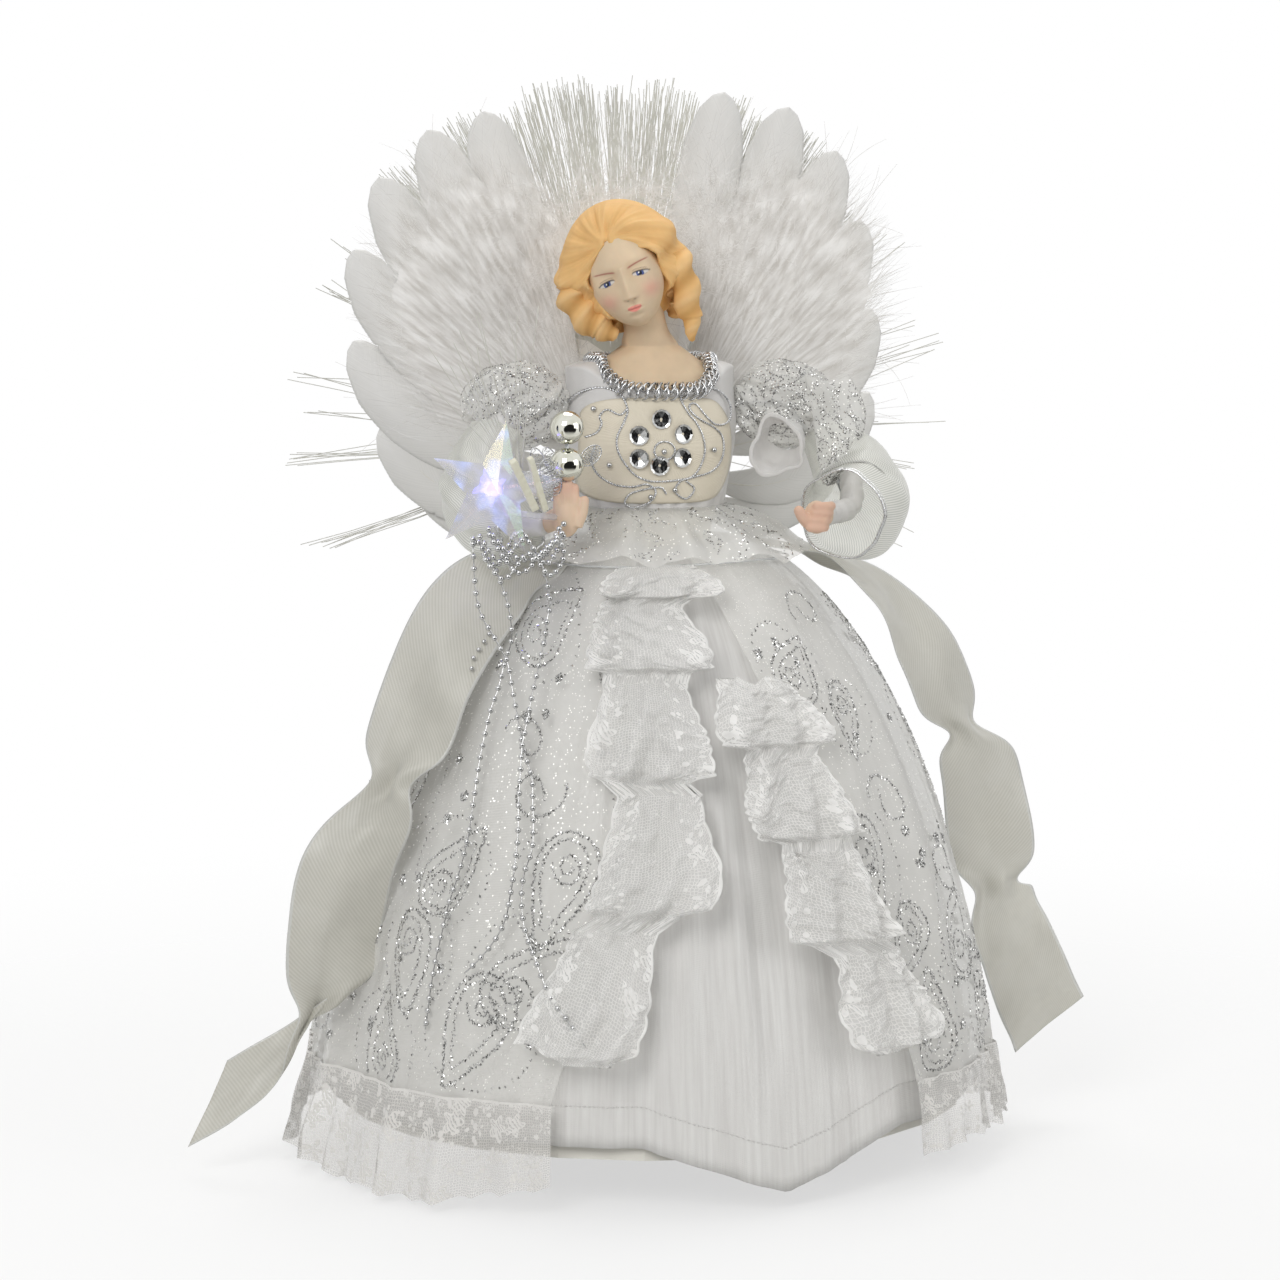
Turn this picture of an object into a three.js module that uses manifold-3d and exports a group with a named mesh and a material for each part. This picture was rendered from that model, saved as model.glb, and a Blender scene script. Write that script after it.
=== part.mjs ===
// Angel tree topper: a half-doll angel in a hooped white dress, with feather wings and a
// fibre-optic halo, on a moulded bell that slips over the tip of a tree.
// She faces -Y and her left hand is on +X. Z is up, lengths are millimetres, and the origin
// is on the axis of the bell, level with the lowest point of the hem.

import * as THREE from "three";
import { mergeVertices } from "three/addons/utils/BufferGeometryUtils.js";
import Module from "manifold-3d";

const wasm = await Module();
wasm.setup();

// Driving sizes of the whole figure
const waist_height = 236;
const hem_radius = 130;
const waist_radius = 22;
const head_height = waist_height + 97;
const chest_half_width = 31.5;
const chest_half_depth = 21.5;
const bust_rise = 74;
const bust_sink = 6;
const shoulder_height = waist_height + 45;
const shoulder_reach = 52;
const hand_height = waist_height + 5;
const hand_forward = 47;
const wing_reach = 142;
const halo_reach = 133;

// Sizes shared by many pieces
const fit = 0.3;
const cloth = 0.8;
const overrun = 2;

// The share of the bell's height at which its side has bent in, as an exponent
const bell_bend = 1.7;
const degree = Math.PI / 180;

const angel = new THREE.Group();

// Finishes

function finish(color, roughness, metalness = 0) {
  return new THREE.MeshStandardMaterial({ color, roughness, metalness });
}

const finishes = {
  moulding: finish(0xdedcd4, 0.6),
  satin: finish(0xeceae4, 0.4),
  organza: finish(0xe3e3e2, 0.55),
  glitter_organza: finish(0xd4d5d6, 0.5, 0.1),
  ribbon: finish(0xb9b8ab, 0.5, 0.1),
  lace: finish(0xf0f0ee, 0.75),
  feather: finish(0xd9d9d8, 0.8),
  down: finish(0xebe9e6, 0.9),
  fibre: finish(0xc9c8bf, 0.3),
  bisque: finish(0xe2bd9a, 0.7),
  silver: finish(0xc8cacc, 0.2, 0.9),
  wire: finish(0xa9abad, 0.35, 0.9),
  ivory: finish(0xdcd6c2, 0.6),
  clear: finish(0xcfd0f5, 0.1),
  lamp: finish(0x8f86ff, 0.2),
  black: finish(0x25262a, 0.4),
  card: finish(0xd6d2c6, 0.85),
  foam: finish(0xe6e2d6, 0.9),
};

// Closed bodies: shared corners are merged, and a body that points in is turned out

function signedVolume(geometry) {
  const place = geometry.attributes.position;
  const [a, b, c] = [new THREE.Vector3(), new THREE.Vector3(), new THREE.Vector3()];
  let sum = 0;
  for (let i = 0; i < geometry.index.count; i += 3) {
    a.fromBufferAttribute(place, geometry.index.getX(i));
    b.fromBufferAttribute(place, geometry.index.getX(i + 1));
    c.fromBufferAttribute(place, geometry.index.getX(i + 2));
    sum += a.dot(b.cross(c));
  }
  return sum;
}

function body(geometry) {
  const bare = geometry.clone();
  bare.deleteAttribute("normal");
  bare.deleteAttribute("uv");
  const merged = mergeVertices(bare);
  if (signedVolume(merged) < 0) {
    merged.index.array.reverse();
  }
  return merged;
}

function fromFaces(points, faces) {
  const geometry = new THREE.BufferGeometry();
  geometry.setAttribute("position", new THREE.Float32BufferAttribute(points.flatMap((p) => [p.x, p.y, p.z]), 3));
  geometry.setIndex(faces.flat());
  return body(geometry);
}

function solid(geometry) {
  const whole = body(geometry);
  return new wasm.Manifold(new wasm.Mesh({
    numProp: 3,
    vertProperties: Float32Array.from(whole.attributes.position.array),
    triVerts: Uint32Array.from(whole.index.array),
  }));
}

function geometryOf(shape) {
  const mesh = shape.getMesh();
  const geometry = new THREE.BufferGeometry();
  geometry.setAttribute("position", new THREE.Float32BufferAttribute(mesh.vertProperties, 3));
  geometry.setIndex(Array.from(mesh.triVerts));
  return geometry;
}

function add(name, geometry, material) {
  const mesh = new THREE.Mesh(geometry, material);
  mesh.name = name;
  angel.add(mesh);
}

// Small builders

const at = (x, y, z) => new THREE.Vector3(x, y, z);
const mix = THREE.MathUtils.lerp;

// A list of values read like a curve, at a share from 0 to 1 of its length
function pick(values, share) {
  const place = THREE.MathUtils.clamp(share, 0, 1) * (values.length - 1);
  const low = Math.min(Math.floor(place), values.length - 2);
  return mix(values[low], values[low + 1], place - low);
}

function ellipsoid(radii, centre, around = 14, down = 9) {
  const ball = new THREE.SphereGeometry(1, around, down);
  ball.scale(radii.x, radii.y, radii.z);
  ball.translate(centre.x, centre.y, centre.z);
  return ball;
}

// A ring profile of [radius, height] pairs, spun round the Z axis
function turned(profile, around) {
  const spun = new THREE.LatheGeometry(profile.map(([radius, height]) => new THREE.Vector2(radius, height)), around);
  spun.rotateX(Math.PI / 2);
  return spun;
}

function rod(radius, length, around = 12) {
  const cylinder = new THREE.CylinderGeometry(radius, radius, length, around);
  cylinder.rotateX(Math.PI / 2);
  return cylinder;
}

function tube(points, radius, steps, sides = 8) {
  const section = new THREE.Shape();
  for (let i = 0; i < sides; i += 1) {
    const turn = (i / sides) * 2 * Math.PI;
    section[i ? "lineTo" : "moveTo"](radius * Math.cos(turn), radius * Math.sin(turn));
  }
  const extrudePath = new THREE.CatmullRomCurve3(points);
  return new THREE.ExtrudeGeometry(section, { steps, bevelEnabled: false, extrudePath });
}

// A sheet with a thickness, over a grid of points. A wrapped sheet closes on itself across.
function sheet(across, down, thickness, wrapped, pointAt) {
  const columns = wrapped ? across : across + 1;
  const rows = down + 1;
  const grid = [];
  for (let j = 0; j < rows; j += 1) {
    for (let i = 0; i < columns; i += 1) {
      grid.push(pointAt(i / across, j / down));
    }
  }
  const index = (i, j) => j * columns + (wrapped ? (i + columns) % columns : i);
  const clampColumn = (i) => (wrapped ? i : THREE.MathUtils.clamp(i, 0, across));
  const normals = [];
  for (let j = 0; j < rows; j += 1) {
    for (let i = 0; i < columns; i += 1) {
      const side = grid[index(clampColumn(i + 1), j)].clone().sub(grid[index(clampColumn(i - 1), j)]);
      const fall = grid[index(i, Math.min(j + 1, down))].clone().sub(grid[index(i, Math.max(j - 1, 0))]);
      normals.push(side.cross(fall).normalize());
    }
  }
  const front = grid.map((p, k) => p.clone().addScaledVector(normals[k], thickness / 2));
  const back = grid.map((p, k) => p.clone().addScaledVector(normals[k], -thickness / 2));
  const shift = grid.length;
  const faces = [];
  const quad = (a, b, c, d) => faces.push([a, b, c], [a, c, d]);
  const cells = wrapped ? columns : across;
  for (let j = 0; j < down; j += 1) {
    for (let i = 0; i < cells; i += 1) {
      const [a, b, c, d] = [index(i, j), index(i + 1, j), index(i + 1, j + 1), index(i, j + 1)];
      quad(a, b, c, d);
      quad(a + shift, d + shift, c + shift, b + shift);
    }
  }
  for (let i = 0; i < cells; i += 1) {
    quad(index(i, 0), index(i, 0) + shift, index(i + 1, 0) + shift, index(i + 1, 0));
    quad(index(i, down), index(i + 1, down), index(i + 1, down) + shift, index(i, down) + shift);
  }
  if (!wrapped) {
    for (let j = 0; j < down; j += 1) {
      quad(index(0, j), index(0, j + 1), index(0, j + 1) + shift, index(0, j) + shift);
      quad(index(across, j), index(across, j) + shift, index(across, j + 1) + shift, index(across, j + 1));
    }
  }
  return fromFaces(front.concat(back), faces);
}

// A closed body through rings of points, with a fan over each end
function loft(around, levels, pointAt) {
  const points = [];
  const faces = [];
  for (let j = 0; j <= levels; j += 1) {
    for (let i = 0; i < around; i += 1) {
      points.push(pointAt(i / around, j / levels));
    }
  }
  for (let j = 0; j < levels; j += 1) {
    for (let i = 0; i < around; i += 1) {
      const [a, b] = [j * around + i, j * around + ((i + 1) % around)];
      faces.push([a, b, b + around], [a, b + around, a + around]);
    }
  }
  for (const level of [0, levels]) {
    const ring = points.slice(level * around, (level + 1) * around);
    const centre = ring.reduce((sum, p) => sum.add(p), at(0, 0, 0)).divideScalar(around);
    const middle = points.push(centre) - 1;
    for (let i = 0; i < around; i += 1) {
      const [a, b] = [level * around + i, level * around + ((i + 1) % around)];
      faces.push(level ? [a, b, middle] : [b, a, middle]);
    }
  }
  return fromFaces(points, faces);
}

// The dress's bell. A layer's offset is how far it lies outside the dress's own line.

function bellRadius(height, offset) {
  const share = THREE.MathUtils.clamp(height / (waist_height + offset), 0, 1);
  return waist_radius + offset + (hem_radius - waist_radius) * Math.sqrt(1 - share ** bell_bend);
}

// The bust's outline, from the waist up to the neck, as shares of the chest
const bust_height_shares = [0, 0.13, 0.29, 0.47, 0.62, 0.75, 0.85, 0.93, 1];
const bust_width_shares = [0.71, 0.81, 0.89, 0.97, 1, 0.97, 0.83, 0.56, 0.33];
const bust_depth_shares = [0.81, 0.88, 0.95, 1, 0.95, 0.86, 0.74, 0.58, 0.46];
const bust_foot = waist_height - bust_sink;

function bustShare(shares, height) {
  const up = THREE.MathUtils.clamp((height - bust_foot) / bust_rise, 0, 1);
  const next = Math.max(1, bust_height_shares.findIndex((share) => share >= up));
  const [low, high] = [bust_height_shares[next - 1], bust_height_shares[next]];
  return mix(shares[next - 1], shares[next], (up - low) / (high - low));
}

function onBust(turn, height, offset) {
  const wide = chest_half_width * bustShare(bust_width_shares, height) + offset;
  const deep = chest_half_depth * bustShare(bust_depth_shares, height) + offset;
  return at(wide * Math.sin(turn), -deep * Math.cos(turn), height);
}

function onDress(turn, height, offset, lift = 0) {
  const radius = bellRadius(height, offset) + lift;
  return at(radius * Math.sin(turn), -radius * Math.cos(turn), height);
}

// The gathered upper edge of a layer, against the waist
const atWaist = (turn, height) => onBust(turn, height, fit);

// Bell frame: moulded, open below for the tree's tip, with a flat lip round its mouth

const frame = { offset: -10, wall: 1.6, lip: 4, mouth_height: 20, top_drop: 11, levels: 5, around: 24 };
const frame_top = waist_height - frame.top_drop;
const neck = { bore: 3.2, wall: 0.9, flange: 3, flange_thickness: 1.7, drop: 17 };
const neck_radius = neck.bore + neck.wall;

function frameProfile(offset, top) {
  const profile = [];
  for (let i = 0; i <= frame.levels; i += 1) {
    const height = mix(frame.mouth_height, top, Math.sin((i / frame.levels) * Math.PI / 2));
    profile.push([bellRadius(height, offset), height]);
  }
  return profile;
}

function skirtFrame() {
  const outside = frameProfile(frame.offset, frame_top);
  const inside = frameProfile(frame.offset - frame.wall, frame_top - frame.wall).slice(1).reverse();
  const mouth = bellRadius(frame.mouth_height, frame.offset);
  const hole = neck_radius + fit;
  const profile = [
    ...outside, [hole, frame_top], [hole, frame_top - frame.wall], ...inside,
    [mouth - frame.wall, frame.mouth_height + frame.wall], [mouth - frame.lip, frame.mouth_height + frame.wall],
    [mouth - frame.lip, frame.mouth_height], outside[0],
  ];
  return body(turned(profile, frame.around));
}

add("skirt_frame", skirtFrame(), finishes.moulding);

// Lamp unit hung inside the top of the bell, with its lamp, cover, screws and inlet

const lamp_case = { radius: 15, wall: 1.5, height: 47, boss_radius: 3, screw_circle: 10.2 };
const case_top = frame_top - frame.wall - fit;
const case_bottom = case_top - lamp_case.height;
const screw = { radius: 1.1, head_radius: 2.1, head_height: 1.4, length: 8 };
const lamp_cover = { thickness: 2 };
const led = { radius: 2.5, height: 7.5, seat_radius: 9.6, seat: 1.5, gap: 4.1 };
const inlet = { radius: 3.4, length: 9, height_share: 0.2, bore: 1.6, depth: 6 };
const screw_places = [-1, 1].map((side) => at(side * lamp_case.screw_circle, 0, 0));
const inlet_height = mix(case_bottom, case_top, inlet.height_share);
// The lamp stands on the bosses, a gap below the sleeve that holds the fibres
const led_bottom = frame_top - neck.drop - led.gap - led.height;
const boss_height = led_bottom - fit - case_bottom;

function moved(geometry, x, y, z) {
  geometry.translate(x, y, z);
  return geometry;
}

function lampHousing() {
  const inner = lamp_case.radius - lamp_case.wall;
  const hole = neck_radius + fit;
  const shell = solid(turned([
    [lamp_case.radius, case_bottom], [lamp_case.radius, case_top], [hole, case_top],
    [hole, case_top - lamp_case.wall], [inner, case_top - lamp_case.wall], [inner, case_bottom],
    [lamp_case.radius, case_bottom],
  ], 16));
  let whole = shell;
  for (const place of screw_places) {
    const middle = case_bottom + boss_height / 2;
    whole = whole.add(solid(moved(rod(lamp_case.boss_radius, boss_height, 8), place.x * 1.06, 0, middle)));
  }
  for (const place of screw_places) {
    const bore = rod(screw.radius + fit, (screw.length + overrun) * 2, 8);
    whole = whole.subtract(solid(moved(bore, place.x, 0, case_bottom)));
  }
  const port = rod(inlet.radius + fit, lamp_case.wall * 4, 14);
  port.rotateX(Math.PI / 2);
  return geometryOf(whole.subtract(solid(moved(port, 0, lamp_case.radius - lamp_case.wall, inlet_height))));
}

function lampCover() {
  const top = case_bottom - fit;
  let disc = solid(moved(rod(lamp_case.radius, lamp_cover.thickness, 16), 0, 0, top - lamp_cover.thickness / 2));
  for (const place of screw_places) {
    disc = disc.subtract(solid(moved(rod(screw.radius + fit, lamp_cover.thickness * 4, 8), place.x, 0, top)));
  }
  return geometryOf(disc);
}

function lampScrew(place) {
  const seat = case_bottom - 2 * fit - lamp_cover.thickness;
  const profile = [
    [0, seat - screw.head_height], [screw.head_radius, seat - screw.head_height], [screw.head_radius, seat],
    [screw.radius, seat], [screw.radius, seat + screw.length], [0, seat + screw.length],
  ];
  return body(moved(turned(profile, 8), place.x, 0, 0));
}

function powerInlet() {
  const barrel = rod(inlet.radius, inlet.length, 16);
  const bore = rod(inlet.bore, inlet.depth * 2, 12);
  bore.translate(0, 0, -inlet.length / 2);
  const whole = solid(barrel).subtract(solid(bore));
  const jack = geometryOf(whole);
  jack.rotateX(Math.PI / 2);
  return moved(jack, 0, lamp_case.radius + overrun - inlet.length / 2, inlet_height);
}

add("lamp_housing", lampHousing(), finishes.moulding);
add("lamp_cover", lampCover(), finishes.moulding);
screw_places.forEach((place, i) => add(`lamp_screw_${i + 1}`, lampScrew(place), finishes.wire));
add("halo_lamp", body(turned([
  [0, led_bottom], [led.seat_radius, led_bottom], [led.seat_radius, led_bottom + led.seat],
  [led.radius, led_bottom + led.seat], [led.radius, led_bottom + led.height - led.radius / 2],
  [led.radius * 0.7, led_bottom + led.height - led.radius / 5], [0, led_bottom + led.height], [0, led_bottom],
], 12)), finishes.lamp);
add("power_inlet", powerInlet(), finishes.black);

// Neck sleeve that clamps the lamp unit to the bell and holds the end of the fibre bundle

const flange_bottom = frame_top + fit;
const flange_top = flange_bottom + neck.flange_thickness;
add("fibre_ferrule", body(turned([
  [neck.bore, frame_top - neck.drop], [neck_radius, frame_top - neck.drop], [neck_radius, flange_bottom],
  [neck_radius + neck.flange, flange_bottom], [neck_radius + neck.flange, flange_top], [neck.bore, flange_top],
  [neck.bore, frame_top - neck.drop],
], 14)), finishes.silver);

// Fibre bundle: up through the bust and out of its back, to the hub of the halo

const bundle = { radius: 2.8, exit_rise: 32, steps: 11 };
const bundle_exit = waist_height + bundle.exit_rise;
const hub = { inner: 12, outer: 27, front: 38, depth: 13, sweep: 112, steps: 16 };
const bundle_route = [
  at(0, 0, frame_top - neck.drop + overrun), at(0, 0, flange_top), at(0, 0, bust_foot + overrun),
  at(0, bust_rise * 0.1, bust_foot + bust_rise * 0.22), at(0, chest_half_depth, bundle_exit - overrun),
  at(0, hub.front - fit - cloth, bundle_exit), at(0, hub.front + hub.depth / 2, bundle_exit),
];
const bundle_bore = solid(tube(bundle_route, bundle.radius + fit * 2, bundle.steps, 7));
add("fibre_bundle", body(tube(bundle_route, bundle.radius, bundle.steps, 7)), finishes.fibre);

const bodice = { foot_gap: 8, rise: 57.5, dip: 6.5, around: 20, down: 4, gap: 0.9 };
const bodice_out = bodice.gap + cloth + fit;

// Torso: a foam plug on the bell's flat top, crossed by the wire that carries both arms

const arm_wire = { radius: 1.25, steps: 11 };
const shoulder_wire_route = [at(-shoulder_reach + fit, 0, shoulder_height), at(0, 0, shoulder_height),
  at(shoulder_reach - fit, 0, shoulder_height)];
const shoulder_bore = solid(tube(shoulder_wire_route, arm_wire.radius + fit, 1, 6));
const torso_over_wire = 5;
const torso_top = shoulder_height + torso_over_wire;

function torsoCore() {
  const foot = flange_top + fit;
  const plug = loft(bodice.around, 4, (i, j) => onBust(i * 2 * Math.PI, mix(foot, torso_top, j), -cloth));
  return geometryOf(solid(plug).subtract(bundle_bore).subtract(shoulder_bore));
}

add("torso_core", torsoCore(), finishes.foam);
add("shoulder_wire", body(tube(shoulder_wire_route, arm_wire.radius, 1, 6)), finishes.wire);

// Half doll: head, neck and shoulder plate in one bisque casting, the hair moulded on it

const head = { x: -11.6, y: -5, tilt: -17, turn: -12, nod: 6, neck_radius: 8.4 };
const hair = { width: 25, depth: 20, height: 25.5 };
const face = { width: 13.5, depth: 13.5, height: 18.5, forward: 8.5, drop: 4 };
const curl = { width: 9, depth: 9, height: 13 };

function headAndHair() {
  const face_place = at(0, -face.forward, -face.drop);
  const window_place = at(0, -face.forward - face.depth * 0.55, -face.drop - face.height * 0.08);
  const window_size = at(face.width * 1.04, face.depth, face.height * 1.04);
  const nose_place = at(0, -face.forward - face.depth * 0.97, -face.drop - face.height * 0.18);
  const nose_size = at(face.width * 0.13, face.depth * 0.2, face.height * 0.17);
  const lumps = [
    [at(-0.68 * hair.width, -0.15 * hair.depth, -0.55 * hair.height), at(curl.width, curl.depth, curl.height)],
    [at(0.68 * hair.width, -0.05 * hair.depth, -0.45 * hair.height), at(curl.width, curl.depth, curl.height * 1.1)],
    [at(-0.86 * hair.width, -0.2 * hair.depth, 0.02 * hair.height), at(curl.width * 0.8, curl.depth, curl.height * 0.8)],
    [at(0.86 * hair.width, -0.2 * hair.depth, 0.02 * hair.height), at(curl.width * 0.8, curl.depth, curl.height * 0.9)],
    [at(0.1 * hair.width, -0.5 * hair.depth, 0.62 * hair.height), at(curl.width * 1.5, curl.depth, curl.height * 0.6)],
  ];
  let whole = solid(ellipsoid(at(hair.width, hair.depth, hair.height), at(0, hair.depth * 0.1, 0), 16, 9));
  for (const [place, size] of lumps) {
    whole = whole.add(solid(ellipsoid(size, place, 8, 6)));
  }
  whole = whole.subtract(solid(ellipsoid(window_size, window_place, 12, 8)));
  whole = whole.add(solid(ellipsoid(at(face.width, face.depth, face.height), face_place, 12, 8)));
  whole = whole.add(solid(ellipsoid(nose_size, nose_place, 6, 5)));
  const shape = geometryOf(whole);
  shape.rotateX(head.nod * degree);
  shape.rotateY(head.tilt * degree);
  shape.rotateZ(head.turn * degree);
  return moved(shape, head.x, head.y, head_height);
}

function halfDoll() {
  const plate_bottom = torso_top + fit;
  const plate_top = bust_foot + bust_rise;
  const plate = loft(bodice.around, 4, (i, j) => onBust(i * 2 * Math.PI, mix(plate_bottom, plate_top, j), -fit));
  const neck_top = at(head.x * 0.45, head.y * 0.8, head_height - hair.height * 0.55);
  const throat = tube([at(0, 0, plate_top - overrun), at(0, head.y * 0.3, plate_top + overrun * 2), neck_top],
    head.neck_radius, 3, 12);
  return geometryOf(solid(plate).add(solid(throat)).add(solid(headAndHair())));
}

add("half_doll", halfDoll(), finishes.bisque);

// Bodice: satin wrapped round the bust, low in front, with an opening behind for the bundle

const bodice_row_bend = 1.4;
const neckline = (turn) => waist_height + bodice.rise - bodice.dip * Math.cos(turn);

function bodiceShell() {
  const foot = waist_height + bodice.foot_gap;
  const shell = sheet(bodice.around, bodice.down, cloth, true, (i, j) => {
    const turn = i * 2 * Math.PI;
    return onBust(turn, mix(neckline(turn), foot, j ** bodice_row_bend), bodice.gap + cloth / 2);
  });
  return geometryOf(solid(shell).subtract(bundle_bore).subtract(shoulder_bore));
}

add("bodice", bodiceShell(), finishes.satin);

// Collar: one strand of bullion, coiled round the neckline in open curls

const gimp = { curls: 17, radius: 2.2, strand: 0.5, steps_each: 8, sides: 5, gap_behind: 12 };

function gimpPoint(share) {
  const turn = mix(gimp.gap_behind - 180, 180 - gimp.gap_behind, share) * degree;
  const curl_turn = share * gimp.curls * 2 * Math.PI;
  const stand = bodice_out + gimp.strand + gimp.radius + cloth;
  const middle = onBust(turn, neckline(turn), stand);
  const out = at(Math.sin(turn), -Math.cos(turn), 0).multiplyScalar(gimp.radius * Math.cos(curl_turn));
  return middle.add(out).add(at(0, 0, gimp.radius * Math.sin(curl_turn)));
}

function sweptStrand(steps, sides, radius, pointAt) {
  const rings = [];
  for (let j = 0; j <= steps; j += 1) {
    const here = pointAt(j / steps);
    const ahead = pointAt(Math.min(1, (j + 0.5) / steps)).sub(pointAt(Math.max(0, (j - 0.5) / steps))).normalize();
    const side = at(0, 0, 1).cross(ahead).normalize();
    const top = ahead.clone().cross(side);
    const ring = [];
    for (let i = 0; i < sides; i += 1) {
      const turn = (i / sides) * 2 * Math.PI;
      ring.push(here.clone().addScaledVector(side, radius * Math.cos(turn)).addScaledVector(top, radius * Math.sin(turn)));
    }
    rings.push(ring);
  }
  return loft(sides, steps, (i, j) => rings[Math.round(j * steps)][Math.round(i * sides)]);
}

function leastGap(steps, radius, pointAt, apart) {
  const points = Array.from({ length: steps + 1 }, (_, j) => pointAt(j / steps));
  let least = Infinity;
  for (let j = 0; j <= steps; j += 1) {
    for (let k = j + apart; k <= steps; k += 1) {
      least = Math.min(least, points[j].distanceTo(points[k]));
    }
  }
  return least - 2 * radius;
}

const gimp_steps = gimp.curls * gimp.steps_each;
add("collar_gimp", sweptStrand(gimp_steps, gimp.sides, gimp.strand, gimpPoint), finishes.silver);
console.log("collar_gimp least gap to itself, mm:",
  leastGap(gimp_steps, gimp.strand, gimpPoint, gimp.steps_each / 2 + 1).toFixed(2));

// Scrolled cord, sewn round a flower on the bodice's front

const flower = { x: -1.5, rise_share: 0.608 };
const flower_height = mix(waist_height, neckline(0), flower.rise_share);
const scroll = { radius: 0.5, steps: 40, sides: 4, gap: 0.4, half_width: 21, half_height: 14.5 };

// A point of the bodice's front: across and up from the flower, and out from the bust
function onFront(across, up, out) {
  const height = flower_height + up;
  const wide = chest_half_width * bustShare(bust_width_shares, height);
  return onBust((flower.x + across) / wide, height, out);
}

// The cord's scroll, as shares of its half width and half height from the flower
const scroll_shares = [
  [-0.25, 1.02], [-0.6, 1.08], [-0.98, 0.95], [-1.12, 0.55], [-0.98, 0.15], [-0.8, -0.25], [-0.62, -0.72],
  [-0.3, -1.0], [0.05, -1.02], [0.4, -1.0], [0.75, -0.75], [0.88, -0.3], [0.98, 0.1], [1.16, 0.45], [1.12, 0.85],
  [0.8, 1.05], [0.45, 1.0],
];
add("scroll_cord", sweptStrand(scroll.steps, scroll.sides, scroll.radius, (share) => {
  const across = pick(scroll_shares.map(([side]) => side), share) * scroll.half_width;
  const up = pick(scroll_shares.map(([, rise]) => rise), share) * scroll.half_height;
  return onFront(across, up, bodice_out + scroll.gap + scroll.radius);
}), finishes.silver);

// Dress. Angles run from the front towards her left, and drop runs from the waist to the hem.

const drop_levels = (top, low, drop) => mix(low, top, Math.cos(drop * Math.PI / 2));
const underskirt = { offset: -6, top_drop: 7.2, low: 8, rise: 18, rise_angle: 22, fold: 1, folds: 8, around: 30 };
const overskirt = { offset: -2, top_drop: 4.6, hem: 40, fold: 4, folds: 13, across: 49 };
const right_edge_angles = [-18, -20, -20, -17, -16, -18, -24, -30];
const left_edge_angles = [2, 4, 8, 13, 18, 23, 27, 34];

const overFold = (turn) => 0.5 + 0.3 * Math.cos(overskirt.folds * turn + 0.6 * Math.sin(3 * turn))
  + 0.2 * Math.cos(9 * turn + 1);

function underskirtPoint(i, j) {
  const turn = (i - 0.5) * 2 * Math.PI;
  const corner = Math.min(1, Math.abs(turn) / (underskirt.rise_angle * degree));
  const low = underskirt.low + underskirt.rise * corner;
  const height = drop_levels(waist_height - underskirt.top_drop, low, j);
  const lift = underskirt.fold * j * Math.cos(underskirt.folds * turn);
  return j === 0 ? atWaist(turn, height) : onDress(turn, height, underskirt.offset, lift);
}

add("underskirt", sheet(underskirt.around, 4, cloth, true, underskirtPoint), finishes.organza);

// The overskirt opens in front: it runs from her left edge round the back to her right edge
const overLift = (turn, drop) => overskirt.fold * overFold(turn) * Math.sin(drop * Math.PI / 2);

add("overskirt", sheet(overskirt.across, 6, cloth, false, (i, j) => {
  const height = drop_levels(waist_height - overskirt.top_drop, overskirt.hem, j);
  const turn = mix(pick(left_edge_angles, j), 360 + pick(right_edge_angles, j), i) * degree;
  return j === 0 ? atWaist(turn, height) : onDress(turn, height, overskirt.offset, overLift(turn, j));
}), finishes.glitter_organza);

// Lace hem, sewn along the lower edge of the overskirt and dipping at her right front corner
const hem_lace = { gap: 0.5, across: 48, scallops: 24, scallop: 1.6, flare: 3 };
const hem_low_shares = [0.3, 0.34, 0.28, 0.2, 0.16, 0.2, 0.24, 0.2, 0.16, 0.2, 0.24, 0.2, 0.12, 0.04, 0.06, 0.26];
const hem_flare_shares = [0.2, 0.3, 0.3, 0.2, 0.1, 0.1, 0.1, 0.1, 0.1, 0.1, 0.2, 0.4, 0.8, 1, 0.9, 0.3];

add("lace_hem", sheet(hem_lace.across, 2, cloth, false, (i, j) => {
  const turn = mix(pick(left_edge_angles, 1), 360 + pick(right_edge_angles, 1), i) * degree;
  const scallop = hem_lace.scallop * Math.abs(Math.cos(hem_lace.scallops * i * Math.PI)) * j;
  const low = pick(hem_low_shares, i) * overskirt.hem + scallop;
  const height = mix(overskirt.hem - hem_lace.gap, Math.max(low, hem_lace.gap + scallop), j);
  const flare = hem_lace.flare * pick(hem_flare_shares, i) * j * 2;
  return onDress(turn, height, overskirt.offset, overskirt.fold * overFold(turn) + flare);
}), finishes.lace);

// Gathered lace down both front edges of the overskirt
const front_lace = { gap: 0.2, half_width: 13, ripple: 1.8, ripples: 7, top_drop: 7 };
const front_laces = [
  ["lace_front_right", right_edge_angles, 0.3, 0],
  ["lace_front_left", left_edge_angles, 0.5, 0.42],
];
for (const [name, edge, lean, start] of front_laces) {
  add(name, sheet(4, 18, cloth, false, (i, j) => {
    const drop = mix(start, 0.93, j);
    const height = drop_levels(waist_height - front_lace.top_drop, overskirt.hem, drop);
    const middle = pick(edge, drop) * degree;
    const reach = (mix(-1, 1, i) + (name.endsWith("right") ? lean : -lean)) * front_lace.half_width;
    const turn = middle + reach / bellRadius(height, 0);
    const ripple = front_lace.ripple * (1 + Math.sin(front_lace.ripples * 2 * Math.PI * j + 3 * i));
    return onDress(turn, height, overskirt.offset + cloth + front_lace.gap, overLift(turn, drop) + ripple);
  }), finishes.lace);
}

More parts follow.
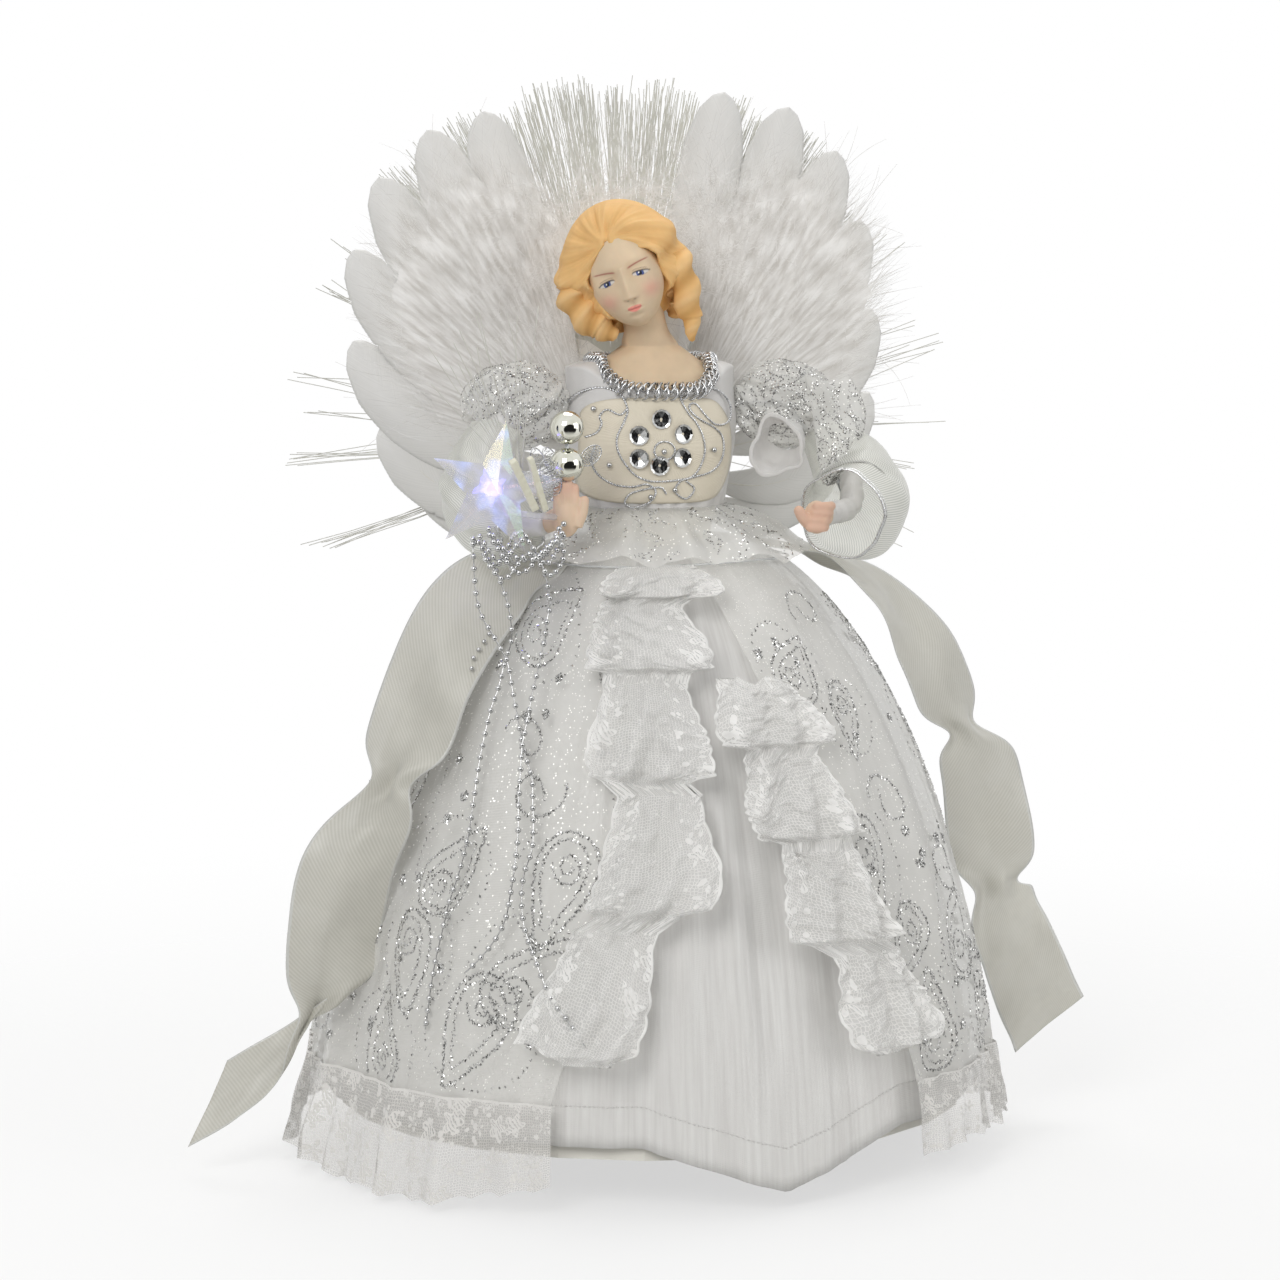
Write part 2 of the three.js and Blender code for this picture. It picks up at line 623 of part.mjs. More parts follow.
// Peplum: a gathered organza frill round the waist, lying on the top of the skirt
const peplum = { top: 7.4, out: 50, foot: -3.6, ripple: 1.4, ripples: 11 };
add("waist_frill", sheet(32, 2, cloth, true, (i, j) => {
  const turn = i * 2 * Math.PI;
  const height = waist_height + mix(peplum.top - cloth, peplum.foot + peplum.ripple, j);
  const start = atWaist(turn, height);
  const end = at(peplum.out * Math.sin(turn), -peplum.out * Math.cos(turn), height);
  const ripple = peplum.ripple * Math.cos(peplum.ripples * turn) * j;
  return start.lerp(end, j ** 1.2).add(at(0, 0, ripple));
}), finishes.glitter_organza);

// Sashes: wired ribbon tails from the waist, turned over in flat panels down each side.
// Each row holds the middle of the ribbon and the way its half width points, as shares of the
// dress's radius and height.

const sash = { half_width: 13, thickness: 0.8 };
const right_sash_rows = [
  [-0.3, 0.02, 0.9685, 0, 1, 0], [-0.52, 0.02, 0.945, 0, 1, 0], [-0.7, 0.01, 0.89, 0, 1, 0],
  [-0.81, 0, 0.79, -0.2, 1, 0], [-0.91, -0.01, 0.68, -0.7, 0.5, 0], [-1.02, -0.02, 0.58, -0.9, 0.2, 0.1],
  [-1.06, -0.02, 0.47, -1, 0, 0], [-1.06, -0.02, 0.36, -1, 0, 0.1], [-1.09, -0.03, 0.27, -0.7, 0.3, -0.35],
  [-1.15, -0.05, 0.21, -0.4, 0.1, -0.8], [-1.25, -0.07, 0.15, -0.35, 0, -0.9], [-1.36, -0.09, 0.09, -0.35, 0, -0.9],
];
const left_sash_rows = [
  [0.3, 0.02, 0.9685, 0, 1, 0], [0.52, 0.02, 0.945, 0, 1, 0], [0.7, 0.01, 0.89, 0, 1, 0],
  [0.82, 0, 0.8, 0.2, 1, 0], [0.91, -0.01, 0.69, 0.6, 0.6, 0], [1.0, -0.02, 0.61, 0.9, 0.2, 0.1],
  [1.04, -0.02, 0.5, 1, 0, 0.1], [1.06, -0.02, 0.41, 1, 0, 0.1], [1.09, -0.03, 0.34, 0.7, 0.3, 0.5],
  [1.13, -0.05, 0.28, 0.7, 0, 0.7], [1.18, -0.07, 0.21, 0.75, 0, 0.65], [1.22, -0.08, 0.16, 0.8, 0, 0.6],
];

function sashTail(rows) {
  return sheet(2, 18, sash.thickness, false, (i, j) => {
    const [x, y, z, wide_x, wide_y, wide_z] = rows[0].map((_, k) => pick(rows.map((row) => row[k]), j));
    const reach = at(wide_x, wide_y, wide_z).normalize().multiplyScalar(sash.half_width * mix(-1, 1, i));
    return at(x * hem_radius, y * hem_radius, z * waist_height).add(reach);
  });
}

add("sash_right", sashTail(right_sash_rows), finishes.ribbon);
add("sash_left", sashTail(left_sash_rows), finishes.ribbon);

// Wings: trimmed feathers fanned on a card, with a pad of down over their inner half.
// A feather is its tip's place, how far its spine bows and its half width, as shares of the
// wing's reach from the card's middle.

const feather = { thickness: 0.9, front: 25, root_x: 9, root_rise: -4 };
const feather_pitch = feather.thickness + fit;
const wing_middle = bundle_exit;
const feather_outline_shares = [[0, 0.07], [0.16, 0.1], [0.32, 0.5], [0.52, 0.88], [0.7, 1], [0.84, 0.97],
  [0.94, 0.68], [0.985, 0.34]];
const right_feather_shares = [
  [-0.41, 0.865, 0.03, 0.084], [-0.56, 0.815, 0.05, 0.086], [-0.69, 0.69, 0.08, 0.084], [-0.756, 0.5, 0.12, 0.082],
  [-0.757, 0.26, 0.16, 0.08], [-0.685, 0.03, 0.18, 0.076],
];
const left_feather_shares = [
  [0.25, 0.922, 0.0, 0.086], [0.434, 0.884, 0.03, 0.086], [0.57, 0.768, 0.07, 0.084], [0.645, 0.58, 0.11, 0.082],
  [0.676, 0.34, 0.15, 0.08], [0.676, 0.11, 0.18, 0.076],
];
const right_feather_order = [1, 0, 2, 3, 4, 5];
const left_feather_order = [0, 1, 2, 3, 4, 5];

function featherBlade([tip_x, tip_z, bow, half_width], side, layer) {
  const root = at(side * feather.root_x, 0, wing_middle + feather.root_rise);
  const tip = at(tip_x * wing_reach, 0, wing_middle + tip_z * wing_reach);
  const along = tip.clone().sub(root);
  const outward = at(side * along.z, 0, -side * along.x).normalize().multiplyScalar(bow * wing_reach);
  const bend = root.clone().add(tip).multiplyScalar(0.5).add(outward);
  const spine = new THREE.QuadraticBezierCurve3(root, bend, tip);
  const edge = (wanted, way) => feather_outline_shares.map(([share, width]) => {
    const ahead = spine.getTangent(share);
    const reach = way * wanted * width * wing_reach;
    const place = spine.getPoint(share);
    return new THREE.Vector2(place.x + ahead.z * reach, place.z - ahead.x * reach);
  });
  const outline = [...edge(half_width, 1), new THREE.Vector2(tip.x, tip.z), ...edge(half_width, -1).reverse()];
  const blade = new THREE.ExtrudeGeometry(new THREE.Shape(outline), { depth: feather.thickness, bevelEnabled: false });
  blade.rotateX(Math.PI / 2);
  return body(moved(blade, 0, feather.front + layer * feather_pitch + feather.thickness, 0));
}

[["right", right_feather_shares, right_feather_order, -1], ["left", left_feather_shares, left_feather_order, 1]]
  .forEach(([wing, shares, order, side]) => shares.forEach((blade, i) => {
    add(`${wing}_feather_${i + 1}`, featherBlade(blade, side, order[i]), finishes.feather);
  }));

// Wing card behind the feathers, with a collar in front that reaches the bodice and a core
// behind that carries the halo
const wing_card = { thickness: 1.2, lobe_x: 25, lobe_rise: 16, lobe_radius: 22, collar_wall: 2.2 };
const card_front = feather.front + left_feather_order.length * feather_pitch;

function wingCard() {
  const plate = (x, z, radius) => {
    const disc = rod(radius, wing_card.thickness, 16);
    disc.rotateX(Math.PI / 2);
    return solid(moved(disc, x, card_front + wing_card.thickness / 2, z));
  };
  const collar_radius = bundle.radius + 2 * fit + wing_card.collar_wall;
  const collar_back = card_front + wing_card.thickness / 2;
  const collar_front = chest_half_depth + bodice_out + fit;
  const collar = rod(collar_radius, collar_back - collar_front, 12);
  collar.rotateX(Math.PI / 2);
  const core_back = hub.front + hub.depth;
  const core = rod(hub.inner - fit, core_back - collar_back, 16);
  core.rotateX(Math.PI / 2);
  const whole = plate(0, wing_middle, collar_radius * 2.4)
    .add(plate(-wing_card.lobe_x, wing_middle + wing_card.lobe_rise, wing_card.lobe_radius))
    .add(plate(wing_card.lobe_x, wing_middle + wing_card.lobe_rise, wing_card.lobe_radius))
    .add(solid(moved(collar, 0, (collar_back + collar_front) / 2, wing_middle)))
    .add(solid(moved(core, 0, (collar_back + core_back) / 2, wing_middle)));
  return geometryOf(whole.subtract(bundle_bore));
}

add("wing_card", wingCard(), finishes.card);

const down_pad = { x: 57, rise: 50, width: 35, depth: 9, height: 47 };
[["right", -1], ["left", 1]].forEach(([wing, side]) => {
  const back = feather.front - fit;
  const dome = solid(ellipsoid(at(down_pad.width, down_pad.depth, down_pad.height),
    at(side * down_pad.x, back, wing_middle + down_pad.rise), 14, 8));
  add(`${wing}_down_pad`, geometryOf(dome.trimByPlane([0, -1, 0], -back)), finishes.down);
});

// Halo: fibres fanned from a half ring behind the card, thick above the head, thin at the sides

const fibre = { radius: 0.42, root: 1, layers: 6, dense: 44, per_layer: 39, side_per_layer: 6, lean: 1.6 };
const halo_ragged = 7;
const side_gap = 11;

// A repeatable draw from 0 to 1
function scatter(seed) {
  const wave = Math.sin(seed * 12.9898) * 43758.5453;
  return wave - Math.floor(wave);
}

function fibreNeedle(angle, lean, depth, length) {
  const out = at(Math.sin(angle) * Math.cos(lean), Math.sin(lean), Math.cos(angle) * Math.cos(lean));
  const needle = new THREE.ConeGeometry(fibre.radius, length, 3, 1);
  needle.translate(0, length / 2, 0);
  needle.applyQuaternion(new THREE.Quaternion().setFromUnitVectors(at(0, 1, 0), out));
  const root = hub.outer - fibre.root;
  return moved(needle, Math.sin(angle) * root, hub.front + depth, bundle_exit + Math.cos(angle) * root);
}

function halo() {
  const section = new THREE.Shape();
  const steps = hub.steps;
  for (const [radius, way] of [[hub.outer, 1], [hub.inner, -1]]) {
    for (let i = 0; i <= steps; i += 1) {
      const angle = way * mix(-hub.sweep, hub.sweep, i / steps) * degree;
      section[section.curves.length || i ? "lineTo" : "moveTo"](radius * Math.sin(angle), radius * Math.cos(angle));
    }
  }
  const arc = new THREE.ExtrudeGeometry(section, { depth: hub.depth, bevelEnabled: false });
  arc.rotateX(Math.PI / 2);
  const pieces = [solid(moved(arc, 0, hub.front + hub.depth, bundle_exit))];
  for (let layer = 0; layer < fibre.layers; layer += 1) {
    const depth = ((layer + 0.5) / fibre.layers) * hub.depth;
    const lean = (layer - 1) * fibre.lean * degree;
    const offset = (layer % 2) * 0.5;
    const angles = [];
    for (let i = 0; i < fibre.per_layer; i += 1) {
      angles.push(mix(-fibre.dense, fibre.dense, (i + offset) / fibre.per_layer));
    }
    for (let i = 0; i < fibre.side_per_layer; i += 1) {
      const spread = fibre.dense + side_gap * (i + 0.4 + offset);
      angles.push(spread, -spread);
    }
    angles.forEach((angle, i) => {
      const ragged = halo_ragged * (2 * scatter(layer * 100 + i) - 1);
      const fuller = 1 + 0.06 * Math.sin(angle * degree);
      const length = halo_reach * fuller + ragged - hub.outer;
      pieces.push(solid(fibreNeedle(angle * degree, lean, depth, length)));
    });
  }
  return geometryOf(wasm.Manifold.union(pieces));
}

add("fibre_halo", halo(), finishes.fibre);

// Arms. Each is a wire from the shoulder to a bisque hand, in a puff, an undersleeve and a cuff.

const puff = { width: 21, depth: 15, height: 17, ripple: 0.05, ripples: 9, mouth: 3.6, mouth_spread: 4.4 };

// The puff's outline, grown by a clearance where other sleeves are cut to it
function puffShape(side, growth) {
  return loft(14, 6, (i, j) => {
    const polar = mix(0.04, 0.96, j) * Math.PI;
    const turn = i * 2 * Math.PI;
    const swell = 1 - puff.ripple * (1 - Math.cos(puff.ripples * turn)) * Math.sin(polar);
    return at(side * shoulder_reach + (puff.width * swell + growth) * Math.sin(polar) * Math.sin(turn),
      -(puff.depth * swell + growth) * Math.sin(polar) * Math.cos(turn),
      shoulder_height - (puff.height + growth) * Math.cos(polar));
  });
}

function puffBody(side, wire) {
  const centre = at(side * shoulder_reach, 0, shoulder_height);
  const mouth = new THREE.CylinderGeometry(puff.mouth_spread + puff.mouth, puff.mouth, puff.width + overrun, 8);
  mouth.rotateZ(side * Math.PI / 2);
  moved(mouth, side * (shoulder_reach - (puff.width + overrun) / 2), 0, shoulder_height);
  const hollow = solid(ellipsoid(at(puff.mouth, puff.mouth, puff.mouth), centre, 8, 5));
  const bore = solid(tube(wire, arm_wire.radius + fit, arm_wire.steps, 6));
  return geometryOf(solid(puffShape(side, 0)).subtract(solid(mouth)).subtract(hollow).subtract(bore));
}

// A sleeve that follows a path of [place, radius] rings, with a wavy mouth
function sleeveShell(rings, around, down, thickness, wave) {
  const path = new THREE.CatmullRomCurve3(rings.map(([place]) => place));
  const radii = rings.map(([, radius]) => radius);
  return sheet(around, down, thickness, true, (i, j) => {
    const ahead = path.getTangent(j);
    const side = at(0, 0, 1).cross(ahead).normalize();
    const top = ahead.clone().cross(side);
    const turn = i * 2 * Math.PI;
    const radius = pick(radii, j) * (1 + wave * j * Math.cos(5 * turn + 1));
    return path.getPoint(j).addScaledVector(side, radius * Math.cos(turn)).addScaledVector(top, radius * Math.sin(turn));
  });
}

const hand = { wrist_radius: 4.4, palm_width: 6, palm_depth: 4.3, palm_height: 7, finger_radius: 1.7, finger: 8 };
const finger_root_share = 0.4;
const hand_lift = 3;

const right_hand_at = at(-shoulder_reach * 0.85, -hand_forward - hand_lift, hand_height + hand_lift);
const right_wrist = at(-shoulder_reach, -hand_forward * 0.83, hand_height - hand_lift);
const left_hand_at = at(shoulder_reach * 0.97, -hand_forward * 0.93, hand_height - fit);
const left_wrist = at(shoulder_reach * 1.17, -hand_forward * 0.72, hand_height);

function armWire(side, wrist) {
  const pivot = at(side * shoulder_reach, 0, shoulder_height);
  const elbow = at(side * shoulder_reach * 1.4, -hand_forward * 0.26, mix(hand_height, shoulder_height, 0.16));
  const upper = pivot.clone().lerp(elbow, 0.5).add(at(side * fit * 4, 0, 0));
  const start = pivot.clone().add(at(side * arm_wire.radius * 1.04, 0, 0));
  return [start, upper, elbow, elbow.clone().lerp(wrist, 0.5).add(at(0, 0, -fit * 4)), wrist];
}

const right_wire = armWire(-1, right_wrist);
const left_wire = armWire(1, left_wrist);
add("right_arm_wire", body(tube(right_wire, arm_wire.radius, arm_wire.steps, 6)), finishes.wire);
add("left_arm_wire", body(tube(left_wire, arm_wire.radius, arm_wire.steps, 6)), finishes.wire);
add("right_sleeve_puff", puffBody(-1, right_wire), finishes.glitter_organza);
add("left_sleeve_puff", puffBody(1, left_wire), finishes.glitter_organza);

// The bouquet's stems, which the right hand holds: places are shares of the hand's own

const ball = { radius: 6.2, gap: 0.9, pick_radius: 0.7, pick_shift: 0.6 };
const pick_x = right_hand_at.x + ball.pick_shift;
const pick_y = right_hand_at.y;
const fingertip_height = right_hand_at.z + hand.palm_height * finger_root_share + hand.finger;
const lower_ball_height = fingertip_height + 3 * fit + ball.radius;
const upper_ball_height = lower_ball_height + 2 * ball.radius + ball.gap;
const pick_bottom = right_hand_at.z - hand.palm_height * 0.4;
const pick_top = upper_ball_height + ball.radius * 0.4;
const pick_route = [at(pick_x, pick_y, pick_bottom), at(pick_x, pick_y, (pick_bottom + pick_top) / 2),
  at(pick_x, pick_y, pick_top)];
const star = { reach: 25, inner: 10.5, half_depth: 4, rim: 0.5, turn: 10, aside: 28.1, forward: 9.5, rise: 9.7 };
const star_at = right_hand_at.clone().add(at(-star.aside, -star.forward, star.rise));
const star_lamp = { radius: 2.5, length: 9, insert: 2.4 };
const star_stem = { radius: 1.2, inset: 2, drop: 3, bend_back: 2, bend_drop: 8, forward: 7.3 };
const lamp_back = star_at.y + star.half_depth - star_lamp.insert + star_lamp.length;
const star_stem_route = [
  at(star_at.x + star_stem.inset, lamp_back + fit + star_stem.radius, star_at.z - star_stem.drop),
  at(mix(star_at.x, right_hand_at.x, 0.22), lamp_back - star_stem.bend_back, star_at.z - star_stem.bend_drop),
  at(mix(star_at.x, right_hand_at.x, 0.5), right_hand_at.y - star_stem.forward, right_hand_at.z + fit),
  at(right_hand_at.x - star_stem.inset, right_hand_at.y, right_hand_at.z - star_stem.radius),
];

function bisqueHand(place, wrist, fingers_up, thumb_side, wire) {
  const wrist_end = wrist.clone().lerp(place, -0.35);
  let whole = solid(tube([wrist_end, wrist, place], hand.wrist_radius, 2, 8))
    .add(solid(ellipsoid(at(hand.palm_width, hand.palm_depth, hand.palm_height), place, 9, 6)));
  for (let i = 0; i < 4; i += 1) {
    const across = (i - 1.5) * hand.finger_radius * 1.6;
    const root = place.clone().add(at(across, 0, hand.palm_height * finger_root_share));
    const tip = fingers_up ? root.clone().add(at(across * 0.1, 0, hand.finger))
      : root.clone().add(at(across * 0.1, -hand.palm_depth, -hand.finger_radius));
    whole = whole.add(solid(tube([root, tip], hand.finger_radius, 1, 6)));
  }
  const thumb_root = place.clone().add(at(thumb_side * hand.palm_width * 0.6, -hand.palm_depth * 0.3, 0));
  const thumb_tip = thumb_root.clone().add(at(thumb_side * hand.finger_radius * 1.6, -hand.finger_radius * 0.6, hand.finger * 0.8));
  whole = whole.add(solid(tube([thumb_root, thumb_tip], hand.finger_radius, 1, 6)));
  return whole.subtract(solid(tube(wire, arm_wire.radius + fit, arm_wire.steps, 6)));
}

const right_hand = bisqueHand(right_hand_at, right_wrist, true, 1, right_wire)
  .subtract(solid(tube(pick_route, ball.pick_radius + fit, 2)))
  .subtract(solid(tube(star_stem_route, star_stem.radius + fit, 8, 6)));
add("right_hand", geometryOf(right_hand), finishes.bisque);
add("left_hand", geometryOf(bisqueHand(left_hand_at, left_wrist, false, -1, left_wire)), finishes.bisque);

// Undersleeves of satin and wide organza cuffs. Each row is a share of the shoulders' reach,
// of the hand's reach forward, of the height from hand to shoulder, and of the sleeve's radius.
const cuff_radius = 20;
const undersleeve_radius = 9.5;
const left_cuff_shares = [[1.27, 0.04, 0.76, 0.43], [1.47, 0.2, 0.36, 0.8], [1.44, 0.47, 0.04, 0.98],
  [1.24, 0.77, 0, 0.85]];
const right_cuff_shares = [[1.14, 0.08, 0.74, 0.55], [1.32, 0.28, 0.28, 0.75], [1.22, 0.56, -0.04, 0.8],
  [1.1, 0.76, -0.08, 0.65]];
const left_satin_shares = [[0.99, 0.16, 0.72, 0.68], [0.9, 0.36, 0.64, 0.9], [0.82, 0.52, 0.6, 1]];

const sleeve_rings = (side, shares, full_radius) => shares.map(([reach, forward, up, wide]) => [
  at(side * shoulder_reach * reach, -hand_forward * forward, mix(hand_height, shoulder_height, up)),
  full_radius * wide]);
const left_cuff_rings = sleeve_rings(1, left_cuff_shares, cuff_radius);
const right_cuff_rings = sleeve_rings(-1, right_cuff_shares, cuff_radius);
const left_satin_rings = sleeve_rings(1, left_satin_shares, undersleeve_radius);

const left_satin = solid(sleeveShell(left_satin_rings, 14, 3, cloth, 0.06)).subtract(solid(puffShape(1, fit)));
add("left_undersleeve", geometryOf(left_satin), finishes.satin);
add("left_cuff", geometryOf(solid(sleeveShell(left_cuff_rings, 16, 5, cloth, 0.05)).subtract(solid(puffShape(1, fit)))),
  finishes.organza);
add("right_cuff", geometryOf(solid(sleeveShell(right_cuff_rings, 16, 5, cloth, 0.05)).subtract(solid(puffShape(-1, fit)))),
  finishes.organza);

// Bouquet: two mirror balls on a wire pick, a lit star, two ribbed stems and wire leaves

const pick_bore = solid(tube(pick_route, ball.pick_radius + fit, 2));
const ballAt = (height) => geometryOf(solid(ellipsoid(at(ball.radius, ball.radius, ball.radius),
  at(pick_x, pick_y, height), 12, 7)).subtract(pick_bore));
add("ball_pick", body(tube(pick_route, ball.pick_radius, 2)), finishes.wire);
add("silver_ball_lower", ballAt(lower_ball_height), finishes.silver);
add("silver_ball_upper", ballAt(upper_ball_height), finishes.silver);

function starLens() {
  const rim = (depth) => Array.from({ length: 10 }, (_, i) => {
    const turn = (star.turn + i * 36) * degree;
    const radius = i % 2 ? star.inner : star.reach;
    return at(radius * Math.sin(turn), depth, radius * Math.cos(turn));
  });
  const points = [...rim(-star.rim), ...rim(star.rim), at(0, -star.half_depth, 0), at(0, star.half_depth, 0)];
  const faces = [];
  for (let i = 0; i < 10; i += 1) {
    const next = (i + 1) % 10;
    faces.push([i, next, 20], [next + 10, i + 10, 21], [i + 10, next + 10, next], [i + 10, next, i]);
  }
  const whole = moved(fromFaces(points, faces), star_at.x, star_at.y, star_at.z);
  const bore = rod(star_lamp.radius + fit, star_lamp.length);
  bore.rotateX(Math.PI / 2);
  const bore_y = lamp_back - star_lamp.length / 2 - fit;
  return geometryOf(solid(whole).subtract(solid(moved(bore, star_at.x, bore_y, star_at.z))));
}

add("star_lens", starLens(), finishes.clear);
const star_barrel = rod(star_lamp.radius, star_lamp.length, 12);
star_barrel.rotateX(Math.PI / 2);
add("star_lamp", body(moved(star_barrel, star_at.x, lamp_back - star_lamp.length / 2, star_at.z)), finishes.lamp);
add("star_stem", body(tube(star_stem_route, star_stem.radius, 8, 6)), finishes.wire);

const stem = { radius: 2.0, rib: 0.25, ribs: 5, length: 24 };
const ivory_stems = [
  { radius_share: 1, across_share: 0.52, forward: 10.1, up: 2.6, lean_shares: [-0.5, -0.54] },
  { radius_share: 0.75, across_share: 0.66, forward: 9.1, up: 2.2, lean_shares: [-0.35, -0.5] },
];
ivory_stems.forEach(({ radius_share, across_share, forward, up, lean_shares }, k) => {
  const foot = at(mix(star_at.x, right_hand_at.x, across_share), right_hand_at.y - forward, right_hand_at.z + up);
  const profile = [[0, 0]];
  for (let i = 0; i <= stem.ribs * 2; i += 1) {
    profile.push([stem.radius * radius_share - (i % 2) * stem.rib, (i / (stem.ribs * 2)) * stem.length]);
  }
  profile.push([0, stem.length]);
  const ribbed = turned(profile, 7);
  const way = at(lean_shares[0], lean_shares[1], 0.85).normalize();
  ribbed.applyQuaternion(new THREE.Quaternion().setFromUnitVectors(at(0, 0, 1), way));
  add(`ivory_stem_${k + 1}`, body(moved(ribbed, foot.x, foot.y, foot.z)), finishes.ivory);
});

// Swag of beads, hung in two scallops from beside the star to the front of the palm
const garland = { diameter: 2.2, steps: 20, sides: 8 };
const swag = { out: 7.7, back: 1.9, below: 17.7, right: -45.6, scallops: 2, drop: 11, steps: 20, sides: 6 };
const swag_start = at(star_at.x - swag.out, star_at.y + swag.back, star_at.z - swag.below);
const swag_end = at(swag.right, right_hand_at.y - hand.palm_depth - garland.diameter * 0.4, right_hand_at.z - hand_lift);

function swagPoint(share) {
  const hang = (swag.drop * (1 - Math.cos(swag.scallops * share * 2 * Math.PI))) / 2;
  return swag_start.clone().lerp(swag_end, share).add(at(0, 0, -hang));
}

add("bead_swag", sweptStrand(swag.steps, swag.sides, garland.diameter / 2, swagPoint), finishes.silver);

// Bead garlands that hang from the swag over the front of the skirt: the share of the swag
// where each starts, and the places that it passes
const garland_routes = [
  [0, [[-79.5, -60, 217], [-77.5, -61, 208.5], [-74, -61.5, 202.5], [-70.5, -62, 196],
    [-68.5, -63, 191.5], [-67.5, -67, 181.5], [-67, -71, 174.5], [-66.5, -76, 166.5], [-66, -79, 161.5],
    [-64.5, -84.5, 153], [-65, -88, 145], [-65.5, -91, 137.5], [-66.5, -93.5, 129], [-69.5, -94.5, 121],
    [-71, -96.5, 112.5], [-70.8, -100, 102.5], [-68.5, -106, 93], [-66.5, -110.5, 85.5], [-63.5, -115, 78],
    [-58.5, -119, 71], [-54, -122.5, 63.5]]],
  [0.25, [[-68.5, -57.2, 216.5], [-66.5, -57.4, 208.5], [-66, -57.5, 199.5],
    [-68.5, -58, 191.5], [-71.5, -60.5, 182.5], [-75, -63, 174.5], [-79, -67, 161.5], [-81, -69.5, 153.5],
    [-83, -72.5, 145], [-85.5, -75, 132.5], [-89, -76.5, 120], [-93, -77, 108.5], [-96, -77.5, 97],
    [-98.5, -78, 87], [-100.5, -78.5, 76], [-102.5, -80, 63.5]]],
  [0.75, [[-52, -58.5, 214], [-53.5, -60, 206], [-56, -65, 197.5],
    [-59, -69.5, 189.5], [-62, -74, 181.5], [-64.5, -77.5, 173], [-67, -80.5, 165], [-68.5, -84, 156],
    [-69.5, -86.5, 149], [-70.3, -88.5, 142], [-71, -91, 134], [-72.3, -93, 126], [-73.5, -94.5, 119.5],
    [-75, -95.5, 112.5], [-76.5, -96, 105.5], [-79, -95, 99.5], [-82.5, -93.5, 94], [-86, -91.5, 89.5],
    [-90, -89, 85]]],
];
garland_routes.forEach(([start_share, route], i) => {
  const top = swagPoint(start_share).add(at(0, 0, -garland.diameter / 2 - fit * 2.2));
  const points = [top, ...route.map(([x, y, z]) => at(x, y, z))];
  add(`bead_garland_${i + 1}`, body(tube(points, garland.diameter / 2, garland.steps, garland.sides)), finishes.silver);
});

export default angel;
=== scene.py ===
# Looks of an angel tree topper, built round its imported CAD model.
import math
import random

import bpy
import numpy as np
from mathutils import Matrix, Vector, noise


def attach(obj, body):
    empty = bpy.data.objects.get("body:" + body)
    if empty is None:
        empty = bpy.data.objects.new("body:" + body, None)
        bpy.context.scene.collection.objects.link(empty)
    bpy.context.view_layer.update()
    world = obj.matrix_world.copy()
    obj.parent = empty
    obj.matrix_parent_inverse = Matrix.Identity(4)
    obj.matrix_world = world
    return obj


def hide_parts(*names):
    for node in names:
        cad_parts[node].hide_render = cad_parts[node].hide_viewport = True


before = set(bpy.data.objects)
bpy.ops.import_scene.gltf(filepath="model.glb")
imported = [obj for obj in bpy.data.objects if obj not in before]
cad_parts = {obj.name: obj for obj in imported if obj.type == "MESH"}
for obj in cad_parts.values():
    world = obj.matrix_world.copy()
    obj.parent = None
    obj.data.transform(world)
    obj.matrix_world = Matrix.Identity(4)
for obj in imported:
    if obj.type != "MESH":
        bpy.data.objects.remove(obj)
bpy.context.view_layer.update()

bpy.ops.object.select_all(action="DESELECT")

# ---------------------------------------------------------------------------------------------
# Studio: a pale floor under the gown's hem, a white surround and large soft lamps.
# The camera stands in front and a little to the angel's right, where the photograph was taken.

mm = 0.001


def hex_colour(text):
    """An sRGB hex value as the linear colour that a shader takes."""
    parts = [int(text[i:i + 2], 16) / 255 for i in (1, 3, 5)]
    return [c / 12.92 if c <= 0.04045 else ((c + 0.055) / 1.055) ** 2.4 for c in parts] + [1.0]


def feed(node, inputs):
    """Sets or links inputs of a node. A node stands for its first live output, a hex text for its colour."""
    for key, value in inputs.items():
        if isinstance(value, bpy.types.Node):
            value = next(output for output in value.outputs if output.enabled)
        if isinstance(value, bpy.types.NodeSocket):
            node.id_data.links.new(value, node.inputs[key])
        else:
            node.inputs[key].default_value = hex_colour(value) if isinstance(value, str) else value


def add_node(tree, kind, inputs=None, **settings):
    """Adds a node with its settings, and sets or links each of its inputs."""
    made = tree.nodes.new(kind)
    for key, value in settings.items():
        setattr(made, key, value)
    feed(made, inputs or {})
    return made


scene = bpy.context.scene
scene.view_settings.view_transform = "Standard"

aim = Vector((-4, 0, 192)) * mm
turn_round, look_down = math.radians(-14), math.radians(6)
stand_off, seen_width, sensor_width = 1.4, 0.485, 36
backward = Vector((math.sin(turn_round) * math.cos(look_down), -math.cos(turn_round) * math.cos(look_down),
                   math.sin(look_down)))
bpy.ops.object.camera_add(location=aim + backward * stand_off)
camera = bpy.context.object
camera.name = "camera"
camera.rotation_euler = (-backward).to_track_quat("-Z", "Y").to_euler()
camera.data.sensor_width = sensor_width
camera.data.lens = sensor_width * stand_off / seen_width
camera.data.clip_start, camera.data.clip_end = 0.05, 50
scene.camera = camera

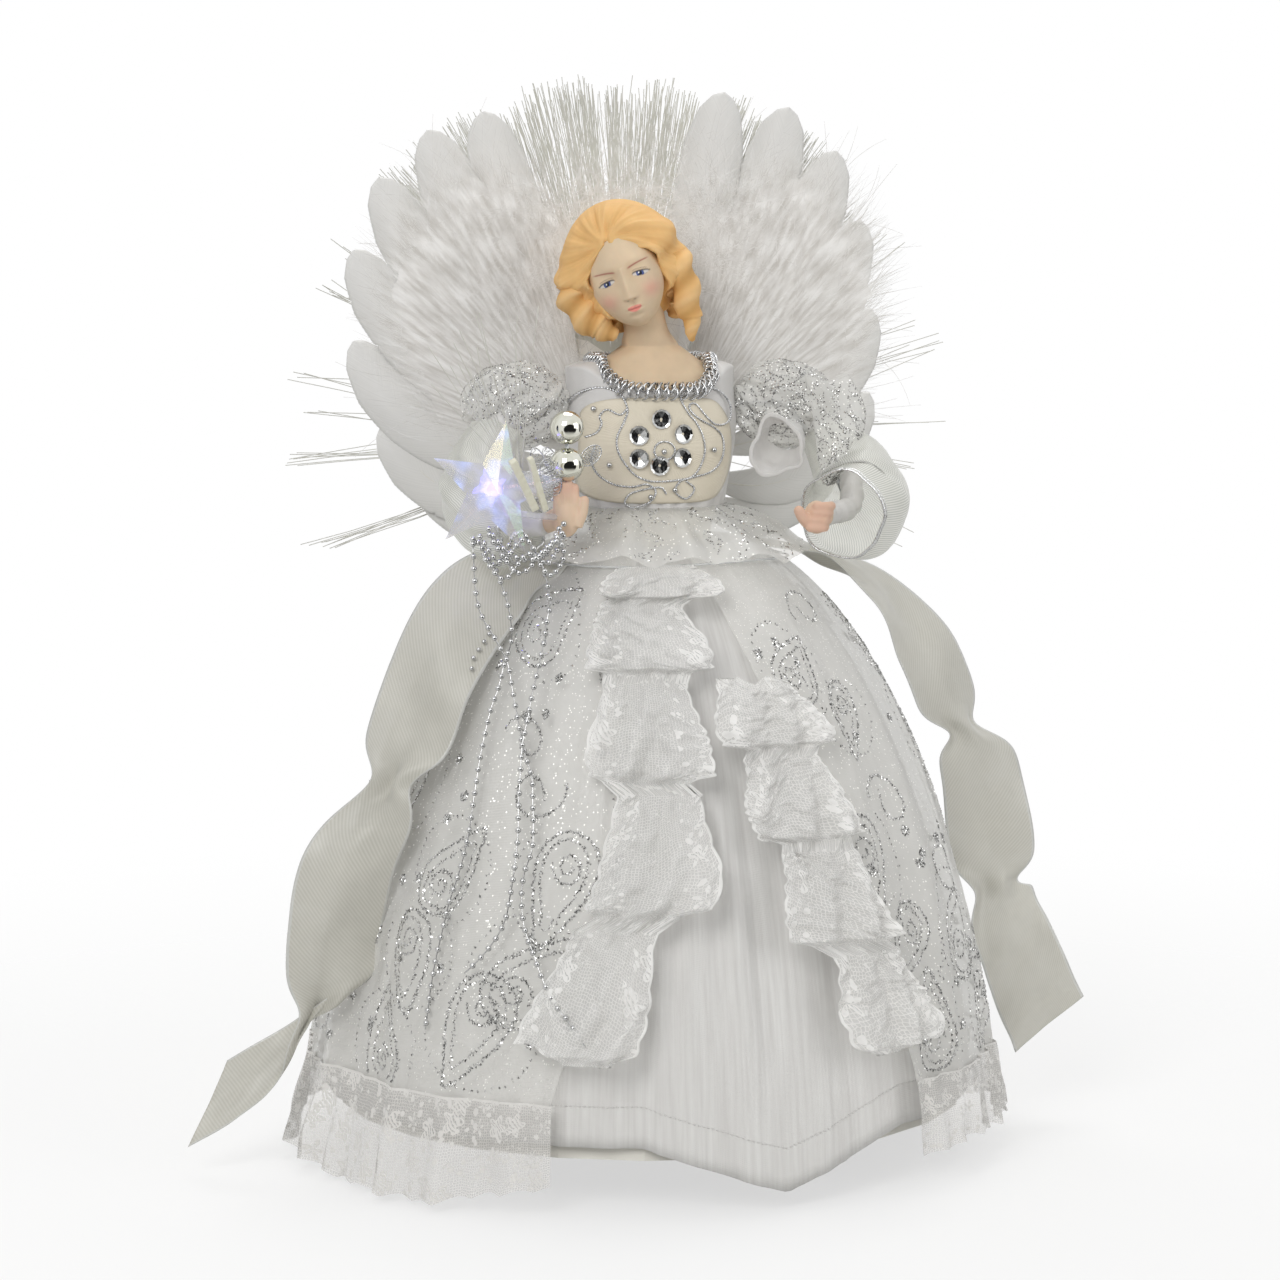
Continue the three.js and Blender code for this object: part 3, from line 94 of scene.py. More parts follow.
world = bpy.data.worlds.new("white studio")
scene.world = world
world.use_nodes = True
sky = world.node_tree
sky.nodes.clear()
ray = add_node(sky, "ShaderNodeLightPath")
seen = add_node(sky, "ShaderNodeMath", {0: ray.outputs["Is Camera Ray"], 1: ray.outputs["Is Transmission Ray"]},
                operation="MAXIMUM")
seen = add_node(sky, "ShaderNodeMath", {0: seen, 1: ray.outputs["Is Glossy Ray"]}, operation="MAXIMUM")
white = add_node(sky, "ShaderNodeBackground", {"Color": (1, 1, 1, 1), "Strength": 1.0})
ambience = add_node(sky, "ShaderNodeBackground", {"Color": (1, 1, 1, 1), "Strength": 0.42})
both = add_node(sky, "ShaderNodeMixShader", {0: seen, 1: ambience, 2: white})
add_node(sky, "ShaderNodeOutputWorld", {"Surface": both})

# The floor is a pale disc that takes the shadow and fades into the white surround
bpy.ops.mesh.primitive_circle_add(vertices=96, radius=1.1, fill_type="NGON", location=(0, 0, 0.0008))
floor = bpy.context.object
floor.name = "studio_floor"
bpy.ops.object.transform_apply(location=True)
floor_paint = bpy.data.materials.new("matt white studio floor")
floor_paint.use_nodes = True
paint = floor_paint.node_tree
paint.nodes.clear()
place = add_node(paint, "ShaderNodeTexCoord")
reach = add_node(paint, "ShaderNodeVectorMath", {0: place.outputs["Object"]}, operation="LENGTH")
fade = add_node(paint, "ShaderNodeMapRange", {0: reach, 1: 0.16, 2: 0.75, 3: 0.0, 4: 1.0},
                interpolation_type="SMOOTHSTEP")
matt = add_node(paint, "ShaderNodeBsdfDiffuse", {"Color": "#F4F4F3"})
clear = add_node(paint, "ShaderNodeBsdfTransparent")
glow = add_node(paint, "ShaderNodeEmission", {"Color": (1, 1, 1, 1), "Strength": 1.0})
path = add_node(paint, "ShaderNodeLightPath")
lift = add_node(paint, "ShaderNodeMath", {0: path.outputs["Is Camera Ray"], 1: 0.62}, operation="MULTIPLY")
lit = add_node(paint, "ShaderNodeMixShader", {0: lift, 1: matt, 2: glow})
both = add_node(paint, "ShaderNodeMixShader", {0: fade, 1: lit, 2: clear})
add_node(paint, "ShaderNodeOutputMaterial", {"Surface": both})
floor.data.materials.append(floor_paint)

# Soft boxes: key from her right front and above, fill from her left front, one over her and one behind.
# Each has its place and width in metres and its power in watts, and is turned to the gown's middle.
lit_middle = Vector((0, 0, 0.2))
for name, spot, size, power in [
    ("key", (-1.0, -1.5, 1.25), 0.9, 17.0), ("fill", (1.5, -1.3, 0.7), 1.1, 7.5),
    ("top", (0.2, 0.5, 1.7), 0.9, 9.0), ("rear", (-0.3, 1.8, 0.8), 1.2, 7.0),
]:
    bpy.ops.object.light_add(type="AREA", location=spot)
    lamp = bpy.context.object
    lamp.name = "soft_box_" + name
    lamp.data.size = size
    lamp.data.energy = power
    lamp.rotation_euler = (Vector(spot) - lit_middle).to_track_quat("Z", "Y").to_euler()

# Oval black boards that only reflections see, so that silver shows dark blots as in a real studio
felt = bpy.data.materials.new("black felt board")
felt.use_nodes = True
feed(felt.node_tree.nodes["Principled BSDF"], {"Base Color": "#0E0E10", "Roughness": 1.0})
for name, spot, size in [("left", (-1.6, -0.3, 0.1), (0.45, 1.1)), ("right", (1.6, -0.2, 0.2), (0.45, 1.1)),
                         ("front", (0.25, -1.9, -0.15), (3.6, 2.7))]:
    bpy.ops.mesh.primitive_circle_add(vertices=48, radius=0.5, fill_type="NGON", location=spot)
    board = bpy.context.object
    board.name = "studio_board_" + name
    board.scale = (size[0], size[1], 1)
    board.rotation_euler = (Vector(spot) - lit_middle).to_track_quat("Z", "Y").to_euler()
    board.visible_camera = board.visible_diffuse = board.visible_shadow = board.visible_transmission = False
    board.data.materials.append(felt)

# ---------------------------------------------------------------------------------------------
# Bead garlands and swag: silvered plastic beads of 2.2 mm fused on a thread every 4.4 mm, or 2.5 in the swag.
# Three strings hang from the swag below the hand, over the front of the gown.


def curve_through(points, steps):
    """A smooth line through the points, with that many steps between each two."""
    points = [Vector(p) for p in points]
    ends = [points[0] * 2 - points[1]] + points + [points[-1] * 2 - points[-2]]
    line = []
    for a, b, c, d in zip(ends, ends[1:], ends[2:], ends[3:]):
        for k in range(steps):
            t = k / steps
            line.append(0.5 * (2 * b + (c - a) * t + (2 * a - 5 * b + 4 * c - d) * t * t
                               + (3 * b - a - 3 * c + d) * t ** 3))
    return line + [points[-1]]


def spaced(line, step):
    """Places a step apart along a line, and the line's length."""
    reach = [0.0]
    for a, b in zip(line, line[1:]):
        reach.append(reach[-1] + (b - a).length)
    found, i = [], 0
    for k in range(int(reach[-1] / step) + 1):
        while i < len(line) - 2 and reach[i + 1] < k * step:
            i += 1
        part = (k * step - reach[i]) / max(reach[i + 1] - reach[i], 1e-9)
        found.append(line[i].lerp(line[i + 1], min(1.0, part)))
    return found, reach[-1]


def mesh_piece(name, points, faces, material, smooth=True, uv=None):
    """A piece from points in millimetres, in the row frame."""
    mesh = bpy.data.meshes.new(name)
    mesh.from_pydata([[c * mm for c in p] for p in points], [], faces)
    if uv is not None:
        layer = mesh.uv_layers.new(name="UVMap")
        flat = np.array([uv[loop.vertex_index] for loop in mesh.loops], np.float32)
        layer.data.foreach_set("uv", flat.ravel())
    mesh.polygons.foreach_set("use_smooth", [smooth] * len(mesh.polygons))
    mesh.materials.append(material)
    piece = bpy.data.objects.new(name, mesh)
    scene.collection.objects.link(piece)
    return piece


def shape_of(primitive):
    """Points in millimetres and faces of the object just added, which is then removed."""
    points = np.array([v.co for v in primitive.data.vertices], float) / mm
    faces = [tuple(p.vertices) for p in primitive.data.polygons]
    bpy.data.objects.remove(primitive)
    return points, faces


def copies(shape, places):
    """One list of points and faces with a copy of the shape at each 4x4 place."""
    points, faces = shape
    whole, walls = [], []
    for k, place in enumerate(places):
        turn = np.array(place.to_3x3(), float)
        whole.append(points @ turn.T + np.array(place.translation, float))
        walls += [tuple(i + k * len(points) for i in face) for face in faces]
    return np.concatenate(whole), walls


def tube_along(line, radius, sides=6):
    """Points and faces of a closed round tube along a line; radius may change along it."""
    radii = radius if hasattr(radius, "__len__") else [radius] * len(line)
    points, faces = [], []
    up = Vector((0, 0, 1))
    for k, here in enumerate(line):
        ahead = (line[min(k + 1, len(line) - 1)] - line[max(k - 1, 0)]).normalized()
        side = up.cross(ahead)
        side = side.normalized() if side.length > 1e-4 else Vector((1, 0, 0))
        top = ahead.cross(side).normalized()
        up = top
        for i in range(sides):
            turn = i / sides * 2 * math.pi
            points.append(here + (side * math.cos(turn) + top * math.sin(turn)) * radii[k])
        if k:
            for i in range(sides):
                a, b = (k - 1) * sides + i, (k - 1) * sides + (i + 1) % sides
                faces.append((a, b, b + sides, a + sides))
    faces.append(tuple(range(sides))[::-1])
    faces.append(tuple(range(len(points) - sides, len(points))))
    return points, faces


def merged(*shapes):
    """Several lists of points and faces as one."""
    points, faces = [], []
    for more, walls in shapes:
        faces += [tuple(i + len(points) for i in face) for face in walls]
        points += [tuple(p) for p in more]
    return points, faces


def new_material(name, colour, roughness, **inputs):
    """A Principled material with these plain settings; returns it, its tree and its shader."""
    made = bpy.data.materials.new(name)
    made.use_nodes = True
    shader = made.node_tree.nodes["Principled BSDF"]
    feed(shader, {"Base Color": colour, "Roughness": roughness})
    feed(shader, {key.replace("_", " "): value for key, value in inputs.items()})
    return made, made.node_tree, shader


def mottled(name, colour, roughness, scale, detail=2.0, tints=None, gloss=None, relief=None, **inputs):
    """A material whose skin follows one noise, of that scale in cycles a metre. The noise mixes two tints,
    is mapped by gloss (from, to, roughness, roughness) and raises a relief of (strength, metres)."""
    made, tree, shader = new_material(name, colour, roughness, **inputs)
    place = add_node(tree, "ShaderNodeTexCoord")
    cloud = add_node(tree, "ShaderNodeTexNoise", {"Vector": place.outputs["Object"], "Scale": scale, "Detail": detail})
    if tints:
        tint = add_node(tree, "ShaderNodeMix", {0: cloud, 6: tints[0], 7: tints[1]}, data_type="RGBA")
        feed(shader, {"Base Color": tint})
    if gloss:
        skin = add_node(tree, "ShaderNodeMapRange", dict(enumerate((cloud, *gloss))))
        feed(shader, {"Roughness": skin})
    if relief:
        bump = add_node(tree, "ShaderNodeBump", {"Height": cloud, "Strength": relief[0], "Distance": relief[1]})
        feed(shader, {"Normal": bump})
    return made


# Vacuum-metallised polystyrene: a mirror of aluminium under clear lacquer, a little uneven
silvered = mottled("vacuum-metallised polystyrene", "#D4D5D6", 0.12, 900, tints=("#A4A5A6", "#D8D8D6"),
                   gloss=(0.35, 0.75, 0.07, 0.26), Metallic=1.0)

bead_radius, bead_pitch, thread_radius = 1.1, 4.4, 0.26
bpy.ops.mesh.primitive_uv_sphere_add(segments=10, ring_count=7, radius=bead_radius * mm)
bead_shape = shape_of(bpy.context.object)

star_centre = Vector((-72.3, -59.5, 253.7))
swag_start, swag_end = Vector((-80, -57.6, 236)), Vector((-45.6, -55.2, 241))


def swag_point(share):
    """The swag hangs in two loops of 11 mm, a quarter and three quarters of the way along."""
    hang = 11 * (1 - math.cos(2 * share * 2 * math.pi)) / 2
    return swag_start.lerp(swag_end, share) - Vector((0, 0, hang))


# where along the swag each string hangs, and the points that it passes on its way down over the gown
garland_routes = [
    (0, [(-79.5, -60, 217), (-77.5, -61, 208.5), (-74, -61.5, 202.5), (-70.5, -62, 196), (-68.5, -63, 191.5),
         (-67.5, -67, 181.5), (-67, -71, 174.5), (-66.5, -76, 166.5), (-66, -79, 161.5), (-64.5, -84.5, 153),
         (-65, -88, 145), (-65.5, -91, 137.5), (-66.5, -93.5, 129), (-69.5, -94.5, 121), (-71, -96.5, 112.5),
         (-70.8, -100, 102.5), (-68.5, -106, 93), (-66.5, -110.5, 85.5), (-63.5, -115, 78), (-58.5, -119, 71),
         (-54, -122.5, 63.5)]),
    (0.25, [(-68.5, -57.2, 216.5), (-66.5, -57.4, 208.5), (-66, -57.5, 199.5), (-68.5, -58, 191.5),
            (-71.5, -60.5, 182.5), (-75, -63, 174.5), (-79, -67, 161.5), (-81, -69.5, 153.5), (-83, -72.5, 145),
            (-85.5, -75, 132.5), (-89, -76.5, 120), (-93, -77, 108.5), (-96, -77.5, 97), (-98.5, -78, 87),
            (-100.5, -78.5, 76), (-102.5, -80, 63.5)]),
    (0.75, [(-52, -58.5, 214), (-53.5, -60, 206), (-56, -65, 197.5), (-59, -69.5, 189.5), (-62, -74, 181.5),
            (-64.5, -77.5, 173), (-67, -80.5, 165), (-68.5, -84, 156), (-69.5, -86.5, 149), (-70.3, -88.5, 142),
            (-71, -91, 134), (-72.3, -93, 126), (-73.5, -94.5, 119.5), (-75, -95.5, 112.5), (-76.5, -96, 105.5),
            (-79, -95, 99.5), (-82.5, -93.5, 94), (-86, -91.5, 89.5), (-90, -89, 85)]),
]


def bead_string(name, line, node, pitch=bead_pitch):
    places, length = spaced(line, pitch)
    beads = copies(bead_shape, [Matrix.Translation(p) for p in places])
    thread = tube_along(line, thread_radius, 5)
    piece = mesh_piece(name, *merged(beads, thread), silvered)
    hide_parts(node)
    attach(piece, "right_arm")
    return piece, length


for k, (share, passed) in enumerate(garland_routes):
    top = swag_point(share) - Vector((0, 0, 1.76))
    line = curve_through([top, *passed], 6)
    string, length = bead_string(f"garland_{k + 1}", line, f"bead_garland_{k + 1}")

swag_line = [swag_point(k / 60) for k in range(61)]
bead_string("swag", swag_line, "bead_swag", 2.5)

# ---------------------------------------------------------------------------------------------
# Bell frame and lamp unit: injection-moulded white polystyrene, with the lamp's case hung from the
# bell's flat top on a crimped sleeve. They stay as in the CAD, in the finish that the tool gives.


def finish_nodes(material, *names):
    """Gives that finish to solids which show as they are in the CAD."""
    for name in names:
        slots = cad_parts[name].data.materials
        slots.clear()
        slots.append(material)


# Moulded polystyrene: satin skin, with the faint mottling of a spark-eroded tool
moulded = mottled("injection-moulded white polystyrene", "#DEDCD4", 0.42, 1400, 3.0, gloss=(0.3, 0.7, 0.36, 0.55),
                  relief=(0.12, 0.0001), Specular_IOR_Level=0.5)
tree = moulded.node_tree
place = add_node(tree, "ShaderNodeTexCoord")
wide = add_node(tree, "ShaderNodeTexNoise", {"Vector": place.outputs["Object"], "Scale": 30.0, "Detail": 2.0})
tint = add_node(tree, "ShaderNodeMix", {0: wide, 6: "#D8D5CB", 7: "#E6E4DD"}, data_type="RGBA")
feed(tree.nodes["Principled BSDF"], {"Base Color": tint})
finish_nodes(moulded, "skirt_frame", "lamp_housing", "lamp_cover")

# Galvanised soft wire and zinc-plated screws: bright, drawn along their length
drawn_wire, tree, shader = new_material("galvanised soft wire", "#A9ABAD", 0.32, Metallic=1.0)
place = add_node(tree, "ShaderNodeTexCoord")
stretch = add_node(tree, "ShaderNodeMapping", {"Vector": place.outputs["Object"], "Scale": (900, 900, 120)})
grain = add_node(tree, "ShaderNodeTexNoise", {"Vector": stretch, "Scale": 2.0, "Detail": 3.0})
skin = add_node(tree, "ShaderNodeMapRange", {0: grain, 3: 0.22, 4: 0.5})
tint = add_node(tree, "ShaderNodeMix", {0: grain, 6: "#8E9092", 7: "#C2C4C6"}, data_type="RGBA")
feed(shader, {"Roughness": skin, "Base Color": tint})
finish_nodes(drawn_wire, "lamp_screw_1", "lamp_screw_2", "shoulder_wire", "right_arm_wire", "left_arm_wire",
             "ball_pick")

# The star's lamp wire runs in a sleeve of clear soft vinyl, so it hardly shows
clear_sleeve = mottled("wire in a clear soft-vinyl sleeve", "#DFE0E4", 0.25, 300, gloss=(0, 1, 0.15, 0.4),
                       Alpha=0.4, IOR=1.53)
finish_nodes(clear_sleeve, "star_stem")

# Turned aluminium sleeve with fine lathe rings round its axis
turned_metal, tree, shader = new_material("turned aluminium", "#C8CACC", 0.28, Metallic=1.0)
place = add_node(tree, "ShaderNodeTexCoord")
rings = add_node(tree, "ShaderNodeTexWave", {"Vector": place.outputs["Object"], "Scale": 620.0, "Distortion": 0.6},
                 bands_direction="Z")
skin = add_node(tree, "ShaderNodeMapRange", {0: rings.outputs["Fac"], 3: 0.2, 4: 0.36})
feed(shader, {"Roughness": skin})
finish_nodes(turned_metal, "fibre_ferrule")

# Black ABS socket, moulded matt
socket_black = mottled("moulded black ABS", "#25262A", 0.45, 2200, relief=(0.2, 0.0001))
finish_nodes(socket_black, "power_inlet")

# Violet-blue light-emitting diodes in water-clear epoxy, lit
lit_diode = mottled("lit violet-blue diode in clear epoxy", "#8F86FF", 0.15, 350, tints=("#6F66FF", "#B9B4FF"),
                    Emission_Color="#8A7DFF", Emission_Strength=3.0)
finish_nodes(lit_diode, "halo_lamp", "star_lamp")

# Drawn acrylic optical fibre: clear strands that look pale grey in a bunch
acrylic_fibre = mottled("drawn acrylic optical fibre", "#D6D5CE", 0.22, 700, 1.0, tints=("#B4B3AA", "#F4F4F0"),
                        IOR=1.49, Subsurface_Weight=0.15)
finish_nodes(acrylic_fibre, "fibre_bundle")

# ---------------------------------------------------------------------------------------------
# Torso plug: pressed polyester wadding under the bodice, which fills the bust out.
# It is pushed over the bell's top and the shoulder wire runs through it.

chest_half_width, chest_half_depth, bust_foot, bust_rise = 31.5, 21.5, 230, 74
bust_heights = [0, 0.13, 0.29, 0.47, 0.62, 0.75, 0.85, 0.93, 1]
bust_widths = [0.71, 0.81, 0.89, 0.97, 1, 0.97, 0.83, 0.56, 0.33]
bust_depths = [0.81, 0.88, 0.95, 1, 0.95, 0.86, 0.74, 0.58, 0.46]


def on_bust(turn, height, out):
    """A point of the bust's outline. Turn runs from the front towards her left hand."""
    up = min(1.0, max(0.0, (height - bust_foot) / bust_rise))
    wide = chest_half_width * float(np.interp(up, bust_heights, bust_widths)) + out
    deep = chest_half_depth * float(np.interp(up, bust_heights, bust_depths)) + out
    return Vector((wide * math.sin(turn), -deep * math.cos(turn), height))


def active_only(piece):
    bpy.ops.object.select_all(action="DESELECT")
    piece.select_set(True)
    bpy.context.view_layer.objects.active = piece


def on_whole_mesh(piece, operator, **settings):
    """Runs one mesh operator on all of a piece."""
    active_only(piece)
    bpy.ops.object.mode_set(mode="EDIT")
    bpy.ops.mesh.select_all(action="SELECT")
    operator(**settings)
    bpy.ops.object.mode_set(mode="OBJECT")


seam_gap = 0.02 * mm


def shaped_grid(name, across, down, point_at, material, wrapped=False, size=(1, 1)):
    """A grid whose corners are moved to point_at(i, j), both from 0 to 1; its UV map is in mm of cloth.
    A wrapped one is closed where its two sides meet."""
    bpy.ops.mesh.primitive_grid_add(x_subdivisions=across, y_subdivisions=down, size=1, calc_uvs=True)
    piece = bpy.context.object
    piece.name = piece.data.name = name
    shares = [(v.co.x + 0.5, 0.5 - v.co.y) for v in piece.data.vertices]
    for v, (i, j) in zip(piece.data.vertices, shares):
        v.co = Vector(point_at(i, j)) * mm
    layer = piece.data.uv_layers.active.data
    for loop in piece.data.loops:
        i, j = shares[loop.vertex_index]
        layer[loop.index].uv = (i * size[0], (1 - j) * size[1])
    piece.data.materials.append(material)
    if wrapped:
        on_whole_mesh(piece, bpy.ops.mesh.remove_doubles, threshold=seam_gap)
    active_only(piece)
    bpy.ops.object.shade_smooth()
    return piece


def with_thickness(piece, thickness, offset=-1.0):
    """Gives a sheet its real thickness, inwards at -1 and outwards at 1."""
    active_only(piece)
    wall = piece.modifiers.new("wall", "SOLIDIFY")
    wall.thickness, wall.offset = thickness * mm, offset
    bpy.ops.object.modifier_apply(modifier="wall")


# Pressed wadding: matt, with a soft tangle of fibres
wadding = mottled("pressed polyester wadding", "#E6E2D6", 0.95, 800, 6.0, relief=(0.7, 0.0005))

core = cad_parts["torso_core"].copy()
core.data = core.data.copy()
core.name = core.data.name = "torso_plug"
core.parent = None
for key in list(core.keys()):
    del core[key]
scene.collection.objects.link(core)
on_whole_mesh(core, bpy.ops.mesh.remove_doubles, threshold=seam_gap)
core.data.materials.clear()
core.data.materials.append(wadding)
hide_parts("torso_core")
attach(core, "figure")

# ---------------------------------------------------------------------------------------------
# Half doll: one bisque casting of head, neck and shoulder plate, fired unglazed and painted by hand.
# The hair is moulded in waves from a side part; brows, eyes, cheeks and lips are thin overglaze paint.

head_place = Vector((-11.6, -5, 333))
head_turn = Matrix.Rotation(math.radians(-18), 4, "Z") @ Matrix.Rotation(math.radians(-20), 4, "Y") \
    @ Matrix.Rotation(math.radians(6), 4, "X")


def bulge(x, z, at_x, at_z, wide, high):
    """A soft hump: 1 at its middle, near 0 at twice its width and height."""
    return math.exp(-(((x - at_x) / wide) ** 2 + ((z - at_z) / high) ** 2))


def face_point(x, y, z):
    """Moves a point of the plain face ellipsoid to the modelled face; she looks along -Y here."""
    front = max(0.0, min(1.0, (-y - 9) / 6))
    jaw = max(0.0, (-8 - z) / 15)
    x *= 1 - 0.2 * jaw ** 1.5
    side = abs(x)
    out = 0.0
    ridge = max(0.0, min(1.0, (1.5 - z) / 11))
    if z < 1.5:
        tail = 1.0 if z > -10 else math.exp(-((z + 10) / 0.75) ** 2)
        out += (0.9 + 2.2 * ridge ** 1.3) * math.exp(-(x / (1.25 + 0.75 * ridge)) ** 2) * tail
    out += 0.55 * bulge(side, z, 1.6, -10.0, 0.9, 0.8)
    out -= 1.5 * bulge(side, z, 5.4, -0.8, 3.4, 2.3)
    out += 0.85 * bulge(side, z, 6.1, -2.5, 2.6, 1.5)
    out += 0.5 * bulge(side, z, 6.0, 2.8, 4.0, 1.6)
    out += 0.8 * bulge(side, z, 7.5, -9.0, 3.6, 3.8)
    out += 0.7 * bulge(x, z, 0, -15.0, 4.0, 3.0)
    out += 0.55 * bulge(side, z, 1.1, -13.9, 1.5, 0.65) + 0.7 * bulge(x, z, 0, -15.5, 2.0, 0.75)
    out -= 0.45 * bulge(x, z, 0, -14.65, 2.6, 0.28)
    out -= 0.3 * bulge(x, z, 0, -12.3, 0.5, 0.8)
    out -= 0.5 * bulge(x, z, 0, -17.2, 2.6, 0.7)
    out += 1.3 * bulge(x, z, 0, -19.8, 3.6, 2.4)
    return Vector((x, y - out * front, z))


def soft(low, high, value):
    """0 before low, 1 past high, and a smooth step between; low may be the larger."""
    share = min(1.0, max(0.0, (value - low) / (high - low)))
    return share * share * (3 - 2 * share)


def mixed(a, b, share):
    """A share of the way from one colour to another."""
    return [p + (q - p) * share for p, q in zip(a, b)]


bisque_skin, bisque_hair = hex_colour("#DEC7A8"), hex_colour("#E8BB7C")
# shade, deep and pale are painted light: shade is painted shade beside the nose and on the neck under the chin, deep is
# painted shade in the hair's grooves, pale a painted highlight on its crests
paints = {key: hex_colour(value) for key, value in {
    "cheek": "#E2A08F", "lip": "#EA8A80", "lid": "#6F5342", "lash": "#2E2B30", "white": "#DAD3CC", "iris": "#4C5E9A",
    "pupil": "#161A26", "spark": "#FFFFFF", "brow": "#A4504A", "shade": "#BF9F7C", "deep": "#BE8A45",
    "pale": "#F3CF9B",
}.items()}


def face_paint(x, z):
    """The painter's colours on the face, by place across and up it, with painted shade beside the nose and under the
    upper lids and a painted highlight in each eye.
    """
    side = abs(x)
    colour = mixed(bisque_skin, paints["cheek"], 0.6 * bulge(side, z, 8.4, -9.4, 3.2, 3.0))
    # painted shade down both sides of the nose, by the inner corners of the eyes
    colour = mixed(colour, paints["shade"], 0.35 * bulge(side, z, 3.0, -1.5, 1.3, 3.0))
    # half-lidded eyes: a dark lash line, a big blue iris under it, hardly any white
    ex, ez = side - 6.5, z + 2.6 + 0.12 * (side - 6.5)
    open_ = math.sqrt(max(0.0, 1 - (ex / 3.0) ** 2))
    lid_top, lid_foot = 0.72 * open_, -0.98 * open_
    fold = math.exp(-((ez - lid_top - 0.85) / 0.17) ** 2) * soft(3.2, 2.2, abs(ex))
    colour = mixed(colour, paints["lid"], 0.6 * fold)
    if abs(ex) < 3.0 and lid_foot < ez < lid_top:
        colour = paints["white"]
        gaze = math.hypot((x - (6.3 if x > 0 else -6.5)), ez + 0.08)
        if gaze < 1.42:
            colour = mixed(paints["iris"], paints["pupil"], soft(0.95, 0.7, gaze) + 0.5 * soft(1.2, 1.4, gaze))
        # a white dot in each eye, a painted highlight
        if math.hypot(x - (5.95 if x > 0 else -6.85), ez - 0.12) < 0.3:
            colour = paints["spark"]
        # painted shade under the upper lid: the top of each eye runs into the lash colour
        colour = mixed(colour, paints["lash"], 0.45 * soft(0.1, 0.8, ez))
    lash = math.exp(-((ez - lid_top - 0.06) / 0.27) ** 2) * soft(3.7, 2.9, abs(ex - 0.25))
    colour = mixed(colour, paints["lash"], 0.95 * lash)
    colour = mixed(colour, paints["lid"], 0.4 * math.exp(-((ez - lid_foot) / 0.14) ** 2) * soft(2.8, 1.8, abs(ex)))
    # brows that rise outwards, drawn with one stroke each
    arch = 0.35 + 0.125 * (side - 2.1) + 0.35 * math.sin(max(0.0, min(1.0, (side - 2.1) / 8.7)) * math.pi)
    colour = mixed(colour, paints["brow"], 0.9 * math.exp(-((z - arch) / (0.36 - 0.012 * side)) ** 2)
                   * soft(1.9, 3.4, side) * soft(11.4, 9.4, side))
    # lips with a bow, and the shadow of each nostril
    bow = -13.0 - 0.28 * math.exp(-(x / 0.5) ** 2) - 0.115 * side ** 1.5
    foot = -15.75 + 0.17 * side ** 1.9
    if foot < z < bow and side < 2.8:
        edge = min((bow - z) / 0.2, (z - foot) / 0.3, 1.0)
        colour = mixed(colour, paints["lip"], 0.85 * min(1.0, edge))
        colour = mixed(colour, paints["brow"], 0.55 * math.exp(-((z + 14.2) / 0.13) ** 2))
    colour = mixed(colour, paints["lid"], 0.65 * bulge(side, z, 1.35, -10.9, 0.5, 0.26))
    return colour


# the hairline, seen from the front: its left and right edges by height
hairline = [(-24, -3.5, 9), (-15.5, -7.5, 12), (-10, -10.5, 13.6), (-4, -12.2, 13.8), (1, -12.4, 12.9),
            (4.4, -10, 10.6), (6.4, -7.8, 6.5), (8.6, -5.4, 2), (11.2, -2, -2)]


def in_window(x, z):
    """How far a place is inside the face's opening in the hair; less than 0 outside it."""
    left, right = (float(np.interp(z, [h[0] for h in hairline], [h[k] for h in hairline])) for k in (1, 2))
    return min(x - left, right - x, 11.6 - z)


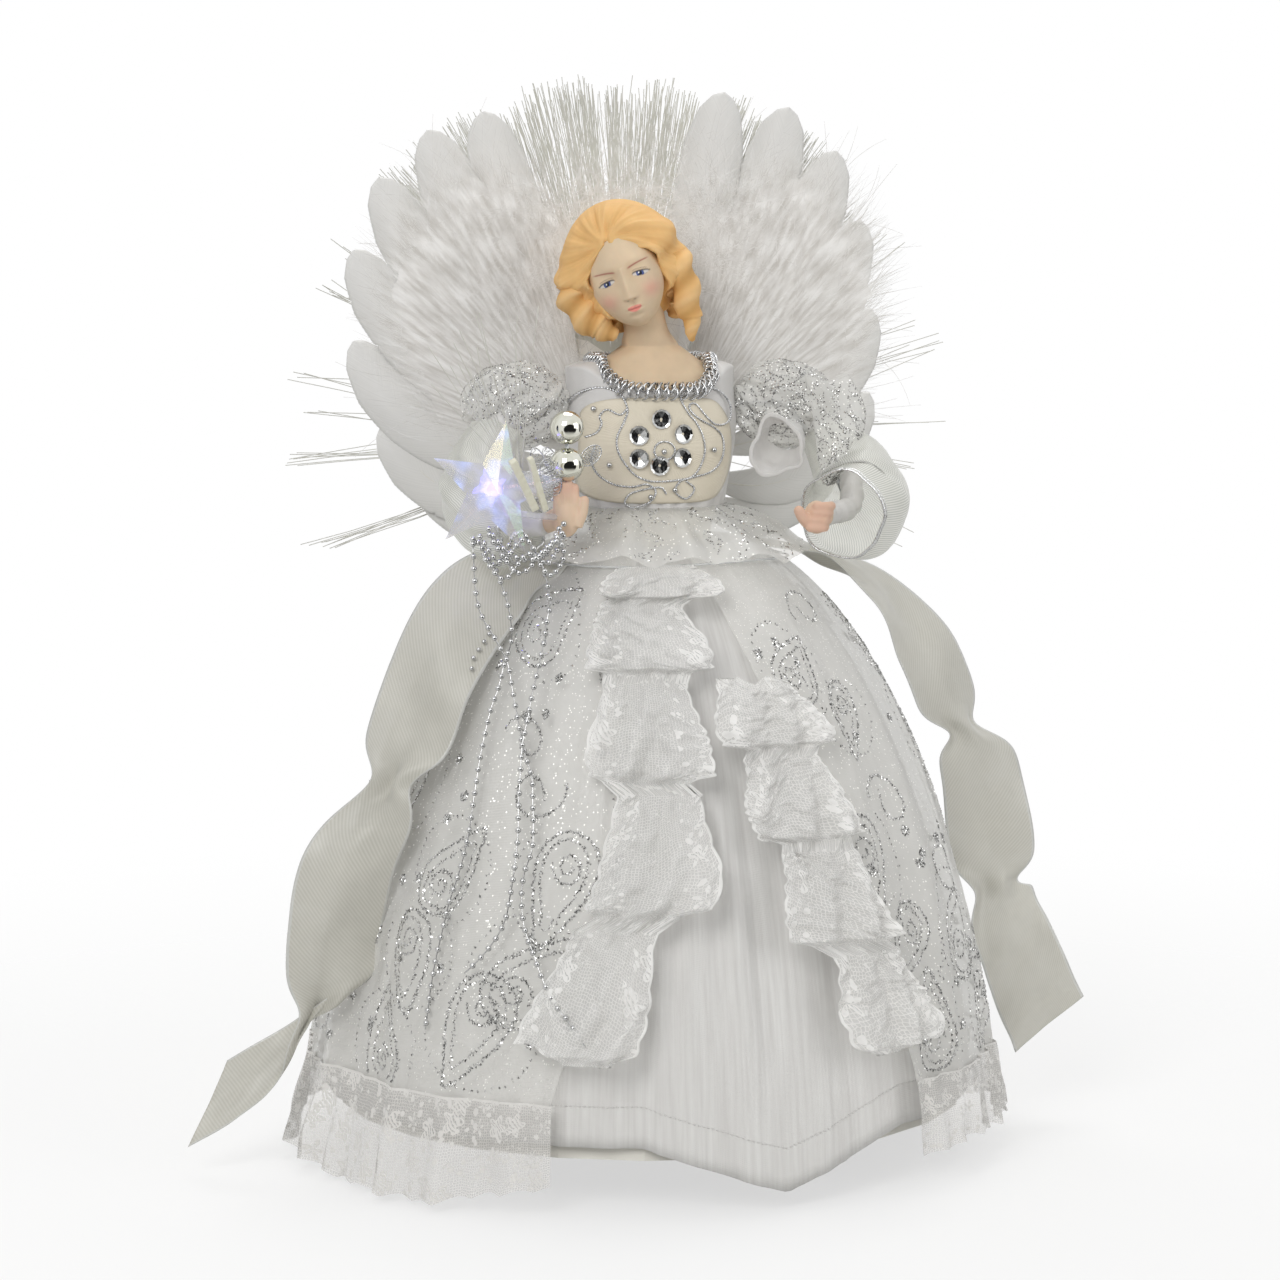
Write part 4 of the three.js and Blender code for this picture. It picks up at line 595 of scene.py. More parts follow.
def hair_point(turn, rise):
    """The moulded hair, by turn round from the front and rise from -90 to 90 degrees."""
    out = Vector((math.sin(turn) * math.cos(rise), -math.cos(turn) * math.cos(rise), math.sin(rise)))
    p = Vector((out.x * 22.4, 2 + out.y * 19.4, out.z * (25.0 if out.z > 0 else 21.0)))
    x, y, z = p
    # locks spring from the side part, over her right brow, and swing down both sides in soft waves
    away = math.hypot(x + 2, z - 11)
    flow = math.atan2(z - 11 + 0.018 * (x + 2) ** 2, x + 2)
    front = soft(4, -10, y)
    fall = max(0.0, 21 - z) + 0.25 * y
    drift = noise.noise(Vector((x * 0.07, y * 0.07, z * 0.05 + 4)))
    wave = math.sin(0.47 * fall + 2.6 * drift + (0.9 if x > 0 else -0.4))
    lift = 1.35 * wave * soft(7, 20, fall)
    ridge = math.sin(9 * flow + 0.22 * away + 1.5 * drift)
    lift += front * soft(2, 9, away) * (0.55 * ridge + 0.28 * math.sin(23 * flow + 0.3 * away + 2 * drift))
    band = math.sin(0.85 * y + 0.3 * z + 3 * drift + 0.8 * wave)
    lift += (1 - front) * soft(3, 14, fall) * 0.5 * band
    strands = math.sin(61 * flow + 0.9 * away) * front + math.sin(3.4 * y + z + 2 * wave) * (1 - front)
    lift += 0.09 * strands * soft(3, 9, away)
    # fuller over both temples and at her right ear, and a dip along the part
    lift += 1.6 * bulge(z, y, 6, -6, 7, 9) * soft(13, 20, abs(x)) + 1.9 * bulge(x, z, -22, 2, 5, 7) \
        + 1.5 * bulge(x, z, 23, -8, 4, 8)
    lift -= 1.0 * math.exp(-((x + 2 - 0.3 * (z - 11)) / 0.8) ** 2) * soft(9, 13, z) * soft(22, 16, z) * front
    p += out * lift
    window = in_window(x, z)
    lip = math.exp(-((window + 1.6) / 1.5) ** 2) * soft(-2, -10, y)
    p.y -= 1.1 * lip
    inside = soft(-0.7, 0.7, window) * soft(2, -4, y)
    p.y += inside * max(0.0, -7.5 - p.y)
    # shade follows the waves, locks and strands: low in their grooves, high on their crests, lowest where the hair
    # tucks in behind the face
    shade = 0.35 + 0.3 * wave * soft(7, 20, fall) + 0.3 * ridge * front * soft(2, 9, away) + 0.14 * strands \
        + 0.25 * band * (1 - front)
    return p, shade * soft(0.9, 0.2, inside) - 0.5 * inside


def ring_faces(columns, rows):
    """The faces between closed rings of points."""
    walls = []
    for j in range(rows - 1):
        for i in range(columns):
            a, b = j * columns + i, j * columns + (i + 1) % columns
            walls.append((a, b, b + columns, a + columns))
    return walls


doll_points, doll_colours, doll_faces = [], [], []


def add_shell(columns, rows, vertex_at):
    """Adds a closed shell of rings to the casting; vertex_at(i, j) gives a point and its colour."""
    start = len(doll_points)
    for j in range(rows):
        for i in range(columns):
            point, colour = vertex_at(i / columns, j / (rows - 1))
            doll_points.append(point)
            doll_colours.append(colour)
    doll_faces.extend(tuple(k + start for k in face) for face in ring_faces(columns, rows))
    for level, way in ((0, -1), (rows - 1, 1)):
        ring = [start + level * columns + i for i in range(columns)]
        doll_points.append(sum((doll_points[k] for k in ring), Vector()) / columns)
        doll_colours.append(doll_colours[ring[0]])
        middle = len(doll_points) - 1
        for i in range(columns):
            pair = (ring[i], ring[(i + 1) % columns])
            doll_faces.append((*pair, middle) if way > 0 else (*pair[::-1], middle))


def on_head(p):
    """A place given from the middle of the head, which is turned and tipped."""
    return head_place + head_turn @ p


def face_vertex(i, j):
    s = 2 * i - 1
    turn = math.pi * (0.42 * s + 0.58 * s ** 3)
    rise = math.pi * (j - 0.5) * 0.998
    x, y = 13.6 * math.sin(turn) * math.cos(rise), -8.5 - 13.6 * math.cos(turn) * math.cos(rise)
    z = -4 + 18.3 * math.sin(rise)
    front = soft(-8, -12, y)
    return on_head(face_point(x, y, z)), mixed(bisque_skin, face_paint(x, z), front)


def hair_vertex(i, j):
    p, shade = hair_point((i - 0.5) * 2 * math.pi, math.pi * (j - 0.5) * 0.998)
    # painted shade (deep) in the hair's grooves and a painted highlight (pale) on its crests
    colour = mixed(bisque_hair, paints["deep"], soft(0.35, -0.9, shade) * 0.75)
    return on_head(p), mixed(colour, paints["pale"], soft(0.5, 1.2, shade) * 0.6)


neck_foot, neck_top = Vector((0, 0, 303)), on_head(Vector((1.0, -3.0, -15.0)))


def bust_vertex(i, j):
    turn = (i - 0.5) * 2 * math.pi
    if j < 0.5:
        height = 286.5 + 17 * (j / 0.5)
        p = on_bust(turn, height, -0.3)
        bones = 0.7 * math.exp(-((abs(turn) - 0.75) / 0.4) ** 2) * math.exp(-((height - 300) / 2.0) ** 2)
        p += Vector((0, -bones, 0.3 * bones))
    else:
        share = (j - 0.5) / 0.5
        middle = neck_foot.lerp(neck_top, share)
        rounded = on_bust(turn, 303.5, -0.3)
        slim = Vector((8.2 * math.sin(turn), -8.4 * math.cos(turn), 0))
        ring = Vector((rounded.x, rounded.y, 0)).lerp(slim, soft(0, 0.45, share))
        p = middle + ring
    # painted shade: the neck is darker towards the chin
    return p, mixed(bisque_skin, paints["shade"], 0.18 * soft(0.6, 0.95, j))


# ringlets that hang on both sides, wound round like soft springs: path, radii and turns
ringlets = [
    ([(-20, -3, 1), (-20.5, -4, -6), (-18.5, -5, -13), (-14.5, -6, -19), (-11.5, -6.5, -24)],
     [6.2, 6.6, 6.3, 6.0, 4.6], 3.4),
    ([(-15, -1, -8), (-16.5, 0, -16), (-14.5, 0, -23)], [6.5, 5.6, 3.8], 2.6),
    ([(19, -2, -2), (19.4, -3, -10), (18.4, -3.5, -19), (16.6, -3.5, -28), (14.6, -4, -35)],
     [5.4, 5.6, 5.0, 4.2, 2.6], 3.0),
    ([(13, 6, -10), (14, 6, -19), (10, 5, -25)], [8.5, 7, 4], 2.4),
    ([(-10, 8, -10), (-9, 8, -18), (-6, 7, -24)], [8.5, 7, 4], 2.4),
]


def part_way(share, *lines):
    """The step that this share of lines of one length falls in, and each line's point there."""
    at = min(len(lines[0]) - 1.001, share * (len(lines[0]) - 1))
    k, part = int(at), at % 1
    return k, *(line[k].lerp(line[k + 1], part) for line in lines)


def ringlet_vertex(path, radii, turns):
    line, widths = curve_through(path, 12), curve_through([(r, 0, 0) for r in radii], 12)

    def vertex_at(i, j):
        k, here, wide = part_way(j, line, widths)
        wide = wide.x
        ahead = (line[k + 1] - line[k]).normalized()
        side = ahead.cross(Vector((0, 1, 0))).normalized()
        top = side.cross(ahead)
        turn = i * 2 * math.pi
        coil = math.sin(turn + turns * 2 * math.pi * j + 0.8 * noise.noise(here * 0.1))
        wide *= math.sin(math.pi * min(1.0, 0.08 + 0.92 * j) ** 0.55) ** 0.28 if j > 0.7 else 1
        wide *= 1 + 0.17 * coil + 0.03 * math.sin(3 * turn + turns * 8 * j)
        strand = math.sin(9 * (turn * 0.2 + j * turns * 2.2))
        p = here + (side * math.cos(turn) + top * math.sin(turn)) * (wide + 0.08 * strand)
        # painted shade where each coil narrows and a painted highlight where it swells
        colour = mixed(bisque_hair, paints["deep"], soft(0.2, -1.0, coil) * 0.55)
        return on_head(p), mixed(colour, paints["pale"], soft(0.2, 1.1, coil + 0.2 * strand) * 0.4)

    return vertex_at


add_shell(212, 208, face_vertex)
add_shell(210, 165, hair_vertex)
for path, radii, turns in ringlets:
    add_shell(36, 66, ringlet_vertex(path, radii, turns))
add_shell(64, 44, bust_vertex)

# Bisque: unglazed fired china, a matt eggshell skin with a little light under it, painted in thin colour
bisque = mottled("hand-painted bisque", "#DFC3A2", 0.62, 2600, 4.0, gloss=(0, 1, 0.52, 0.75), relief=(0.1, 0.0001),
                 Specular_IOR_Level=0.35, Subsurface_Weight=0.06, Subsurface_Scale=0.002)
tree = bisque.node_tree
painted = add_node(tree, "ShaderNodeVertexColor", layer_name="paint")
place = add_node(tree, "ShaderNodeTexCoord")
patchy = add_node(tree, "ShaderNodeTexNoise", {"Vector": place.outputs["Object"], "Scale": 120.0, "Detail": 3.0})
shift = add_node(tree, "ShaderNodeMapRange", {0: patchy, 1: 0.3, 2: 0.7, 3: 0.94, 4: 1.05})
tint = add_node(tree, "ShaderNodeVectorMath", {0: painted, 3: shift}, operation="SCALE")
feed(tree.nodes["Principled BSDF"], {"Base Color": tint})

half_doll = mesh_piece("half_doll_bisque", doll_points, doll_faces, bisque)
layer = half_doll.data.color_attributes.new("paint", "FLOAT_COLOR", "POINT")
layer.data.foreach_set("color", np.array(doll_colours, np.float32).ravel())
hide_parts("half_doll")
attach(half_doll, "figure")

# ---------------------------------------------------------------------------------------------
# Bodice: ivory-white polyester satin wrapped round the bust and glued behind, low in front.
# A panel of heavier ivory satin is laid over its middle as the ground for the beadwork.

waist_height, hem_radius, waist_radius = 236, 130, 22
bodice_out = 2.0


def neckline(turn):
    """The top edge of the satin: low in front, over the shoulders at the sides."""
    return 286.8 + 10.4 * soft(0.3, 1.15, abs(turn))


def woven_cloth(name, colour, shade, thread, roughness, sheen=0.0, alpha=1.0, strength=0.35):
    """A woven cloth on its UV map in millimetres; thread is the spacing that shows."""
    made, tree, shader = new_material(name, colour, roughness, Sheen_Weight=sheen, Sheen_Roughness=0.35, Alpha=alpha)
    cloth = add_node(tree, "ShaderNodeUVMap", uv_map="UVMap")
    # a wave of scale 0.31 repeats every millimetre
    warp, weft = (add_node(tree, "ShaderNodeTexWave", {"Vector": cloth, "Scale": 0.31 / thread, "Distortion": 0.8,
                                                       "Detail": 2.0}, bands_direction=way) for way in "XY")
    weave = add_node(tree, "ShaderNodeMath", {0: warp.outputs["Fac"], 1: weft.outputs["Fac"]}, operation="ADD")
    slub = add_node(tree, "ShaderNodeTexNoise", {"Vector": cloth, "Scale": 0.12, "Detail": 5.0})
    tint = add_node(tree, "ShaderNodeMix", {0: slub, 6: hex_colour(shade), 7: hex_colour(colour)}, data_type="RGBA")
    bump = add_node(tree, "ShaderNodeBump", {"Height": weave, "Strength": strength, "Distance": 0.0001})
    feed(shader, {"Base Color": tint, "Normal": bump})
    return made, tree, shader


# Duchesse satin: long floats give a broad, soft gloss; its 0.15 mm threads are drawn at 0.5 mm to show
satin = woven_cloth("duchesse satin, ivory white", "#E2E0DE", "#D3D1CD", 0.5, 0.34, sheen=0.3)[0]


def bodice_point(i, j):
    turn = (i - 0.5) * 2 * math.pi
    top = neckline(turn)
    inner = on_bust(turn, top, 0.5)
    outer = on_bust(turn, min(284.0, top), 1.6)
    outer.z = top - 1.6
    if j < 0.14:
        share = j / 0.14
        p = inner.lerp(outer, share)
        p.z += 1.1 * math.sin(share * math.pi)
        return p
    height = outer.z + (243.0 - outer.z) * (j - 0.14) / 0.86
    pucker = 0.5 * math.sin(22 * turn + 2 * math.sin(5 * turn)) * soft(0.72, 1.0, j)
    drape = 0.5 * math.sin(3 * turn + 6 * j) * soft(0, 0.4, abs(math.sin(turn / 2)) - 0.3) * (1 - j)
    p = on_bust(turn, min(height, 284.0), 1.45 + pucker + max(-0.2, drape))
    p.z = height
    return p


bodice = shaped_grid("bodice_satin", 220, 70, bodice_point, satin, wrapped=True, size=(190, 56))
with_thickness(bodice, 0.35)
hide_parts("bodice")
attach(bodice, "figure")

# Its front is faced with deeper ivory satin, turned under along an edge that follows the beadwork
ivory_satin = woven_cloth("heavy satin, deep ivory", "#E7DECB", "#DBD2BD", 0.5, 0.38, sheen=0.2)[0]
flower_x, flower_z = -1.5, 267


def on_front(across, up, out):
    """A place on the bust by millimetres across and up from the beadwork's middle."""
    height = flower_z + up
    wide = on_bust(math.pi / 2, height, 0).x
    turn = math.asin(max(-0.985, min(0.985, (flower_x + across) / wide)))
    return on_bust(turn, height, out)


def panel_point(i, j):
    angle, share = i * 2 * math.pi, 1 - j
    across = 27.5 * math.copysign(abs(math.sin(angle)) ** 0.55, math.sin(angle)) * (1 + 0.03 * math.sin(5 * angle))
    up = -2.2 + 20.5 * math.copysign(abs(math.cos(angle)) ** 0.62, math.cos(angle)) - 0.9 * math.cos(3 * angle)
    return on_front(across * share, min(up, 17.6 + 0.011 * across ** 2) * share,
                    bodice_out - 0.1 + 0.5 * soft(1.0, 0.9, share))


panel = shaped_grid("beadwork_panel", 120, 26, panel_point, ivory_satin, wrapped=True, size=(54, 40))
with_thickness(panel, 0.2, 1.0)
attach(panel, "figure")

# ---------------------------------------------------------------------------------------------
# Collar: silver bullion, a crimped metal-foil wire coiled into open curls. Three lengths are laid over
# each other along the neckline and sewn down.

# Silver-gilt foil wound on thread: bright, with broken highlights from the winding
bullion = mottled("silver foil wound on thread", "#CFD0D2", 0.22, 1500, tints=("#A4A6A9", "#F0F0EF"),
                  gloss=(0.3, 0.7, 0.12, 0.42), relief=(0.6, 0.0002), Metallic=1.0)


def gimp_line(curls, radius, lag, rise):
    """One wire's uneven curls round the neckline, open at the back."""
    line = []
    for k in range(curls * 14 + 1):
        share = k / (curls * 14)
        turn = math.radians(-168 + 336 * share)
        uneven = 1 + 0.32 * noise.noise(Vector((30 * share, lag, 0)))
        roll = share * curls * 2 * math.pi + lag + 1.2 * noise.noise(Vector((22 * share, 0, lag)))
        middle = on_bust(turn, neckline(turn), 1.2 + radius * 0.8)
        out = Vector((math.sin(turn), -math.cos(turn), 0)) * radius * uneven * math.cos(roll)
        slip = Vector((math.cos(turn), math.sin(turn), 0)) * 0.9 * math.sin(2 * roll + lag)
        line.append(middle + out + slip * 0.6 + Vector((0, 0, radius * uneven * math.sin(roll) + rise)))
    return line


collar = mesh_piece("collar_bullion", *merged(tube_along(gimp_line(62, 2.3, 0, 0.6), 0.46, 5),
                                              tube_along(gimp_line(53, 2.5, 2.0, -0.9), 0.42, 5),
                                              tube_along(gimp_line(70, 1.7, 4.1, 1.6), 0.36, 5)), bullion)
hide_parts("collar_gimp")
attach(collar, "figure")

# ---------------------------------------------------------------------------------------------
# Beadwork: two-ply silver cord couched in scrolls round a flower of six cup sequins, with a few
# silver beads. Places are millimetres across and up from the middle of the flower.

scroll_lines = [
    [(-33, 14), (-29, 21), (-21.3, 24.2), (-14.9, 21.8), (-12.2, 15.4), (-13.3, 10.6), (-16, 3.7), (-15.9, -2),
     (-13.8, -6.9), (-10, -12.2), (-5.3, -14.9), (0, -15.4), (6.4, -14.9), (11.7, -13.8), (14.9, -10.1), (17, -3.7),
     (16.5, 2.7), (13.8, 9), (10.6, 13.3), (8, 20), (12.8, 24), (20.2, 23.7), (26, 20.7), (29.3, 15.4), (28.7, 10.1),
     (25.5, 8), (21.3, 8.5), (17.6, 12.2), (13.8, 17), (11.2, 16.5), (12.2, 13.3), (16, 10.1), (21.3, 6.9), (25, 2.7),
     (25.5, -3.7), (23.4, -9), (19.2, -12.2), (12.8, -13.8), (7.4, -15.4), (5.3, -19.7), (9.6, -23), (13, -19),
     (9.6, -15.4)],
    [(-12.2, 15.4), (-14.9, 12.8), (-19.2, 14.9), (-21.8, 12.2), (-21.3, 9), (-22.9, 5.3), (-26.6, 3.2)],
    [(-23.4, 0), (-24.5, -5.9), (-22.3, -12.2), (-17, -16.5), (-10.6, -17.6), (-5.3, -16.5), (-2, -19.5),
     (-4, -24), (-9.5, -26.5), (-12.8, -24.5), (-11, -20.5), (-5.3, -18.5), (0, -18), (2, -20.8)],
]
ring = [(1.0 + 3.9 * math.sin(k / 20 * 2 * math.pi), -2.4 + 3.9 * math.cos(k / 20 * 2 * math.pi)) for k in range(21)]
cords = []
for flat in scroll_lines + [ring]:
    line = curve_through([Vector((a * 0.92, b * 0.88, 0)) for a, b in flat], 8)
    line = spaced(line, 0.34)[0]
    for ply in (0, math.pi):
        strand = []
        for k, p in enumerate(line):
            roll = k * 0.34 / 1.9 * 2 * math.pi + ply
            ahead = (line[min(k + 1, len(line) - 1)] - line[max(k - 1, 0)]).normalized()
            aside = Vector((-ahead.y, ahead.x, 0)) * 0.24 * math.cos(roll)
            strand.append(on_front(p.x + aside.x, p.y + aside.y, bodice_out + 0.85 + 0.24 * math.sin(roll)))
        cords.append(tube_along(strand, 0.25, 5))
scrolls = mesh_piece("beadwork_cord", *merged(*cords), bullion)
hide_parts("scroll_cord")
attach(scrolls, "figure")


def facing_out(across, up, out, spin=0.0):
    """A place on the bodice's front, its Z pointing out of the cloth."""
    here = on_front(across, up, out)
    normal = (on_front(across, up, out + 1) - here).normalized()
    turned = normal.to_track_quat("Z", "Y").to_matrix().to_4x4()
    turned.translation = here
    return turned @ Matrix.Rotation(spin, 4, "Z")


# A cup sequin is punched from silvered film and pressed into a facetted dish with a hole
bpy.ops.mesh.primitive_circle_add(vertices=12, radius=3.75 * mm, fill_type="NGON")
bpy.ops.object.mode_set(mode="EDIT")
bpy.ops.mesh.select_all(action="SELECT")
bpy.ops.mesh.inset(thickness=0.75 * mm, depth=-0.45 * mm)
bpy.ops.mesh.inset(thickness=2.35 * mm, depth=-0.5 * mm)
bpy.ops.mesh.delete(type="FACE")
bpy.ops.object.mode_set(mode="OBJECT")
with_thickness(bpy.context.object, 0.12, 1.0)
sequin_shape = shape_of(bpy.context.object)
sequin_spots = [(0, 9.6), (7.6, 4.0), (7.0, -4.8), (-0.7, -7.6), (-7.6, -5.0), (-7.6, 3.6)]
sequins = mesh_piece("cup_sequins", *copies(sequin_shape, [facing_out(a, b, bodice_out + 1.5, k)
                                                           for k, (a, b) in enumerate(sequin_spots)]),
                     silvered, smooth=False)
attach(sequins, "figure")

bead_spots = [(-21.5, 13.4), (15.8, 18.6), (18.8, -2.2), (4.6, -16.8), (-3.5, -19.3), (-16.8, -7.4), (0.6, -2.4)]
beads = copies(bead_shape, [facing_out(a, b, bodice_out + 1.6) for a, b in bead_spots])
beads = mesh_piece("beadwork_beads", *beads, silvered)
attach(beads, "figure")

# ---------------------------------------------------------------------------------------------
# Underskirt: shiny white organza over the bell, gathered at the waist, with a stitched hem that
# comes to a corner in front.


def bell_radius(height, offset):
    """The gown's radius at a height, for a layer that lies that far off the bell."""
    share = min(1.0, max(0.0, height / (waist_height + offset)))
    return waist_radius + offset + (hem_radius - waist_radius) * math.sqrt(1 - share ** 1.7)


def on_dress(turn, height, offset, lift=0.0):
    radius = bell_radius(height, offset) + lift
    return Vector((radius * math.sin(turn), -radius * math.cos(turn), height))


def drop_height(top, low, drop):
    """The height at a share of the way down the cloth, which turns from level to upright."""
    return low + (top - low) * math.cos(drop * math.pi / 2)


# Crystal organza: fine bright yarns; 0.2 mm threads drawn at 0.6 mm; vertical creases from the gathers, as streaks of
# painted shade and painted sheen in its colour, and of gloss
shiny_organza, tree, shader = woven_cloth("crystal organza over lining", "#DAD9D6", "#CFCDCA", 0.6, 0.3, sheen=0.45,
                                          strength=0.25)
cloth = add_node(tree, "ShaderNodeUVMap", uv_map="UVMap")
drawn = add_node(tree, "ShaderNodeMapping", {"Vector": cloth, "Scale": (0.55, 0.028, 1.0)})
shade_and_gloss_streaks = add_node(tree, "ShaderNodeTexNoise", {"Vector": drawn, "Scale": 1.0, "Detail": 4.0})
shade_and_gloss_streaks = add_node(tree, "ShaderNodeMapRange", {0: shade_and_gloss_streaks, 1: 0.32, 2: 0.68, 3: 0.0, 4: 1.0})
# the colour's streaks are painted crease shade and painted sheen
tint = add_node(tree, "ShaderNodeMix", {0: shade_and_gloss_streaks, 6: "#D0CECB", 7: "#DDDCD9"}, data_type="RGBA")
gloss = add_node(tree, "ShaderNodeMapRange", {0: shade_and_gloss_streaks, 3: 0.5, 4: 0.28})
feed(shader, {"Base Color": tint, "Roughness": gloss})


def underskirt_point(i, j):
    turn = (i - 0.5) * 2 * math.pi
    corner = min(1.0, abs(turn - math.radians(9)) / math.radians(24))
    low = 7.5 + 17.5 * corner
    height = drop_height(waist_height - 7.2, low, j)
    if j == 0:
        return on_bust(turn, height, 0.5)
    fold = 1.2 * math.cos(8 * turn) + 0.7 * math.sin(21 * turn + 3 * math.sin(4 * turn)) + 0.35 * math.sin(47 * turn)
    crease = 1.0 * noise.noise(Vector((7 * turn, 2.6 * j, 0)))
    # in the open front it stands in soft pleats that fan out from the waist
    open_front = math.exp(-((turn - 0.12) / 0.42) ** 2)
    pleat = open_front * (2.6 * (1 - abs(math.sin(11 * turn + 0.8 * math.sin(5 * j)))) ** 2
                          + 1.1 * noise.noise(Vector((19 * turn, 3.1 * j, 5))))
    return on_dress(turn, height, -6, (fold + crease + pleat) * min(1.0, 1.6 * j))


underskirt = shaped_grid("underskirt_organza", 300, 60, underskirt_point, shiny_organza, wrapped=True, size=(780, 300))
with_thickness(underskirt, 0.5)
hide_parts("underskirt")
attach(underskirt, "figure")

# Its hem is turned up 7 mm and held by a running stitch
hem_stitches = []
for k in range(150):
    i = 0.5 + (k - 75) / 150 * 0.33
    a, b = (Vector(underskirt_point(i + step, 0.955)) for step in (0, 0.0011))
    out = Vector((a.x, a.y, 0)).normalized() * 0.35
    hem_stitches.append(tube_along([a + out * 0.4, a.lerp(b, 0.5) + out, b + out * 0.4], 0.16, 4))
hem_thread = mesh_piece("underskirt_stitching", *merged(*hem_stitches), shiny_organza,
                        uv=[(0, 0)] * sum(len(s[0]) for s in hem_stitches))
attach(hem_thread, "figure")

# ---------------------------------------------------------------------------------------------
# Overskirt: sheer organza printed with silver glitter paisleys, open in front and gathered at the
# waist. The glitter is grains of silvered film on lines of glue.

# the opening's edges in degrees from the front, from the waist to the hem
right_edge = [-18, -20, -20, -17, -16, -18, -24, -30]
left_edge = [2, 4, 8, 13, 18, 23, 27, 34]
over_top, over_foot = waist_height - 4.6, 40


def listed(values, share):
    """A value part-way along an even list."""
    return float(np.interp(share * (len(values) - 1), range(len(values)), values))


def over_fold(turn):
    """The broad folds of the overskirt, from 0 to 1."""
    return 0.5 + 0.3 * math.cos(13 * turn + 0.6 * math.sin(3 * turn)) + 0.2 * math.cos(9 * turn + 1)


def gathers(turn, drop):
    """How far the gathered overskirt stands off, in millimetres: folds that branch and crumple as they fall."""
    folds = math.sin(13 * turn + 1.7 * math.sin(3 * turn) + 0.9 * drop)
    finer = math.sin(29 * turn + 2.4 * math.sin(5 * turn) - 1.6 * drop)
    crumple = noise.noise(Vector((9 * turn, 4.2 * drop, 3))) + 0.6 * noise.noise(Vector((24 * turn, 11 * drop, 8)))
    return 1.5 + 1.3 * (1 - abs(folds)) ** 1.4 * 1.5 + 0.6 * finer + 1.5 * crumple


def over_drop(height):
    """The share of the way down the overskirt's cloth at a height."""
    return math.acos(max(-1.0, min(1.0, (height - over_foot) / (over_top - over_foot)))) * 2 / math.pi


def overskirt_at(turn, height):
    """A point of the overskirt by its turn in radians and its height."""
    drop = over_drop(height)
    swing = math.sin(drop * math.pi / 2)
    return on_dress(turn, height, -2, (4 * over_fold(turn) + gathers(turn, drop) * (0.35 + 0.65 * drop)) * swing)


def overskirt_point(i, j):
    height = drop_height(over_top, over_foot, j)
    low, high = listed(left_edge, j), 360 + listed(right_edge, j)
    turn = math.radians(low + (high - low) * i)
    return on_bust(turn, height, 0.9) if j == 0 else overskirt_at(turn, height)


# Sheer organza with glitter dust: clear enough to show the lining, sparkling where dust lies
sheer_glitter, tree, shader = woven_cloth("sheer organza with silver glitter dust", "#E9E8E4", "#DBDAD5", 0.55, 0.36,
                                          sheen=0.35, alpha=0.55)
cloth = add_node(tree, "ShaderNodeUVMap", uv_map="UVMap")
dust = add_node(tree, "ShaderNodeTexVoronoi", {"Vector": cloth, "Scale": 1.1, "Randomness": 1.0})
speck = add_node(tree, "ShaderNodeMath", {0: dust.outputs["Color"], 1: 0.76}, operation="GREATER_THAN")
small = add_node(tree, "ShaderNodeMath", {0: dust, 1: 0.34}, operation="LESS_THAN")
speck = add_node(tree, "ShaderNodeMath", {0: speck, 1: small}, operation="MULTIPLY")
see = add_node(tree, "ShaderNodeMapRange", {0: speck, 3: 0.6, 4: 1.0})
feed(shader, {"Metallic": speck, "Alpha": see})

overskirt = shaped_grid("overskirt_organza", 460, 90, overskirt_point, sheer_glitter, size=(740, 270))
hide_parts("overskirt")
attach(overskirt, "figure")
overskirt.visible_shadow = False

# One grain of glitter: a tiny facetted chip
bpy.ops.mesh.primitive_cone_add(vertices=3, radius1=0.6 * mm, radius2=0, depth=0.26 * mm)
grain_shape = shape_of(bpy.context.object)
glitter, tree, shader = new_material("silvered film glitter", "#C9CBCF", 0.16, Metallic=1.0)
place = add_node(tree, "ShaderNodeTexCoord")
chips = add_node(tree, "ShaderNodeTexVoronoi", {"Vector": place.outputs["Object"], "Scale": 1600.0})
tint = add_node(tree, "ShaderNodeMix", {0: chips.outputs["Color"], 6: "#5C5C5A", 7: "#EDEDEB"}, data_type="RGBA")
feed(shader, {"Base Color": tint})


def paisley(size):
    """Lines of one paisley about its middle, each with the step between its grains: a bent drop, a line
    inside it, a scroll and a row of dots."""
    outline, inner, scroll, dots = [], [], [], []
    for k in range(61):
        a = k / 60 * 2 * math.pi
        bend = 0.55 * (1 - math.cos(a)) ** 2 / 4
        x = math.sin(a) * (0.42 + 0.2 * math.cos(a)) * (1 - bend * 0.6) + 0.5 * bend
        y = 0.75 * -math.cos(a)
        outline.append(Vector((x, y, 0)) * size)
        inner.append(Vector((x * 0.72 + 0.03, y * 0.76 - 0.08, 0)) * size)
    for k in range(26):
        a, r = k / 25 * 3.2 * math.pi, 0.24 * (1 - k / 30)
        scroll.append(Vector((r * math.cos(a), -0.32 + r * math.sin(a), 0)) * size)
    for k in range(15):
        a = (k / 14 * 1.5 + 0.25) * math.pi
        dots.append(Vector((0.78 * math.sin(a), -0.1 - 0.82 * math.cos(a), 0)) * size)
    return [(outline, 0.62), (inner, 1.0), (scroll, 0.75), (dots, 2.6)]


def tendril(size):
    """A curl that runs out to one side."""
    line = []
    for k in range(32):
        a, r = k / 31 * 2.6 * math.pi, 0.5 * (1 - k / 40)
        line.append(Vector((r * math.cos(a) + 0.9 * k / 31, r * math.sin(a), 0)) * size)
    return [(line, 0.7)]


def rosette(size):
    """Two rings of six grains."""
    return [([Vector((math.cos(k / 6 * 2 * math.pi) * r, math.sin(k / 6 * 2 * math.pi) * r, 0)) * size
              for k in range(7)], 0.5) for r in (0.35, 0.9)]


glue_spread = 0.33


